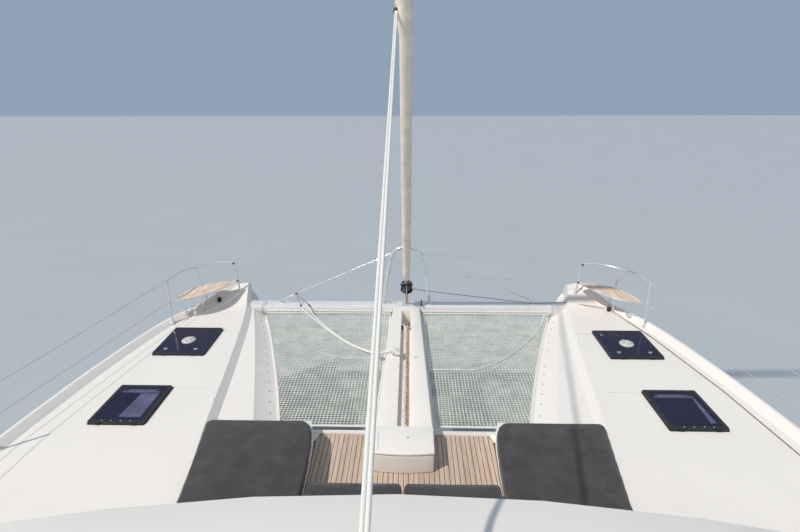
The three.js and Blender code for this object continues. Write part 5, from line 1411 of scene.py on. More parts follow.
def furler():
    up = (STAY_HEAD - STAY_FOOT).normalized()
    form = Form()
    centre = on_stay(DRUM_Z)
    form.lathe(((0.0, -0.064), (0.098, -0.064), (0.100, -0.056), (0.094, -0.050), (0.052, -0.046), (0.050, 0.046),
                (0.094, 0.050), (0.100, 0.056), (0.098, 0.064), (0.050, 0.068), (0.046, 0.095), (0.030, 0.11),
                (0.0, 0.11)), centre, up, 32, 0)
    # line wound on the drum
    turns = []
    for i in range(7 * 16):
        a, h = 2 * math.pi * i / 16, -0.038 + 0.076 * i / (7 * 16)
        side = up.orthogonal().normalized()
        turns.append(centre + up * h
                     + (side * math.cos(a) + up.cross(side) * math.sin(a)) * (0.057 + 0.003 * math.sin(i)))
    form.tube(turns, 0.0055, 6, 3)
    # guard loops
    side = Vector((1, 0, 0))
    ahead = up.cross(side)
    for turn in (0.0, math.pi / 2):
        out = side * math.cos(turn) + ahead * math.sin(turn)
        loop = [centre - up * 0.10 + out * 0.03, centre - up * 0.085 + out * 0.105, centre + up * 0.0 + out * 0.122,
                centre + up * 0.075 + out * 0.108, centre + up * 0.085 + out * 0.05]
        form.tube(smooth_curve(loop, 6), 0.0045, 6, 1)
        mirror = [p - out * 2 * (p - centre).dot(out) for p in loop]
        form.tube(smooth_curve(mirror, 6), 0.0045, 6, 1)
    form.tube([on_stay(1.97), on_stay(DRUM_Z - 0.06)], 0.016, 12, 2)
    form.tube([on_stay(2.03), on_stay(2.05), on_stay(2.15), on_stay(2.17)], 0.024, 12, 2,
              radii=[0.016, 0.024, 0.024, 0.016])
    y = on_stay(1.99).y
    for x in (-0.017, 0.017):
        form.block((x - 0.005, y - 0.028, 1.9455), (x + 0.005, y + 0.028, 2.03), 2)
    form.tube([(-0.03, y, 2.005), (0.03, y, 2.005)], 0.009, 10, 1)
    form.block((-0.075, y - 0.07, 1.9455), (0.075, y + 0.07, 1.953), 1)
    # tack lashing above the drum
    for k in range(5):
        at = on_stay(2.395 + 0.016 * k)
        form.lathe(((0.030, -0.007), (0.036, 0), (0.030, 0.007)), at, up, 14, 3)
    form.tube([on_stay(2.40) + side * 0.03, on_stay(2.455) + side * 0.05, on_stay(2.50) + side * 0.03], 0.006, 6, 1)
    form.piece("furler", [black_fitting(), stainless(), rope_braid("tan cord", (0.62, 0.50, 0.34)),
                          rope_braid("furling cord", (0.34, 0.27, 0.26))],
               "black_fittings", sharp=40, replaces=("furler_drum",))


FURL = ((2.425, 0.020), (2.470, 0.030), (2.530, 0.058), (3.200, 0.069), (6.200, 0.081), (12.0, 0.065), (18.6, 0.033),
        (18.7, 0.015), (20.34, 0.014))


def furl_radius(z):
    for (a, ra), (b, rb) in zip(FURL, FURL[1:]):
        if a <= z <= b:
            return ra + (rb - ra) * (z - a) / (b - a)
    return FURL[-1][1]


def jib():
    """The sail rolled on its stay: a skin with a spiral ledge where the cloth's edge lies, and soft creases."""
    up = (STAY_HEAD - STAY_FOOT).normalized()
    side = Vector((1, 0, 0))
    ahead = up.cross(side)
    rings, z = [], 2.425
    while z < 20.34:
        radius, sides = furl_radius(z), 28
        rolled = min(1.0, max(0.0, (radius - 0.016) / 0.03))
        lead = z * (9.0 if z < 3.4 else 2.4)
        ring = []
        for k in range(sides):
            a = 2 * math.pi * k / sides
            phase = (a - lead) / (2 * math.pi) % 1.0
            ledge = 0.93 + 0.07 * phase
            crease = 1 + 0.03 * math.sin(3 * a + z * 5.0) * noise.noise(Vector((a, z * 1.5, 2)))
            r = radius * (1 + (ledge * crease - 1) * rolled)
            ring.append(on_stay(z) + (side * math.cos(a) + ahead * math.sin(a)) * r)
        rings.append(ring)
        z += 0.028 if z < 3.2 else (0.07 if z < 8 else 0.16)
    form = Form().rings(rings)
    # sheet leads wound round the roll, and the clew
    clew = Vector((-0.095, 5.40, 6.20))
    form.rings([[on_stay(6.50) + side * -0.05, on_stay(6.42) + side * -0.07, clew + Vector((-0.02, 0.02, 0.05)),
                 on_stay(5.95) + side * -0.075, on_stay(6.0) + side * -0.06],
                [on_stay(6.50) + side * -0.06, on_stay(6.42) + side * -0.08, clew + Vector((-0.03, 0.02, 0.05)),
                 on_stay(5.95) + side * -0.085, on_stay(6.0) + side * -0.07]], 0)
    roll = form.piece("jib_roll", [sailcloth()], "sailcloth", sharp=60, replaces=("furled_jib",))
    fittings = Form()
    fittings.lathe(((0.016, 0), (0.034, 0.004), (0.036, 0.10), (0.028, 0.14), (0.0, 0.15)), on_stay(20.30), up, 20)
    fittings.lathe(((0.022, 0), (0.03, 0.01), (0.03, 0.07), (0.016, 0.09)), on_stay(18.66), up, 16)
    fittings.piece("halyard_swivels", [black_fitting()], "black_fittings")


class CATAMARAN_OT_sheet(bpy.types.Operator):
    """Jib sheet in two parts from the clew to the car on its track"""
    bl_idname = "catamaran.jib_sheet"
    bl_label = "Jib sheet"

    def execute(self, context):
        form = Form()
        clew, car = Vector((-0.095, 5.40, 6.20)), Vector((-0.068, -0.25, 3.90))
        for side in (-1, 1):
            top = clew + Vector((-0.01 + side * 0.0083, -0.03, -0.02))
            low = car + Vector((side * 0.0083, 0, 0.02))
            form.tube([top, top + (low - top) * 0.5 - Vector((0, 0, 0.004)), low], 0.0090, 12, 0)
        form.lathe(((0.0, -0.030), (0.030, -0.026), (0.036, 0), (0.030, 0.026), (0.0, 0.030)),
                   clew + Vector((-0.012, -0.045, -0.03)), (1, 0, 0), 18, 1)
        shackle(form, clew + Vector((-0.012, -0.02, -0.01)), 0.03, 0.06, 0.006, 2)
        x, y, z = car
        form.block((x - 0.038, y - 0.024, z - 0.020), (x + 0.038, y + 0.024, z + 0.006), 1)
        form.lathe(((0.0, -0.024), (0.028, -0.020), (0.034, 0), (0.028, 0.020), (0.0, 0.024)), (x, y, z + 0.028),
                   (1, 0, 0), 18, 1)
        form.piece("jib_sheet_parts", [rope_braid(), black_fitting(), stainless()], "rope", sharp=45,
                   replaces=("jib_sheet",))
        keep_solid("jib_track", black_fitting(), 0.003)
        return {"FINISHED"}


# Centre beam with the chain in its channel
class CATAMARAN_OT_centre_beam(bpy.types.Operator):
    """Centre beam with its flared foot, anchor, anchor chain, and the stain and fittings in its channel"""
    bl_idname = "catamaran.centre_beam"
    bl_label = "Centre beam"

    def execute(self, context):
        keep_solid("centre_beam", gelcoat(), 0.012, 3)
        # flared foot of the beam on each side, to which the nets are laced
        skirt = Form()
        for side in (1, -1):
            skirt.rings([[(side * (beam_half(y) + out), y, z) for out, z in
                          ((0.0015, BEAM_TOP - 0.020), (0.012, BEAM_TOP - 0.030), (0.044, NET + 0.018),
                           (0.046, NET - 0.006),
                           (0.0015, NET - 0.006))] for y in (3.96 + 0.10 * k for k in range(31))])
        skirt.piece("beam_skirts", [gelcoat()], "gelcoat", bevel=0.003)
        keep_solid("anchor", stainless(), 0.004)
        chain = Form()
        x, z, pitch = 0.022, CHANNEL_FLOOR + 0.019, 0.036
        for k in range(71):
            chain_link(chain, Vector((x, 3.947 + pitch * k, z)), Vector((0, 1, 0)), k % 2)
        chain_link(chain, Vector((x, 3.947 + pitch * 70 + 0.017, z - 0.017)), Vector((0, 0, 1)), 1)
        chain.piece("chain_links", [rusty_steel()], "rusty_chain", sharp=60, replaces=("anchor_chain",))
        trim = Form()
        stain = [(0.046 + 0.010 * math.sin(y * 6), y) for y in (3.92 + 0.14 * k for k in range(20))]
        trim.slab([(x + w, y) for w, y in [(-0.045, 3.92), (-0.05, 5.0), (-0.045, 6.40)]][::-1]
                  + [(x + w * 0.9, y) for w, y in stain if y < 6.40], CHANNEL_FLOOR + 0.0002, CHANNEL_FLOOR + 0.0012, 0)
        trim.piece("channel_stain", [stained_white()], "gelcoat")
        fittings = Form()
        # pad-eye on the starboard half, roller at the slot, small blocks at the slot's aft end
        fittings.tube(smooth_curve([(0.118, 5.35, BEAM_TOP), (0.125, 5.35, BEAM_TOP + 0.022),
                                    (0.150, 5.35, BEAM_TOP + 0.024),
                                    (0.158, 5.35, BEAM_TOP)], 4), 0.005, 8, 0)
        fittings.block((0.108, 5.335, BEAM_TOP), (0.168, 5.365, BEAM_TOP + 0.004), 0)
        fittings.lathe(((0.03, -0.035), (0.022, -0.02), (0.022, 0.02), (0.03, 0.035)), (0.022, 6.475, 1.862),
                       (1, 0, 0), 18, 1)
        for side, kind in ((-1, 1), (1, 2)):
            fittings.block((side * 0.062 - 0.012, 6.30, CHANNEL_FLOOR),
                           (side * 0.062 + 0.012, 6.40, CHANNEL_FLOOR + 0.03),
                           kind)
        fittings.piece("channel_fittings", [stainless(), black_fitting(), rusty_steel()], "stainless", bevel=0.002)
        return {"FINISHED"}


def chain_link(form, place, along, turned):
    """One oval link of 12 mm wire, flat or on its edge."""
    across = Vector((1, 0, 0))
    up = along.cross(across)
    if turned:
        across = up
    bend, straight = 0.013, 0.010
    points = []
    for k in range(12):
        a = 2 * math.pi * (k + 0.5) / 12
        points.append(place + along * (math.cos(a) * bend + math.copysign(straight, math.cos(a)))
                      + across * (math.sin(a) * bend))
    form.tube(points, 0.0058, 6, looped=True)


# Padded pieces: a firm blank, blown up a little as cloth under pressure
PAD_EDGE = ((0.016, 0.0), (0.004, 0.009), (0.0, 0.024))
SIDEWAYS = 0.3  # share of the swell that pushes a pad's walls out


def anticlockwise(outline):
    area = sum(a[0] * b[1] - b[0] * a[1] for a, b in zip(outline, [*outline[1:], outline[0]]))
    return list(outline) if area > 0 else list(outline)[::-1]


def shrunk(outline, by):
    moved, count = [], len(outline)
    for i, (x, y) in enumerate(outline):
        along = (Vector(outline[(i + 1) % count]) - Vector(outline[i - 1])).normalized()
        moved.append((x - along.y * by, y + along.x * by))
    return moved


def blown_up(mesh, cell, cap, floor):
    """The closed blank swollen by pressure, no point moved further than the cap, its underside flat."""
    scene = bpy.context.scene
    rig = bpy.data.objects.new("pad blank", mesh)
    scene.collection.objects.link(rig)
    cells = rig.modifiers.new("cells", "REMESH")
    cells.mode = "VOXEL"
    cells.voxel_size = cell
    blank = bpy.data.meshes.new_from_object(rig.evaluated_get(bpy.context.evaluated_depsgraph_get()))
    rig.modifiers.clear()
    rig.data = blank
    start = [v.co.copy() for v in blank.vertices]
    after = start
    cloth = rig.modifiers.new("cloth", "CLOTH")
    cloth.settings.use_pressure = True
    cloth.settings.uniform_pressure_force = 4
    cloth.settings.effector_weights.gravity = 0
    cloth.settings.quality = 4
    cloth.collision_settings.use_collision = False
    cloth.point_cache.frame_end = 20
    for frame in range(1, 21):
        scene.frame_set(frame)
    swollen = rig.evaluated_get(bpy.context.evaluated_depsgraph_get())
    after = [v.co.copy() for v in swollen.to_mesh().vertices]
    swollen.to_mesh_clear()
    scene.frame_set(1)
    for v, a, b in zip(blank.vertices, start, after):
        move = b - a
        if move.length > 1e-6:
            move *= cap * math.tanh(move.length / cap) / move.length
            move.x, move.y = move.x * SIDEWAYS, move.y * SIDEWAYS
        dent = 0.0035 * noise.noise(Vector((a.x * 3.1, a.y * 3.1, a.z + 7.0)))
        v.co = a + move + Vector((0, 0, dent if a.z > floor + 0.04 else 0))
        v.co.z = max(v.co.z, floor)
    bpy.data.objects.remove(rig)
    return blank


def cushion(name, outline, low, high, cloth, slot, cell=0.024, turn=None, replaces=(), corner=0.05, fill=0.75,
            body=PLATFORM):
    """A boxed cushion between two heights with a welt round its upper and lower edges."""
    cap = bpy.context.scene.boat_sizes.cushion_swell
    edge = anticlockwise(rounded(outline, corner, 4))
    top = high - low
    profile = [(by, z) for by, z in PAD_EDGE] + [(by, top - z) for by, z in reversed(PAD_EDGE)]
    form = Form().rings([[(x, y, low + z) for x, y in shrunk(edge, by)] for by, z in profile])
    blank = bpy.data.meshes.new(name)
    blank.from_pydata(form.points, [], form.faces)
    mesh = blown_up(blank, cell, cap, low)
    skin = shape_of(name, mesh)
    middle = Vector((sum(x for x, _ in edge) / len(edge), sum(y for _, y in edge) / len(edge), 0))
    welts = Form()
    for height in (low + 0.016, high - 0.010):
        path = []
        for x, y in refined_outline(edge, 0.05):
            aim = Vector((x, y, height))
            inward = (Vector((middle.x, middle.y, height)) - aim).normalized()
            hit = skin.ray_cast(aim - inward * 0.12, inward)[0]
            if hit is not None:
                path.append(hit)
        welts.tube(path, 0.0038, 6, looped=True)
    welt = bpy.data.meshes.new(f"{name}_welt")
    welt.from_pydata(welts.points, [], welts.faces)
    if turn is not None:
        mesh.transform(turn)
        welt.transform(turn)
    mesh.name = name
    made = dressed(mesh, name, [cloth], body, sharp=80, replaces=replaces)
    smooth = made.modifiers.new("soft skin", "SUBSURF")
    smooth.levels = smooth.render_levels = 1
    dressed(welt, f"{name}_welt", [cloth], body, sharp=80)
    return made


def refined_outline(outline, step):
    """The closed outline with points at least as close as a step."""
    points = []
    for a, b in zip(outline, [*outline[1:], outline[0]]):
        a, b = Vector(a), Vector(b)
        count = max(1, round((b - a).length / step))
        points += [tuple(a + (b - a) * k / count) for k in range(count)]
    return points


# Front cockpit
BENCH_EDGE = ((2.990, 0.970), (3.500, 0.975), (3.900, 1.000), (4.060, 1.040))
LOUNGE = ((0.912, 2.440), (0.918, 3.060), (0.938, 3.450), (0.970, 3.750), (1.010, 3.855), (1.085, 3.922),
          (2.115, 3.922), (2.152, 3.870), (1.990, 2.780), (1.960, 2.440))
SEAT_PAD = ((0.003, 2.400), (0.898, 2.400), (0.898, 3.000), (0.870, 3.032), (0.035, 3.032), (0.003, 3.005))


def bench_edge(y):
    for (ya, xa), (yb, xb) in zip(BENCH_EDGE, BENCH_EDGE[1:]):
        if y <= yb:
            return xa + (xb - xa) * max(0.0, y - ya) / (yb - ya)
    return BENCH_EDGE[-1][1]


def teak_floor(plank):
    """Teak planks with black seams, cut off at the corners by the bench and the centre beam."""
    form = Form()
    ys = (3.006, 3.25, 3.50, 3.70, 3.90, 3.97, 4.055)
    for side in (1, -1):
        caulk = [(0.0, 3.004)] + [(bench_edge(y) - 0.007, y) for y in ys] + [(0.0, 4.056)]
        form.slab([(side * x, y) for x, y in caulk], 1.6605, 1.6985, 1)
        x, seam = 0.0, 0.0062
        while x < 0.985:
            near, far = x + seam / 2, x + plank - seam / 2
            outer = [(min(far, bench_edge(y) - 0.009), y) for y in ys]
            outer = [(px, y) for px, y in outer if px > near + 0.006]
            if outer:
                ahead = outer[-1][1]
                inner = [(near, ahead), (near, outer[0][1])]
                shape = outer + inner
                cut = corner_cut(shape)
                form.slab([(side * px, y) for px, y in cut], 1.664, SOLE, 0)
            x += plank
    return form


def corner_cut(shape):
    """The plank without what the white corner pieces cover."""
    def allowed(x):
        return 4.055 - max(0.0, (x - 0.955) / 0.048) * 0.134 - max(0.0, (0.345 - x) / 0.035) * 0.07 * (x > 0.30)
    return [(x, min(y, max(allowed(x), 3.10))) for x, y in shape]


class CATAMARAN_OT_cockpit(bpy.types.Operator):
    """Front cockpit: teak planks, windlass locker, strip and cushions"""
    bl_idname = "catamaran.cockpit"
    bl_label = "Front cockpit"

    def execute(self, context):
        teak_floor(context.scene.boat_sizes.plank).piece("teak_planks", [teak_wood(), sealant()], "teak",
                                                         replaces=("teak_sole",))
        keep_solid("windlass_locker", gelcoat(), 0.014, 3)
        keep_solid("locker_lid", gelcoat(), 0.008, 3)
        trim = Form()
        for side in (1, -1):
            for corner in (((0.955, 4.059), (1.036, 4.059), (1.003, 3.925)),
                           ((0.345, 4.059), (0.304, 4.059), (0.304, 3.985))):
                trim.slab([(side * x, y) for x, y in corner], SOLE, SOLE + 0.004, 0)
            for x, y in ((0.690, 4.083), (0.907, 4.085)):
                trim.bolt((side * x, y, 1.720), radius=0.008, high=0.003, kind=1)
            trim.lathe(((0.014, 0), (0.014, 0.002), (0.009, 0.004), (0.0, 0.003)), (side * 0.9755, 3.498, 1.79),
                       (-side, 0, 0), 14, 2)
            # hinge bar ahead of the lounge cushion
            low = 1.711 if side > 0 else 1.690
            trim.slab([(side * x, y) for x, y in box_outline(low, low + 0.41, 3.925, 3.968, 0.012)],
                      lambda x, y: surface(x, y) - 0.004, lambda x, y: surface(x, y) + 0.016, 3)
            for share in (0.16, 0.52, 0.62, 0.84):
                x = low + 0.41 * share
                trim.bolt((side * x, 3.946, surface(x, 3.946) + 0.016), radius=0.007, high=0.003, kind=1)
        trim.piece("cockpit_trim", [gelcoat(), stainless(), grey_fitting(), black_fitting()], "gelcoat", sharp=45)
        latch = Form()
        latch.slab([(-0.281, 3.80), (-0.271, 3.80), (-0.256, 3.50), (-0.266, 3.50)], 1.9490, 1.9512, 0)
        latch.lathe(((0.013, 0), (0.013, 0.0015), (0.006, 0.002), (0.0, 0.001)), (0.043, 3.709, 1.950), sides=16,
                    kind=1)
        latch.piece("lid_latch", [gasket_grey(), grey_fitting()], "black_fittings", "locker_lid")
        for name, side in SIDES:
            cushion(f"lounge_pad_{name}", [(side * x, y) for x, y in LOUNGE], 1.887, 2.004, deck_cloth(),
                    "charcoal_cloth", 0.026, replaces=(f"lounge_cushion_{name}",), corner=0.03)
            cushion(f"seat_pad_{name}", [(side * x, y) for x, y in SEAT_PAD], 1.887, 2.000, deck_cloth(),
                    "charcoal_cloth", 0.022, replaces=(f"seat_cushion_{name}",), corner=0.03)
        return {"FINISHED"}


# Aft cockpit: seat base with cushions, table
class CATAMARAN_OT_aft_cockpit(bpy.types.Operator):
    """Aft cockpit: seat base, padded seats and backs, table"""
    bl_idname = "catamaran.aft_cockpit"
    bl_label = "Aft cockpit"

    def execute(self, context):
        base = Form()
        floor, ledge = 1.2205, 1.530
        for x0, x1, y0, y1 in ((-1.349, -0.780, -5.45, -3.515), (-1.349, 0.605, -5.99, -5.465)):
            base.slab(box_outline(x0, x1, y0, y1, 0.04), floor, ledge, 0)
            base.slab(box_outline(x0, x1 + 0.012, y0, y1 + 0.012, 0.04), ledge, ledge + 0.022, 0)
        base.slab(box_outline(-1.349, 0.615, -6.075, -5.992, 0.02), floor, 2.03, 0)
        for y in (-5.1, -4.48, -3.86):
            base.slab([(-0.779, y - 0.22), (-0.774, y - 0.22), (-0.774, y + 0.22), (-0.779, y + 0.22)], 1.28, 1.47, 1)
        base.piece("seat_base", [gelcoat(), gloss_gelcoat()], "gelcoat", bevel=0.006, replaces=("cockpit_seat",))
        top = ledge + 0.023
        pads = [(-1.343, -0.765, y, y + 0.636) for y in (-5.43, -4.786, -4.142)]
        pads += [(x, x + 0.636, -5.985, -5.445) for x in (-1.343, -0.699, -0.055)]
        for k, (x0, x1, y0, y1) in enumerate(pads):
            cushion(f"aft_seat_pad_{k + 1}", box_outline(x0, x1, y0, y1), top, top + 0.088, seat_cloth(),
                    "upholstery", 0.022, corner=0.04)
        for k, x in enumerate((-1.343, -0.699, -0.055)):
            turn = Matrix.Translation((x, -5.988, top + 0.10)) @ Matrix.Rotation(math.radians(90), 4, "X")
            turn = turn @ Matrix.Rotation(math.radians(180), 4, "Y") @ Matrix.Translation((-0.636, 0, 0))
            cushion(f"aft_back_pad_{k + 1}", box_outline(0, 0.636, 0, 0.40), 0.0, 0.085, seat_cloth(), "upholstery",
                    0.022, turn, corner=0.04)
        table = Form()
        x0, x1, y0, y1 = -0.56, 0.26, -5.20, -3.90
        for k in range(10):
            a = x0 + 0.004 + k * 0.0814
            table.slab([(a, y0 + 0.05), (a + 0.078, y0 + 0.05), (a + 0.078, y1 - 0.05), (a, y1 - 0.05)], 1.945, 1.966,
                       0)
        for ya, yb in ((y0, y0 + 0.048), (y1 - 0.048, y1)):
            table.slab(box_outline(x0, x1, ya, yb, 0.02), 1.940, 1.967, 0)
        table.slab(box_outline(x0 + 0.004, x1 - 0.004, y0 + 0.004, y1 - 0.004, 0.03), 1.931, 1.945, 1)
        table.lathe(((0.070, 0), (0.070, 0.02), (0.055, 0.03), (0.055, 0.68), (0.075, 0.70), (0.075, 0.72)),
                    (-0.15, -4.55, 1.2205), sides=28, kind=2)
        table.slab(box_outline(-0.33, 0.03, -4.75, -4.35, 0.05), 1.2205, 1.234, 2)
        for x, y in ((-0.30, -4.72), (0.0, -4.72), (-0.30, -4.38), (0.0, -4.38)):
            table.bolt((x, y, 1.234), radius=0.010, kind=2)
        table.piece("table_boards", [teak_wood("table teak", 0.95), sealant(), stainless()], "teak", bevel=0.003,
                    replaces=("cockpit_table",))
        return {"FINISHED"}


# Rails: posts and wires from the pulpit to the stern rail
POST_YS = (3.400, 1.150, -1.100, -3.400, -5.150)
WIRE_RISES = (0.330, 0.640)
RAIL_HIGH = 0.650
GUNWALE_RISE = 0.069
ARCH_LUGS = ((0.292, 7.150, 2.836, 2.950, 7.345, 2.570), (0.366, 7.140, 2.494, 2.897, 7.303, 2.270))


def rail_foot(y, inset=0.060):
    return Vector((hull_at(y, "gunwale") - inset, y, hull_at(y, "deck")))


def sagged(a, b, drop, steps=10):
    """Points of a wire between two places, with the sag that its weight gives it."""
    a, b = Vector(a), Vector(b)
    return [a + (b - a) * (k / steps) - Vector((0, 0, 4 * drop * (k / steps) * (1 - k / steps)))
            for k in range(steps + 1)]


def stern_rail(form, side):
    aft = rail_foot(-5.96, 0.700)
    feet = [rail_foot(-5.26), rail_foot(-5.84), aft]
    tops = [foot + Vector((0, 0, RAIL_HIGH)) for foot in feet]
    bend = Vector((hull_at(-5.96, "gunwale") - 0.140, -5.970, tops[2].z))
    form.tube(flipped(smooth_curve([tops[0], tops[1], bend, tops[2]], 8), side), 0.014, 12)
    for k, foot in enumerate(feet):
        low = foot.z + (GUNWALE_RISE if k < 2 else -0.002)
        place = (side * foot.x, foot.y, low)
        form.lathe(((0.036, -0.004), (0.036, 0.005), (0.021, 0.008), (0.020, 0.050), (0.0145, 0.052)), place, sides=16)
        form.tube([place, (side * foot.x, foot.y, foot.z + RAIL_HIGH + 0.002)], 0.0138, 12)
        for turn in (0.8, 2.4, 4.0, 5.6):
            form.bolt((place[0] + 0.028 * math.cos(turn), place[1] + 0.028 * math.sin(turn), low + 0.005), radius=0.004)
        form.lathe(((0.0145, -0.014), (0.018, -0.012), (0.018, 0.012), (0.0145, 0.014)),
                   (place[0], place[1], foot.z + RAIL_HIGH / 2), sides=14)
    middle = [foot + Vector((0, 0, RAIL_HIGH / 2)) for foot in feet[:2]]
    form.tube(flipped(middle, side), 0.010, 10)
    return feet[0]


def lifeline_posts(form, side):
    for y in POST_YS:
        foot = rail_foot(y)
        x, z = side * foot.x, foot.z
        form.lathe(((0.036, GUNWALE_RISE - 0.006), (0.036, GUNWALE_RISE + 0.006), (0.021, GUNWALE_RISE + 0.010),
                    (0.020, 0.150), (0.0135, 0.153)), (x, y, z), sides=16)
        form.tube([(x, y, z + 0.15), (x + side * 0.006, y, z + 0.650)], 0.0125, 12)
        form.lathe(((0.0135, 0), (0.0135, 0.004), (0.009, 0.010), (0.0, 0.012)), (x + side * 0.006, y, z + 0.646),
                   sides=12, kind=1)
        form.bolt((x, y - 0.021, z + 0.115), (0, -1, 0), 0.004)
        for rise in WIRE_RISES:
            at = Vector((x + side * 0.006 * rise / 0.655, y, z + rise))
            form.lathe(((0.0135, -0.011), (0.0155, -0.009), (0.0155, 0.009), (0.0135, 0.011)), at, sides=14, kind=1)
        for turn in (0.8, 2.4, 4.0, 5.6):
            form.bolt((x + 0.028 * math.cos(turn), y + 0.028 * math.sin(turn), z + GUNWALE_RISE + 0.006), radius=0.004)


def coated_wire():
    return plain_finish("coated wire", (0.50, 0.49, 0.47), 0.5, 0.7, mottle=0.1, scale=20.0, grain=300.0)


class CATAMARAN_OT_rails(bpy.types.Operator):
    """Lifelines with their posts, stern rails and the wires between pulpits and arch"""
    bl_idname = "catamaran.rails"
    bl_label = "Rails and lifelines"

    def execute(self, context):
        foot_x, foot_y, top_x, top_y = PULPIT_LEGS[0]
        for name, side in SIDES:
            form = Form()
            rail = stern_rail(form, side)
            lifeline_posts(form, side)
            for rise in WIRE_RISES:
                up = rise / (RAIL_Z - DECK)
                start = Vector((foot_x + (top_x - foot_x) * up + 0.002, foot_y + (top_y - foot_y) * up - 0.018,
                                DECK + rise))
                stops = [start]
                stops += [rail_foot(y) + Vector((0.006 * rise / 0.655, 0, rise)) for y in POST_YS]
                stops.append(rail + Vector((0, 0.016, rise)))
                for a, b in zip(stops, stops[1:]):
                    drop = 0.008 if (b - a).length > 1.5 else 0.002
                    form.tube(flipped(sagged(a, b, drop), side), 0.0036, 6, 2)
                ends = ((stops[0], stops[1]), (stops[-1], stops[-2]))
                for a, b in ends:
                    turnbuckle(form, *flipped((a, a + (b - a).normalized()), side), 0, 0.16, 0.0075)
            form.piece(f"lifelines_and_rail_{name}", [stainless(), black_fitting(), coated_wire()], "stainless",
                       replaces=(f"lifelines_{name}",))
            wires = Form()
            for ax, ay, az, bx, by, bz in ARCH_LUGS:
                a, b = Vector((ax, ay, az)), Vector((bx, by, bz))
                wires.tube(flipped(sagged(a, b, 0.030, 14), side), 0.0032, 6, 2)
                wires.tube(flipped([a - (b - a).normalized() * 0.05, a], side), 0.007, 8)
                for end, other in ((a, b), (b, a)):
                    along = (other - end).normalized()
                    wires.tube(flipped([end, end + along * 0.05], side), 0.0075, 8)
                wires.lathe(((0.016, -0.014), (0.020, -0.010), (0.020, 0.010), (0.016, 0.014)), (side * bx, by, bz),
                            sides=12, kind=1)
            wires.piece(f"bow_lines_{name}", [stainless(), black_fitting(), coated_wire()], "stainless")
        return {"FINISHED"}


# Cabin: panes, frames and door
CABIN_FOOT = ((0, 2.330), (0.800, 2.290), (1.500, 2.130), (2.000, 1.780), (2.330, 1.150), (2.450, 0.200),
              (2.460, -1.200), (2.420, -2.900))
CABIN_TOP = ((0, 1.130), (0.700, 1.100), (1.300, 1.000), (1.750, 0.780), (2.060, 0.380), (2.230, -0.300),
             (2.260, -1.400), (2.230, -2.900))
CABIN_FOOT_Z, WALL_TOP = 1.800, 3.420
GLASS_LOW, GLASS_HIGH = 2.330, 3.230
GLASS_AFT = -2.735


def cabin_at(place, z, out=0.0):
    """A point on the cabin's outer side: place counts the plan's corners, z is the height."""
    k = min(int(place), len(CABIN_FOOT) - 2)
    t = (z - CABIN_FOOT_Z) / (WALL_TOP - CABIN_FOOT_Z)
    ends = [Vector(CABIN_FOOT[i]).lerp(Vector(CABIN_TOP[i]), t) for i in (k, k + 1)]
    at = ends[0].lerp(ends[1], place - k)
    away = Vector((ends[0].y - ends[1].y, ends[1].x - ends[0].x)).normalized()
    return Vector((at.x + away.x * out, at.y + away.y * out, z))


def aft_end(z):
    """Where along the plan the glazing ends, just ahead of the aft wall."""
    t = (z - CABIN_FOOT_Z) / (WALL_TOP - CABIN_FOOT_Z)
    ahead, behind = -1.200 + (-1.400 + 1.200) * t, -2.900
    return 6 + (ahead - GLASS_AFT) / (ahead - behind)


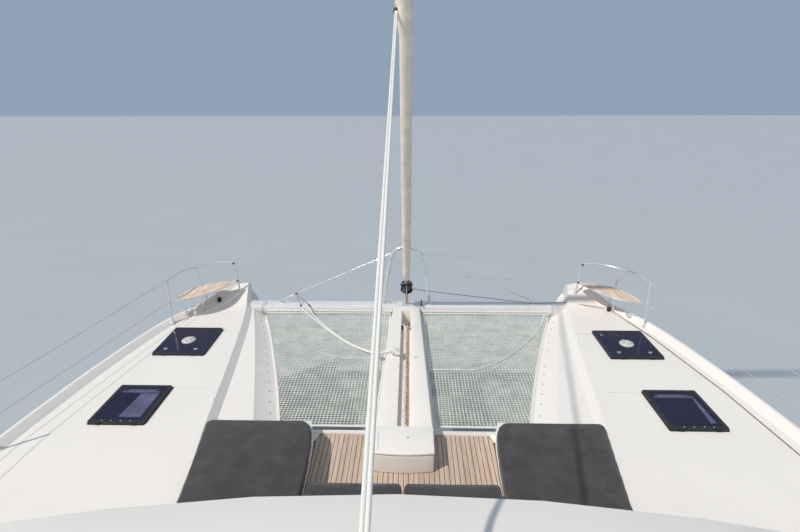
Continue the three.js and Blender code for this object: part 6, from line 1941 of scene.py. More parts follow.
class CATAMARAN_OT_cabin(bpy.types.Operator):
    """Cabin windows with their seams and frames, aft door, roof rails and skylights"""
    bl_idname = "catamaran.cabin"
    bl_label = "Cabin"

    def execute(self, context):
        for name, material, bevel in (("saloon_walls", gelcoat(), 0.010), ("saloon_glazing", cabin_glass(), 0.0),
                                      ("door_fixed_pane", cabin_glass(), 0.003),
                                      ("sliding_door", cabin_glass(), 0.004)):
            keep_solid(name, material, bevel)
        seams = Form()
        for side in (1, -1):
            for z in (GLASS_LOW + 0.004, GLASS_HIGH - 0.004):
                last = aft_end(z)
                places = [k / 2 for k in range(13)] + [6.4, 6.8, last]
                path = [cabin_at(place, z, 0.002) for place in places if place <= last]
                seams.tube(flipped(path, side), 0.007, 6, 0)
            for place in (0.75, 1.9, 2.95, 4.15, 5.2, 6.0):
                path = [cabin_at(place, z, 0.001) for z in (GLASS_LOW, 2.8, GLASS_HIGH)]
                seams.tube(flipped(path, side), 0.006, 6, 0)
            path = [cabin_at(aft_end(z), z, 0.002) for z in (GLASS_LOW, 2.8, GLASS_HIGH)]
            seams.tube(flipped(path, side), 0.007, 6, 0)
        seams.piece("window_seams", [sealant(), stainless()], "black_fittings", sharp=60)
        self.door()
        self.roof_fittings()
        return {"FINISHED"}

    def door(self):
        leaf, fixed = Form(), Form()
        for form, x0, x1, y0, y1, z0, z1 in ((leaf, -0.060, 0.960, -2.952, -2.906, 1.262, 3.278),
                                             (fixed, -0.898, 0.040, -2.890, -2.850, 1.253, 3.237)):
            wide = 0.048
            for a0, a1, c0, c1 in ((x0, x0 + wide, z0, z1), (x1 - wide, x1, z0, z1),
                                   (x0 + wide, x1 - wide, z0, z0 + wide + 0.02), (x0 + wide, x1 - wide, z1 - wide, z1)):
                form.block((a0, y0 - 0.001, c0), (a1, y1 + 0.001, c1))
        leaf.tube([(0.045, -2.956, 2.10), (0.045, -2.985, 2.13), (0.045, -2.985, 2.42), (0.045, -2.956, 2.45)], 0.009,
                  10, 1)
        leaf.lathe(((0.020, 0), (0.020, 0.006), (0.008, 0.008), (0.0, 0.007)), (-0.036, -2.952, 2.05), (0, -1, 0), 16,
                   1)
        leaf.piece("door_frame", [spar_aluminium(), stainless()], "mast_aluminium", "sliding_door", bevel=0.003)
        for z in (1.75, 2.75):
            fixed.block((-0.60, -2.846, z), (-0.26, -2.843, z + 0.012), 1)
        fixed.piece("fixed_pane_frame", [spar_aluminium(), sealant()], "mast_aluminium", bevel=0.003)
        track = Form()
        track.block((-0.985, -2.900, 3.284), (0.995, -2.868, 3.330))
        track.block((-0.985, -2.968, 3.322), (0.995, -2.868, 3.336))
        for x in (-0.80, -0.30, 0.20, 0.75):
            track.bolt((x, -2.900, 3.305), (0, -1, 0), 0.006, 0.002, 1)
        track.piece("door_track", [spar_aluminium(), black_fitting()], "mast_aluminium", bevel=0.002)

    def roof_fittings(self):
        keep_solid("coachroof", gelcoat(), 0.0)
        keep_solid("hardtop", gelcoat(), 0.010)
        roof = ("coachroof",)
        rails = Form()
        for side in (1, -1):
            top = [Vector((1.985, y, surface(1.985, y, roof) + 0.060)) for y in (-0.62, -1.10, -1.60, -2.10, -2.58)]
            ends = [Vector((1.985, y, surface(1.985, y, roof) - 0.002)) for y in (-0.55, -2.65)]
            rails.tube(flipped(smooth_curve([ends[0], *top, ends[1]], 5), side), 0.0125, 12)
            for y in (-0.55, -1.35, -1.95, -2.65):
                z = surface(1.985, y, roof)
                rails.lathe(((0.030, -0.003), (0.030, 0.004), (0.016, 0.007), (0.013, 0.030)), (side * 1.985, y, z),
                            sides=14)
                if -2.6 < y < -0.6:
                    rails.tube([(side * 1.985, y, z), (side * 1.985, y, z + 0.058)], 0.010, 10)
        rails.piece("roof_rails", [stainless()], "stainless")
        lights = Form()
        for x in (-1.05, 1.05):
            frame_at = box_outline(x - 0.26, x + 0.26, -2.36, -1.84, 0.05)
            glass_at = box_outline(x - 0.215, x + 0.215, -2.315, -1.885, 0.04)
            on = lambda px, py: surface(px, py, roof)
            lights.slab(frame_at, lambda px, py: on(px, py) - 0.006, lambda px, py: on(px, py) + 0.018, 0)
            lights.slab(glass_at, lambda px, py: on(px, py) + 0.006, lambda px, py: on(px, py) + 0.024, 1)
        lights.piece("skylights", [black_fitting(), smoked_glass()], "dark_glass", bevel=0.004)
        top = Form()
        edge = ("hardtop",)
        for side in (1, -1):
            rail = [Vector((1.93, y, surface(1.93, y, edge, 4.4) + 0.055)) for y in (-3.52, -4.10, -4.80, -5.42)]
            feet = [Vector((1.93, y, surface(1.93, y, edge, 4.4) - 0.002)) for y in (-3.45, -5.50)]
            top.tube(flipped(smooth_curve([feet[0], *rail, feet[1]], 5), side), 0.0125, 12)
            for y in (-3.45, -4.45, -5.50):
                z = surface(1.93, y, edge, 4.4)
                top.lathe(((0.028, -0.003), (0.028, 0.004), (0.015, 0.007), (0.012, 0.028)), (side * 1.93, y, z),
                          sides=14)
                if y == -4.45:
                    top.tube([(side * 1.93, y, z), (side * 1.93, y, z + 0.053)], 0.010, 10)
            # stern light and horn on the aft edge
            top.lathe(((0.022, -0.02), (0.028, 0), (0.028, 0.030), (0.018, 0.044), (0.0, 0.046)),
                      (side * 1.2, -6.02, surface(1.2, -6.02, edge, 4.4)), sides=16, kind=1)
        top.piece("hardtop_fittings", [stainless(), grey_fitting()], "stainless")


# Rig: mast, boom, sail bag and shrouds
MAST_TOP = 23.400
HOUNDS = 20.400
SPREADER_Z, SPREADER_TIP = 11.800, (1.350, -1.520)
BOOM_FORE, BOOM_AFT = -1.330, -7.050
BOOM_WIDE, BOOM_HIGH = 0.088, 0.123
BAG = ((-1.520, 0.760, 0.150), (-2.600, 0.700, 0.190), (-4.600, 0.520, 0.175), (-6.500, 0.330, 0.130),
       (-6.850, 0.240, 0.090))
BAG_LOW = BOOM_Z + 0.062


def along_rows(rows, at, column):
    """A value between the rows, where the first column rises or falls steadily."""
    for a, b in zip(rows, rows[1:]):
        if min(a[0], b[0]) <= at <= max(a[0], b[0]):
            return a[column] + (b[column] - a[column]) * (at - a[0]) / (b[0] - a[0])
    return rows[-1][column]


def bag_section(y, fold):
    high, wide = along_rows(BAG, y, 1), along_rows(BAG, y, 2)
    half = [(0.70, 0.0), (0.93, 0.12), (1.0, 0.32), (0.95, 0.52), (0.84, 0.72), (0.60, 0.88), (0.24, 0.975)]
    points = []
    for side in (-1, 1):
        part = [(side * wide * across, high * up) for across, up in (half if side < 0 else reversed(half))]
        points += part if side > 0 else part
        if side < 0:
            points.append((0.0, high * 0.99))
    ring = []
    for k, (x, up) in enumerate(points):
        share = up / high
        slack = 0.012 * math.sin(fold + k * 1.3) * math.sin(math.pi * min(1.0, share + 0.05))
        dimple = 0.010 * noise.noise(Vector((x * 4, y * 2.2, up * 5)))
        ring.append((x * (1 - 0.04) + (slack + dimple) * (1 if x > 0 else -1 if x < 0 else 0), y, BAG_LOW + up))
    return ring


def sail_bag():
    form = Form()
    ys = [-1.520 - 5.33 * k / 64 for k in range(65)]
    rings = [bag_section(y, y * 3.4) for y in ys]
    form.rings(rings)
    return form


class CATAMARAN_OT_rig(bpy.types.Operator):
    """Mast, spreaders, shrouds, boom and the bag along it"""
    bl_idname = "catamaran.rig"
    bl_label = "Rig"

    def execute(self, context):
        keep_solid("mast", spar_aluminium(), 0.0)
        keep_solid("boom", spar_aluminium(), 0.0)
        self.mast()
        self.shrouds()
        self.boom()
        return {"FINISHED"}

    def mast(self):
        form = Form()
        face = MAST_Y - 0.150
        form.block((-0.016, face - 0.016, 4.95), (0.016, face + 0.010, 20.5), 0)
        form.block((-0.024, face - 0.020, 4.95), (0.024, face - 0.014, 20.5), 0)
        for k in range(26):
            form.bolt((0, face - 0.020, 5.1 + k * 0.6), (0, -1, 0), 0.007, 0.002, 1)
        # halyards along the mast's fore and aft sides, taut
        for x, y, high in ((0.060, MAST_Y + 0.160, 20.2), (-0.060, MAST_Y + 0.160, 16.4), (0.052, face - 0.012, 22.6),
                           (-0.052, face - 0.012, 22.6)):
            form.tube([(x, y, 4.25), (x * 0.9, y, 12.0), (x * 0.7, y, high)], 0.006, 6, 2)
        for z in (4.30, 16.4, 20.2):
            for x in (0.060, -0.060):
                form.lathe(((0.020, -0.03), (0.026, -0.02), (0.026, 0.02), (0.020, 0.03)), (x, MAST_Y + 0.150, z),
                           sides=12, kind=1)
        # steaming and deck light, halfway up the front
        form.lathe(((0.030, 0), (0.045, 0.02), (0.045, 0.06), (0.034, 0.08), (0.0, 0.085)), (0, MAST_Y + 0.148, 11.4),
                   (0, 1, 0), 18, 1)
        # masthead: sheave box, crane, light, wind vane
        form.block((-0.050, MAST_Y - 0.30, MAST_TOP - 0.045), (0.050, MAST_Y + 0.16, MAST_TOP - 0.012), 1)
        form.lathe(((0.030, -0.01), (0.030, 0.05), (0.024, 0.075), (0.0, 0.080)), (0.0, MAST_Y + 0.04, MAST_TOP - 0.01),
                   sides=18, kind=1)
        form.tube([(0, MAST_Y - 0.2, MAST_TOP - 0.02), (0, MAST_Y - 0.2, MAST_TOP + 0.35)], 0.004, 8, 1)
        form.tube([(0, MAST_Y - 0.42, MAST_TOP + 0.35), (0, MAST_Y + 0.05, MAST_TOP + 0.35)], 0.0035, 8, 1)
        form.block((-0.002, MAST_Y - 0.44, MAST_TOP + 0.32), (0.002, MAST_Y - 0.34, MAST_TOP + 0.38), 1)
        form.tube([(0.03, MAST_Y - 0.1, MAST_TOP - 0.02), (0.03, MAST_Y - 0.1, MAST_TOP + 0.55)], 0.0025, 6, 1)
        for side in (1, -1):
            tip = Vector((side * SPREADER_TIP[0], SPREADER_TIP[1], SPREADER_Z + 0.09))
            form.lathe(((0.028, -0.03), (0.034, -0.01), (0.034, 0.02), (0.020, 0.04), (0.0, 0.042)), tip,
                       (side, -0.25, 0.05), 16, 1)
            root = Vector((side * 0.085, MAST_Y - 0.03, SPREADER_Z))
            form.lathe(((0.062, 0), (0.062, 0.03), (0.050, 0.05)), root, (side, -0.25, 0.05), 18, 0)
            # blocks round the mast's foot, from which the halyards run aft
            for k in range(3):
                place = Vector((side * (0.26 + 0.02 * k), MAST_Y - 0.22 + 0.20 * k, 0))
                place.z = surface(abs(place.x), place.y, ("coachroof",))
                form.lathe(((0.034, -0.002), (0.034, 0.010), (0.014, 0.012), (0.014, 0.040), (0.036, 0.044),
                            (0.040, 0.052), (0.040, 0.056), (0.026, 0.066), (0.026, 0.070), (0.040, 0.080),
                            (0.040, 0.084), (0.0, 0.088)), place, sides=18, kind=1)
        form.piece("mast_fittings", [spar_aluminium(), black_fitting(), rope_braid()], "mast_aluminium", sharp=45)

    def shrouds(self):
        for name, side in SIDES:
            form = Form()
            x, y = 4.120, -2.150
            low = hull_at(y, "deck") + 0.060
            form.block((side * x - 0.055, y - 0.042, low - 0.118), (side * x + 0.055, y + 0.042, low - 0.050), 0)
            for shift in (-0.022, 0.022):
                form.slab([(side * x + shift - 0.006, y - 0.035), (side * x + shift + 0.006, y - 0.035),
                           (side * x + shift + 0.006, y + 0.035), (side * x + shift - 0.006, y + 0.035)],
                          low - 0.055, low + 0.055, 0)
            heads = (Vector((0.150, MAST_Y - 0.070, HOUNDS)), Vector((0.150, MAST_Y - 0.070, SPREADER_Z - 0.160)))
            for k, (head, radius) in enumerate(zip(heads, (0.0075, 0.0065))):
                foot = Vector((x - 0.012 + 0.024 * (1 - k), y - 0.014 + 0.028 * k, low))
                form.tube(flipped([foot, head], side), radius, 8, 0)
                turnbuckle(form, *flipped((foot, head), side), 0, 0.42, 0.017)
                form.tube(flipped([head - (head - foot).normalized() * 0.14, head], side), radius * 1.7, 10, 0)
                form.block((side * 0.113 - 0.004, head.y - 0.035, head.z - 0.06),
                           (side * 0.150 + 0.010 * side, head.y + 0.035, head.z + 0.06), 0)
            form.bolt((side * x - 0.030, y, low), (-1, 0, 0), 0.012, 0.008)
            form.bolt((side * x + 0.030, y, low), (1, 0, 0), 0.012, 0.008)
            form.piece(f"shroud_set_{name}", [stainless()], "stainless", sharp=45, replaces=(f"shrouds_{name}",))

    def boom(self):
        form = Form()
        # cap with sheaves, outhaul, vang lug and reef blocks underneath
        for ends in ((BOOM_AFT + 0.030, BOOM_AFT - 0.012), (BOOM_FORE - 0.105, BOOM_FORE - 0.150)):
            form.rings([[(BOOM_WIDE * math.cos(a), y, BOOM_Z + BOOM_HIGH * math.sin(a)) for a in turn_of(24)]
                        for y in ends], 1)
        for x in (-0.045, -0.015, 0.015, 0.045):
            form.lathe(((0.030, -0.007), (0.024, -0.003), (0.024, 0.003), (0.030, 0.007)),
                       (x, BOOM_AFT - 0.018, BOOM_Z + 0.02),
                       (1, 0, 0), 16, 2)
        for y in (-3.30, -4.70, -6.20):
            form.block((-0.022, y - 0.05, BOOM_Z - 0.128), (0.022, y + 0.05, BOOM_Z - 0.116), 2)
            shackle(form, (0, y, BOOM_Z - 0.128 - 0.045), 0.03, 0.045, 0.005, 2)
            form.lathe(((0.028, -0.014), (0.034, -0.010), (0.020, -0.004), (0.020, 0.004), (0.034, 0.010),
                        (0.028, 0.014)),
                       (0, y, BOOM_Z - 0.195), (1, 0, 0), 18, 1)
        for side in (1, -1):
            form.block((side * 0.082, -6.9, BOOM_Z - 0.01), (side * 0.090, -1.60, BOOM_Z + 0.01), 0)
            for y in (-2.2, -3.6, -5.0, -6.4):
                form.bolt((side * 0.089, y, BOOM_Z), (side, 0, 0), 0.010, 0.004, 2)
        # the part of the main sheet that is led along the boom, through the blocks under it
        lead = [(0, BOOM_AFT + 0.300, BOOM_Z - 0.105), (0, BOOM_AFT + 0.330, BOOM_Z - 0.180)]
        for y in (-6.20, -4.70, -3.30):
            lead += [(0, y - 0.750, BOOM_Z - 0.232), (0, y, BOOM_Z - 0.224)] if y > -6 else [(0, y, BOOM_Z - 0.224)]
        lead += [(0, BOOM_FORE - 0.330, BOOM_Z - 0.190), (0, BOOM_FORE - 0.280, BOOM_Z - 0.105)]
        Form().tube(smooth_curve(lead, 6), 0.006, 8).piece("main_sheet", [rope_braid()], "rope", "boom", sharp=80)
        form.piece("boom_fittings", [spar_aluminium(), black_fitting(), stainless()], "mast_aluminium", "boom",
                   sharp=45, replaces=())
        bag = sail_bag().piece("sail_bag_cloth", [bag_cloth()], "bag_cloth", "boom", sharp=80, replaces=("sail_bag",))
        smooth = bag.modifiers.new("soft skin", "SUBSURF")
        smooth.levels = smooth.render_levels = 1
        trim = Form()
        top = [(0.0, y, BAG_LOW + along_rows(BAG, y, 1) * 0.992) for y in [-1.60 - 5.2 * k / 40 for k in range(41)]]
        trim.tube(top, 0.010, 8, 1)
        for side in (1, -1):
            for y in (-1.62, -2.60, -3.70, -4.80, -5.90, -6.70):
                ring = [p for p in bag_section(y, y * 3.4) if p[0] * side >= 0]
                ring = ring if side < 0 else ring[::-1]
                path = [Vector(p) + Vector((side * 0.003, 0, 0.001)) for p in ring]
                trim.tube(smooth_curve(path, 2), 0.006, 6, 0)
        trim.piece("bag_seams", [bag_cloth(), black_braid()], "bag_cloth", "boom", sharp=80)


# Helm station: moulded desk, wheel, bench and winches
WHEEL = Vector((1.860, -3.520, 2.720))
WHEEL_RADIUS = 0.400
WINCH_XS, WINCH_Y = (1.640, 1.960), -3.285


def winch(form, place):
    """A two-speed winch: base, grooved drum, self-tailing jaws and socket."""
    profile = [(0.078, -0.004), (0.078, 0.012), (0.070, 0.020), (0.056, 0.030)]
    for k in range(6):
        z = 0.032 + k * 0.010
        profile += [(0.0505, z), (0.0525, z + 0.005)]
    profile += [(0.058, 0.094), (0.070, 0.104), (0.070, 0.108), (0.048, 0.112), (0.048, 0.116), (0.070, 0.121),
                (0.070, 0.128), (0.060, 0.138), (0.030, 0.144), (0.014, 0.144), (0.013, 0.130), (0.0, 0.130)]
    form.lathe(profile, place, sides=28, kind=0)
    x, y, z = place
    form.block((x - 0.016, y + 0.050, z + 0.096), (x + 0.016, y + 0.084, z + 0.126), 1)
    for a in (0.5, 1.55, 2.6, 3.65, 4.7, 5.75):
        form.bolt((x + 0.068 * math.cos(a), y + 0.068 * math.sin(a), z + 0.016), radius=0.004, high=0.002, kind=0)


class CATAMARAN_OT_helm(bpy.types.Operator):
    """Helm station with its desk, bench and winches, and the steering wheel"""
    bl_idname = "catamaran.helm"
    bl_label = "Helm"

    def execute(self, context):
        self.station()
        self.wheel()
        return {"FINISHED"}

    def station(self):
        form = Form()
        desk = [(-3.158, 2.014), (-3.152, 2.955), (-3.238, 2.997), (-3.416, 2.898), (-3.418, 2.800), (-3.330, 2.700),
                (-3.330, 2.200), (-3.350, 2.014)]
        form.rings([[(x, y, z) for y, z in desk] for x in (1.482, 1.50, 2.10, 2.118)], 0)
        floor = [(1.442, -4.978), (2.398, -4.978), (2.398, -3.152), (1.442, -3.152)]
        form.slab(rounded(floor, 0.06, 4), 1.952, 2.008, 0)
        # footwell grating and bench
        for k in range(7):
            y = -4.36 + k * 0.118
            form.block((1.52, y, 2.008), (2.30, y + 0.100, 2.018), 1)
        seat = box_outline(1.502, 2.298, -4.898, -4.472, 0.05)
        form.slab(seat, 2.008, 2.395, 0)
        form.slab(box_outline(1.492, 2.308, -4.898, -4.458, 0.05), 2.395, 2.420, 0)
        back = [(-4.958, 2.008), (-4.958, 2.955), (-4.930, 2.958), (-4.905, 2.940), (-4.888, 2.44), (-4.888, 2.008)]
        form.rings([[(x, y, z) for y, z in back] for x in (1.502, 1.52, 2.28, 2.298)], 0)
        form.piece("helm_mould", [gelcoat(), teak_wood("grating teak", 0.9)], "gelcoat", bevel=0.010,
                   segments=3, replaces=("helm_station",))
        cushion("helm_seat_pad", box_outline(1.515, 2.285, -4.878, -4.470), 2.421, 2.496, seat_cloth(), "upholstery",
                0.020, corner=0.04)
        upright = Matrix.Translation((1.520, -4.884, 2.52)) @ Matrix.Rotation(math.radians(90), 4, "X")
        upright = upright @ Matrix.Rotation(math.radians(180), 4, "Y") @ Matrix.Translation((-0.76, 0, 0))
        cushion("helm_back_pad", box_outline(0, 0.76, 0, 0.38), 0.0, 0.055, seat_cloth(), "upholstery", 0.020, upright,
                corner=0.04)
        # instruments on the sloping face, throttle, line clutches, winches
        fit = Form()
        slope = Vector((0, -0.178, -0.099)).normalized()
        normal = Vector((0, -slope.z, slope.y)) * -1
        if normal.z < 0:
            normal = -normal

        def on_face(x, down, high=0.0):
            return Vector((x, -3.238, 2.997)) + slope * down + normal * high

        def screen(x0, x1, d0, d1, high, kind):
            fit.rings([[on_face(x, d, h) for x, d in rounded(((x0, d0), (x1, d0), (x1, d1), (x0, d1)), 0.008, 3)]
                       for h in (-0.002, high)], kind)
        screen(1.72, 2.00, 0.022, 0.182, 0.010, 1)
        screen(1.735, 1.985, 0.034, 0.170, 0.012, 2)
        for k, x in enumerate((1.545, 1.640)):
            screen(x - 0.042, x + 0.042, 0.040, 0.122, 0.009, 1)
            screen(x - 0.033, x + 0.033, 0.050, 0.112, 0.011, 2)
        for x in (1.53, 1.57, 1.61, 1.65):
            fit.lathe(((0.007, 0), (0.007, 0.006), (0.0, 0.007)), on_face(x, 0.155), normal, 12, 1)
        base = on_face(2.06, 0.10, 0.0)
        fit.lathe(((0.040, -0.003), (0.040, 0.010), (0.026, 0.030), (0.0, 0.034)), base, normal, 20, 0)
        for shift in (-0.020, 0.020):
            lever = [base + Vector((shift, 0, 0)) + normal * 0.02,
                     base + Vector((shift * 1.4, 0.01, 0)) + normal * 0.09,
                     base + Vector((shift * 1.5, 0.012, 0)) + normal * 0.105]
            fit.tube(lever, 0.006, 10, 0)
            fit.lathe(((0.006, -0.004), (0.013, 0.002), (0.013, 0.012), (0.006, 0.018), (0.0, 0.019)), lever[-1],
                      normal, 14, 1)
        compass = Vector((1.86, -3.196, 2.974))
        fit.lathe(((0.050, 0.0), (0.052, 0.008), (0.044, 0.014), (0.042, 0.020)), compass, (0, 0.2, 1), 24, 1)
        fit.lathe(((0.040, 0.016), (0.036, 0.030), (0.022, 0.041), (0.0, 0.045)), compass, (0, 0.2, 1), 24, 2)
        for x in WINCH_XS:
            winch(fit, (x, WINCH_Y, 2.950))
        for k in range(4):
            x = 1.745 + k * 0.032
            fit.block((x, -3.345, 2.945), (x + 0.026, -3.270, 2.992), 1)
            fit.block((x + 0.003, -3.350, 2.990), (x + 0.023, -3.300, 3.004), 0)
        # column behind the wheel
        fit.lathe(((0.075, 0), (0.075, 0.012), (0.048, 0.022), (0.044, 0.060), (0.044, 0.066)),
                  (WHEEL.x, -3.395, WHEEL.z), (0, -1, 0), 24, 1)
        fit.rings([[(WHEEL.x + 0.10 * c, y, WHEEL.z + 0.12 * s - (0 if s > 0 else 0.05)) for c, s in
                    ((math.cos(2 * math.pi * k / 20), math.sin(2 * math.pi * k / 20)) for k in range(20))]
                   for y in (-3.328, -3.400)], 3)
        fit.piece("helm_fittings", [stainless(), black_fitting(), smoked_glass(), gelcoat()], "stainless", sharp=45)

    def wheel(self):
        form, count = Form(), 56
        rings = []
        for k in range(count):
            a = 2 * math.pi * k / count
            out = Vector((math.cos(a), 0, math.sin(a)))
            middle = WHEEL + out * WHEEL_RADIUS
            grip = 0.0155 + 0.0006 * (k % 2)
            rings.append([middle + (out * math.cos(b) + Vector((0, 1, 0)) * math.sin(b)) * grip
                          for b in turn_of(12)])
        form.rings(rings, 0, looped=True)
        # hand stitching inside the leather
        for k in range(112):
            a = 2 * math.pi * (k + 0.5) / 112
            out = Vector((math.cos(a), 0, math.sin(a)))
            across = Vector((-math.sin(a), 0, math.cos(a)))
            at = WHEEL + out * (WHEEL_RADIUS - 0.0160)
            form.tube([at - across * 0.004 - Vector((0, 0.004, 0)), at - out * 0.0008,
                       at + across * 0.004 + Vector((0, 0.004, 0))],
                      0.0009, 5, 2)
        for k in range(5):
            a = math.pi / 2 + k * 2 * math.pi / 5
            out, across = Vector((math.cos(a), 0, math.sin(a))), Vector((-math.sin(a), 0, math.cos(a)))
            rings = []
            for r, wide, thick, lean in ((0.034, 0.020, 0.008, 0.0), (0.10, 0.012, 0.006, 0.006),
                                         (0.25, 0.009, 0.005, 0.004),
                                         (0.36, 0.009, 0.005, 0.0), (WHEEL_RADIUS - 0.006, 0.013, 0.006, 0.0)):
                at = WHEEL + out * r - Vector((0, lean, 0))
                rings.append([at + across * wide * math.cos(b) + Vector((0, thick * math.sin(b), 0))
                              for b in turn_of(10)])
            form.rings(rings, 1)
        form.lathe(((0.046, -0.028), (0.048, -0.020), (0.048, 0.020), (0.044, 0.028), (0.030, 0.032), (0.020, 0.034),
                    (0.0, 0.034)), WHEEL, (0, -1, 0), 28, 1)
        for k in range(6):
            a = 2 * math.pi * k / 6
            form.bolt(WHEEL + Vector((0.034 * math.cos(a), -0.030, 0.034 * math.sin(a))), (0, -1, 0), 0.005, 0.003, 1)
        form.piece("wheel_leather_rim", [leather(), stainless(), grey_fitting()], "black_fittings", "wheel", sharp=50,
                   replaces=("steering_wheel",))


def leather():
    return plain_finish("black leather", (0.028, 0.026, 0.026), 0.45, 0.65, mottle=0.25, scale=40.0, grain=700.0,
                        depth=0.0006, strength=0.5)


# Saloon: lounge with padded seats, table and galley, seen through the glass and the door
class CATAMARAN_OT_saloon(bpy.types.Operator):
    """Saloon lounge, table and galley"""
    bl_idname = "catamaran.saloon"
    bl_label = "Saloon"

    def execute(self, context):
        form = Form()
        low, base = 1.2515, 1.580
        form.slab([(-1.338, -1.398), (-0.715, -1.398), (-0.715, 0.915), (0.698, 0.915), (0.698, 1.498),
                   (-1.338, 1.498)],
                  low, base, 0)
        form.slab([(-1.338, -1.398), (-0.702, -1.398), (-0.702, 0.902), (0.698, 0.902), (0.698, 1.498),
                   (-1.338, 1.498)],
                  base, base + 0.018, 1)
        for y in (-1.1, -0.35, 0.40):
            form.block((-0.714, y - 0.30, 1.33), (-0.709, y + 0.30, 1.52), 0)
            form.lathe(((0.010, 0), (0.010, 0.004), (0.0, 0.005)), (-0.709, y, 1.47), (1, 0, 0), 12, 3)
        form.slab(box_outline(-0.560, 0.200, -0.500, 0.500, 0.08), 1.942, 1.974, 1)
        form.lathe(((0.115, 0), (0.115, 0.012), (0.060, 0.026), (0.055, 0.06), (0.055, 0.66), (0.11, 0.688)),
                   (-0.180, 0.0, low + 0.002), sides=24, kind=3)
        # galley: cabinet, worktop with a sink and a hob
        form.block((0.768, -2.292, low + 0.09), (1.338, 1.292, 2.112), 0)
        form.block((0.800, -2.292, low), (1.338, 1.292, low + 0.09), 4)
        form.block((0.760, -2.300, 2.112), (1.340, 1.300, 2.148), 2)
        for k in range(6):
            y = -2.27 + k * 0.594
            for z0, z1 in ((1.36, 1.86), (1.875, 2.095)):
                form.block((0.762, y, z0), (0.7675, y + 0.575, z1), 1)
            form.tube([(0.745, y + 0.20, 1.985), (0.745, y + 0.375, 1.985)], 0.005, 8, 3)
            for end in (0.21, 0.365):
                form.tube([(0.745, y + end, 1.985), (0.764, y + end, 1.985)], 0.004, 8, 3)
        form.block((0.600, 0.952, low), (0.762, 1.248, 1.498), 0)
        # the sink is drawn flat: a steel rim with a black sheet inside it, painted shade standing for the basin's
        # hollow
        form.slab(box_outline(0.86, 1.26, -0.80, -0.36, 0.05), 2.146, 2.1495, 3)
        form.slab(box_outline(0.89, 1.23, -0.77, -0.39, 0.04), 2.147, 2.1498, 4)
        form.slab(box_outline(0.86, 1.26, 0.20, 0.78, 0.02), 2.146, 2.1496, 4)
        form.tube([(1.28, -0.58, 2.148), (1.28, -0.58, 2.1499)], 0.012, 10, 3)
        form.piece("saloon_joinery", [cabinet_wood(), table_wood(), worktop(), stainless(), black_fitting()],
                   "upholstery",
                   bevel=0.004, replaces=("saloon_furniture",))
        top = base + 0.019
        seats = [(-1.330, -0.712, y, y + 0.752) for y in (-1.390, -0.630, 0.130)]
        seats += [(-1.330, -0.712, 0.910, 1.490), (-0.700, -0.010, 0.910, 1.490), (0.000, 0.690, 0.910, 1.490)]
        for k, (x0, x1, y0, y1) in enumerate(seats):
            cushion(f"saloon_pad_{k + 1}", box_outline(x0, x1, y0, y1), top, top + 0.076, saloon_cloth(), "upholstery",
                    0.030, corner=0.04)
        return {"FINISHED"}


def cabinet_wood():
    return plain_finish("pale oak", (0.42, 0.31, 0.20), 0.4, 0.55, mottle=0.18, scale=14.0, grain=90.0, depth=0.0003)


def table_wood():
    return plain_finish("oiled oak", (0.34, 0.23, 0.14), 0.3, 0.45, mottle=0.22, scale=12.0, grain=90.0, depth=0.0003)


def worktop():
    return plain_finish("grey worktop", (0.38, 0.38, 0.37), 0.25, 0.4, mottle=0.25, scale=60.0, grain=400.0, coat=0.2)


def saloon_cloth():
    return woven("pebble cloth", (0.50, 0.47, 0.43), 420.0, 0.12, sheen=0.2)


# Hull details: long windows, engine lids, stern steps and cleats
HULL_WINDOWS = ((3.10, 1.30, 1.18, 0.26), (0.90, -1.30, 1.20, 0.28), (-1.75, -3.60, 1.20, 0.26))


def on_side(y, z, side, out):
    return Vector((side * (topside(y, z) + out), y, z))


def side_patch(form, side, y0, y1, z, high, out, kind, steps=24):
    """A rounded, flush panel on a hull's outer side, from y0 aft to y1."""
    rows, radius, long = [], high * 0.36, abs(y1 - y0)
    ends = [radius * (1 - math.cos(math.pi / 2 * k / 7)) for k in range(8)]
    for end in [*ends, *(long * k / steps for k in range(1, steps) if radius < long * k / steps < long - radius),
                *(long - e for e in reversed(ends))]:
        short = max(0.0, radius - min(end, long - end))
        half = high / 2 - radius + (radius * radius - short * short) ** 0.5
        y = y0 + (y1 - y0) * end / long
        rows.append([on_side(y, z + half * v, side, out) for v in (-1, -0.5, 0, 0.5, 1)])
    inside = [[p - Vector((side * 0.012, 0, 0)) for p in row] for row in rows]
    form.rings([[*outer, *reversed(inner)] for outer, inner in zip(rows, inside)], kind)


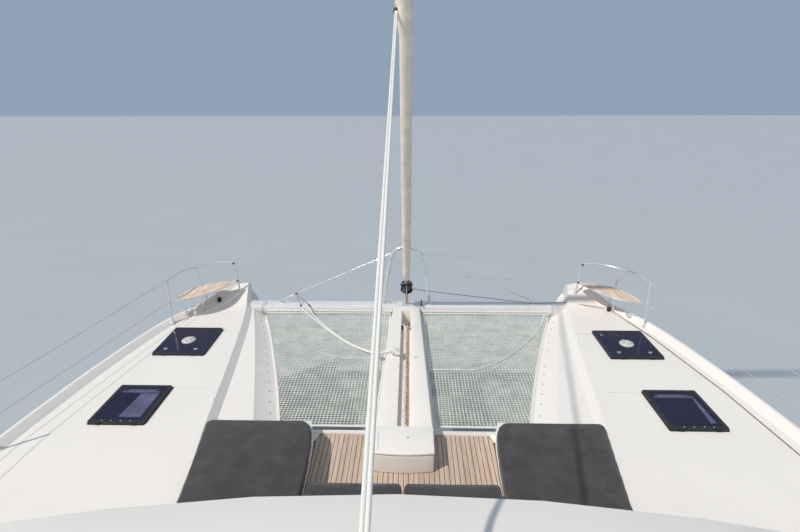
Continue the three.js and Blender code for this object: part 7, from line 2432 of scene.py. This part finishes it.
class CATAMARAN_OT_hull_details(bpy.types.Operator):
    """Hull windows, engine lids, stern steps and cleats"""
    bl_idname = "catamaran.hull_details"
    bl_label = "Hull details"

    def execute(self, context):
        for name, side in SIDES:
            glass = Form()
            for y0, y1, z, high in HULL_WINDOWS:
                side_patch(glass, side, y0 + 0.025, y1 - 0.025, z, high + 0.05, 0.0015, 1)
                side_patch(glass, side, y0, y1, z, high, 0.0030, 0)
            glass.piece(f"hull_windows_{name}", [cabin_glass(), sealant()], "dark_glass", sharp=50)
            self.lid(name, side)
            self.stern(name, side)
            self.deck(name, side)
        return {"FINISHED"}

    def lid(self, name, side):
        keep_solid(f"engine_lid_{name}", gelcoat(), 0.008, 3)
        x0, x1, y0, y1 = ENGINE_LID
        z = max(v.co.z for v in NODES[f"engine_lid_{name}"].data.vertices)
        form = Form()
        for y in (y0 + 0.20, y1 - 0.20):
            x = (x0 + x1) / 2 + (0.22 if y < -5.5 else -0.22)
            form.lathe(((0.030, -0.002), (0.030, 0.002), (0.020, 0.0025), (0.018, 0.0012), (0.0, 0.0012)),
                       (side * x, y, z),
                       sides=20, kind=0)
            form.block((side * x - 0.014, y - 0.003, z + 0.001), (side * x + 0.014, y + 0.003, z + 0.0035), 1)
        for k in range(9):
            y = y0 + 0.30 + k * 0.045
            form.block((side * x0 + side * 0.16, y, z - 0.002), (side * x1 - side * 0.16, y + 0.018, z + 0.0018), 2)
        form.piece(f"lid_fittings_{name}", [stainless(), black_fitting(), gasket_grey()], "stainless",
                   f"engine_lid_{name}", sharp=45)

    def stern(self, name, side):
        form = Form()
        treads = ((-6.075, -6.415, 1.480), (-6.455, -6.815, 1.080), (-6.860, -7.520, 0.560))
        for ya, yb, z in treads:
            for k in range(16):
                x = 2.16 + k * 0.092
                if x + 0.086 > hull_at((ya + yb) / 2, "gunwale") - 0.28:
                    break
                form.block((side * x if side > 0 else -x - 0.084, yb, z),
                           (side * x + 0.084 if side > 0 else -x, ya, z + 0.008), 0)
        # swimming ladder folded up on the last step, port side's hull only
        if side < 0:
            for x in (-2.78, -3.08):
                form.tube([(x, -7.50, 0.60), (x, -7.50, 0.62), (x, -7.16, 0.622)], 0.012, 10, 1)
            for y in (-7.44, -7.34, -7.24, -7.16):
                form.tube([(-2.78, y, 0.622), (-3.08, y, 0.622)], 0.010, 8, 1)
            for x in (-2.78, -3.08):
                form.block((x - 0.018, -7.52, 0.566), (x + 0.018, -7.48, 0.606), 1)
        form.piece(f"stern_treads_{name}", [teak_wood("step teak", 0.92), stainless()], "teak", bevel=0.0015)

    def deck(self, name, side):
        form = Form()
        for y in (2.30, -4.40):
            foot = rail_foot(y, 0.250)
            z = surface(foot.x, y)
            x = side * foot.x
            for shift in (-0.045, 0.045):
                form.lathe(((0.020, -0.002), (0.020, 0.006), (0.011, 0.012), (0.011, 0.034)), (x, y + shift, z),
                           sides=14)
            form.tube([(x, y - 0.125, z + 0.044), (x, y - 0.06, z + 0.038), (x, y + 0.06, z + 0.038),
                       (x, y + 0.125, z + 0.044)],
                      0.011, 10, 0, radii=[0.006, 0.012, 0.012, 0.006])
        # fillers in the side deck
        for y in (0.55, 0.25):
            foot = rail_foot(y, 0.330)
            form.lathe(((0.034, -0.001), (0.034, 0.003), (0.026, 0.004), (0.0, 0.0035)),
                       (side * foot.x, y, surface(foot.x, y)), sides=20)
        form.piece(f"side_deck_fittings_{name}", [stainless()], "stainless", sharp=45)


def boot_paint():
    return plain_finish("dark boot top", (0.045, 0.055, 0.070), 0.3, 0.45, mottle=0.15, scale=3.0, grain=80.0)


class CATAMARAN_OT_solids(bpy.types.Operator):
    """Finishes the bridge deck, and sees that no solid is left plain"""
    bl_idname = "catamaran.solids"
    bl_label = "Remaining solids"

    def execute(self, context):
        keep_solid("bridge_deck", gelcoat(), 0.012)
        plain = [name for name, solid in NODES.items() if not solid.hide_render and not solid.modifiers]
        if plain:
            raise RuntimeError(f"solids without a finish: {plain}")
        return {"FINISHED"}


class CATAMARAN_PT_panel(bpy.types.Panel):
    """Steps that dress the boat, in the order in which they are run"""
    bl_idname = "CATAMARAN_PT_panel"
    bl_label = "Catamaran"
    bl_space_type = "VIEW_3D"
    bl_region_type = "UI"
    bl_category = "Catamaran"

    def draw(self, context):
        for name in BoatColours.__annotations__:
            self.layout.prop(context.scene.boat_colours, name)
        for name in BoatSizes.__annotations__:
            self.layout.prop(context.scene.boat_sizes, name)
        for step in STEPS:
            self.layout.operator(step.bl_idname)


STEPS = (CATAMARAN_OT_stage, CATAMARAN_OT_ropes, CATAMARAN_OT_hulls, CATAMARAN_OT_nets, CATAMARAN_OT_hatches,
         CATAMARAN_OT_bows, CATAMARAN_OT_crossbeam, CATAMARAN_OT_sheet, CATAMARAN_OT_centre_beam,
         CATAMARAN_OT_cockpit, CATAMARAN_OT_aft_cockpit, CATAMARAN_OT_rails, CATAMARAN_OT_cabin, CATAMARAN_OT_rig,
         CATAMARAN_OT_helm, CATAMARAN_OT_saloon, CATAMARAN_OT_hull_details, CATAMARAN_OT_solids)
CLASSES = (BoatColours, BoatSizes, *STEPS, CATAMARAN_PT_panel)


def register():
    for each in CLASSES:
        bpy.utils.register_class(each)
    bpy.types.Scene.boat_colours = bpy.props.PointerProperty(type=BoatColours)
    bpy.types.Scene.boat_sizes = bpy.props.PointerProperty(type=BoatSizes)


def unregister():
    del bpy.types.Scene.boat_colours
    del bpy.types.Scene.boat_sizes
    for each in reversed(CLASSES):
        bpy.utils.unregister_class(each)


def main():
    register()
    for step in STEPS:
        group, name = step.bl_idname.split(".")
        getattr(getattr(bpy.ops, group), name)()


if __name__ == "__main__":
    main()
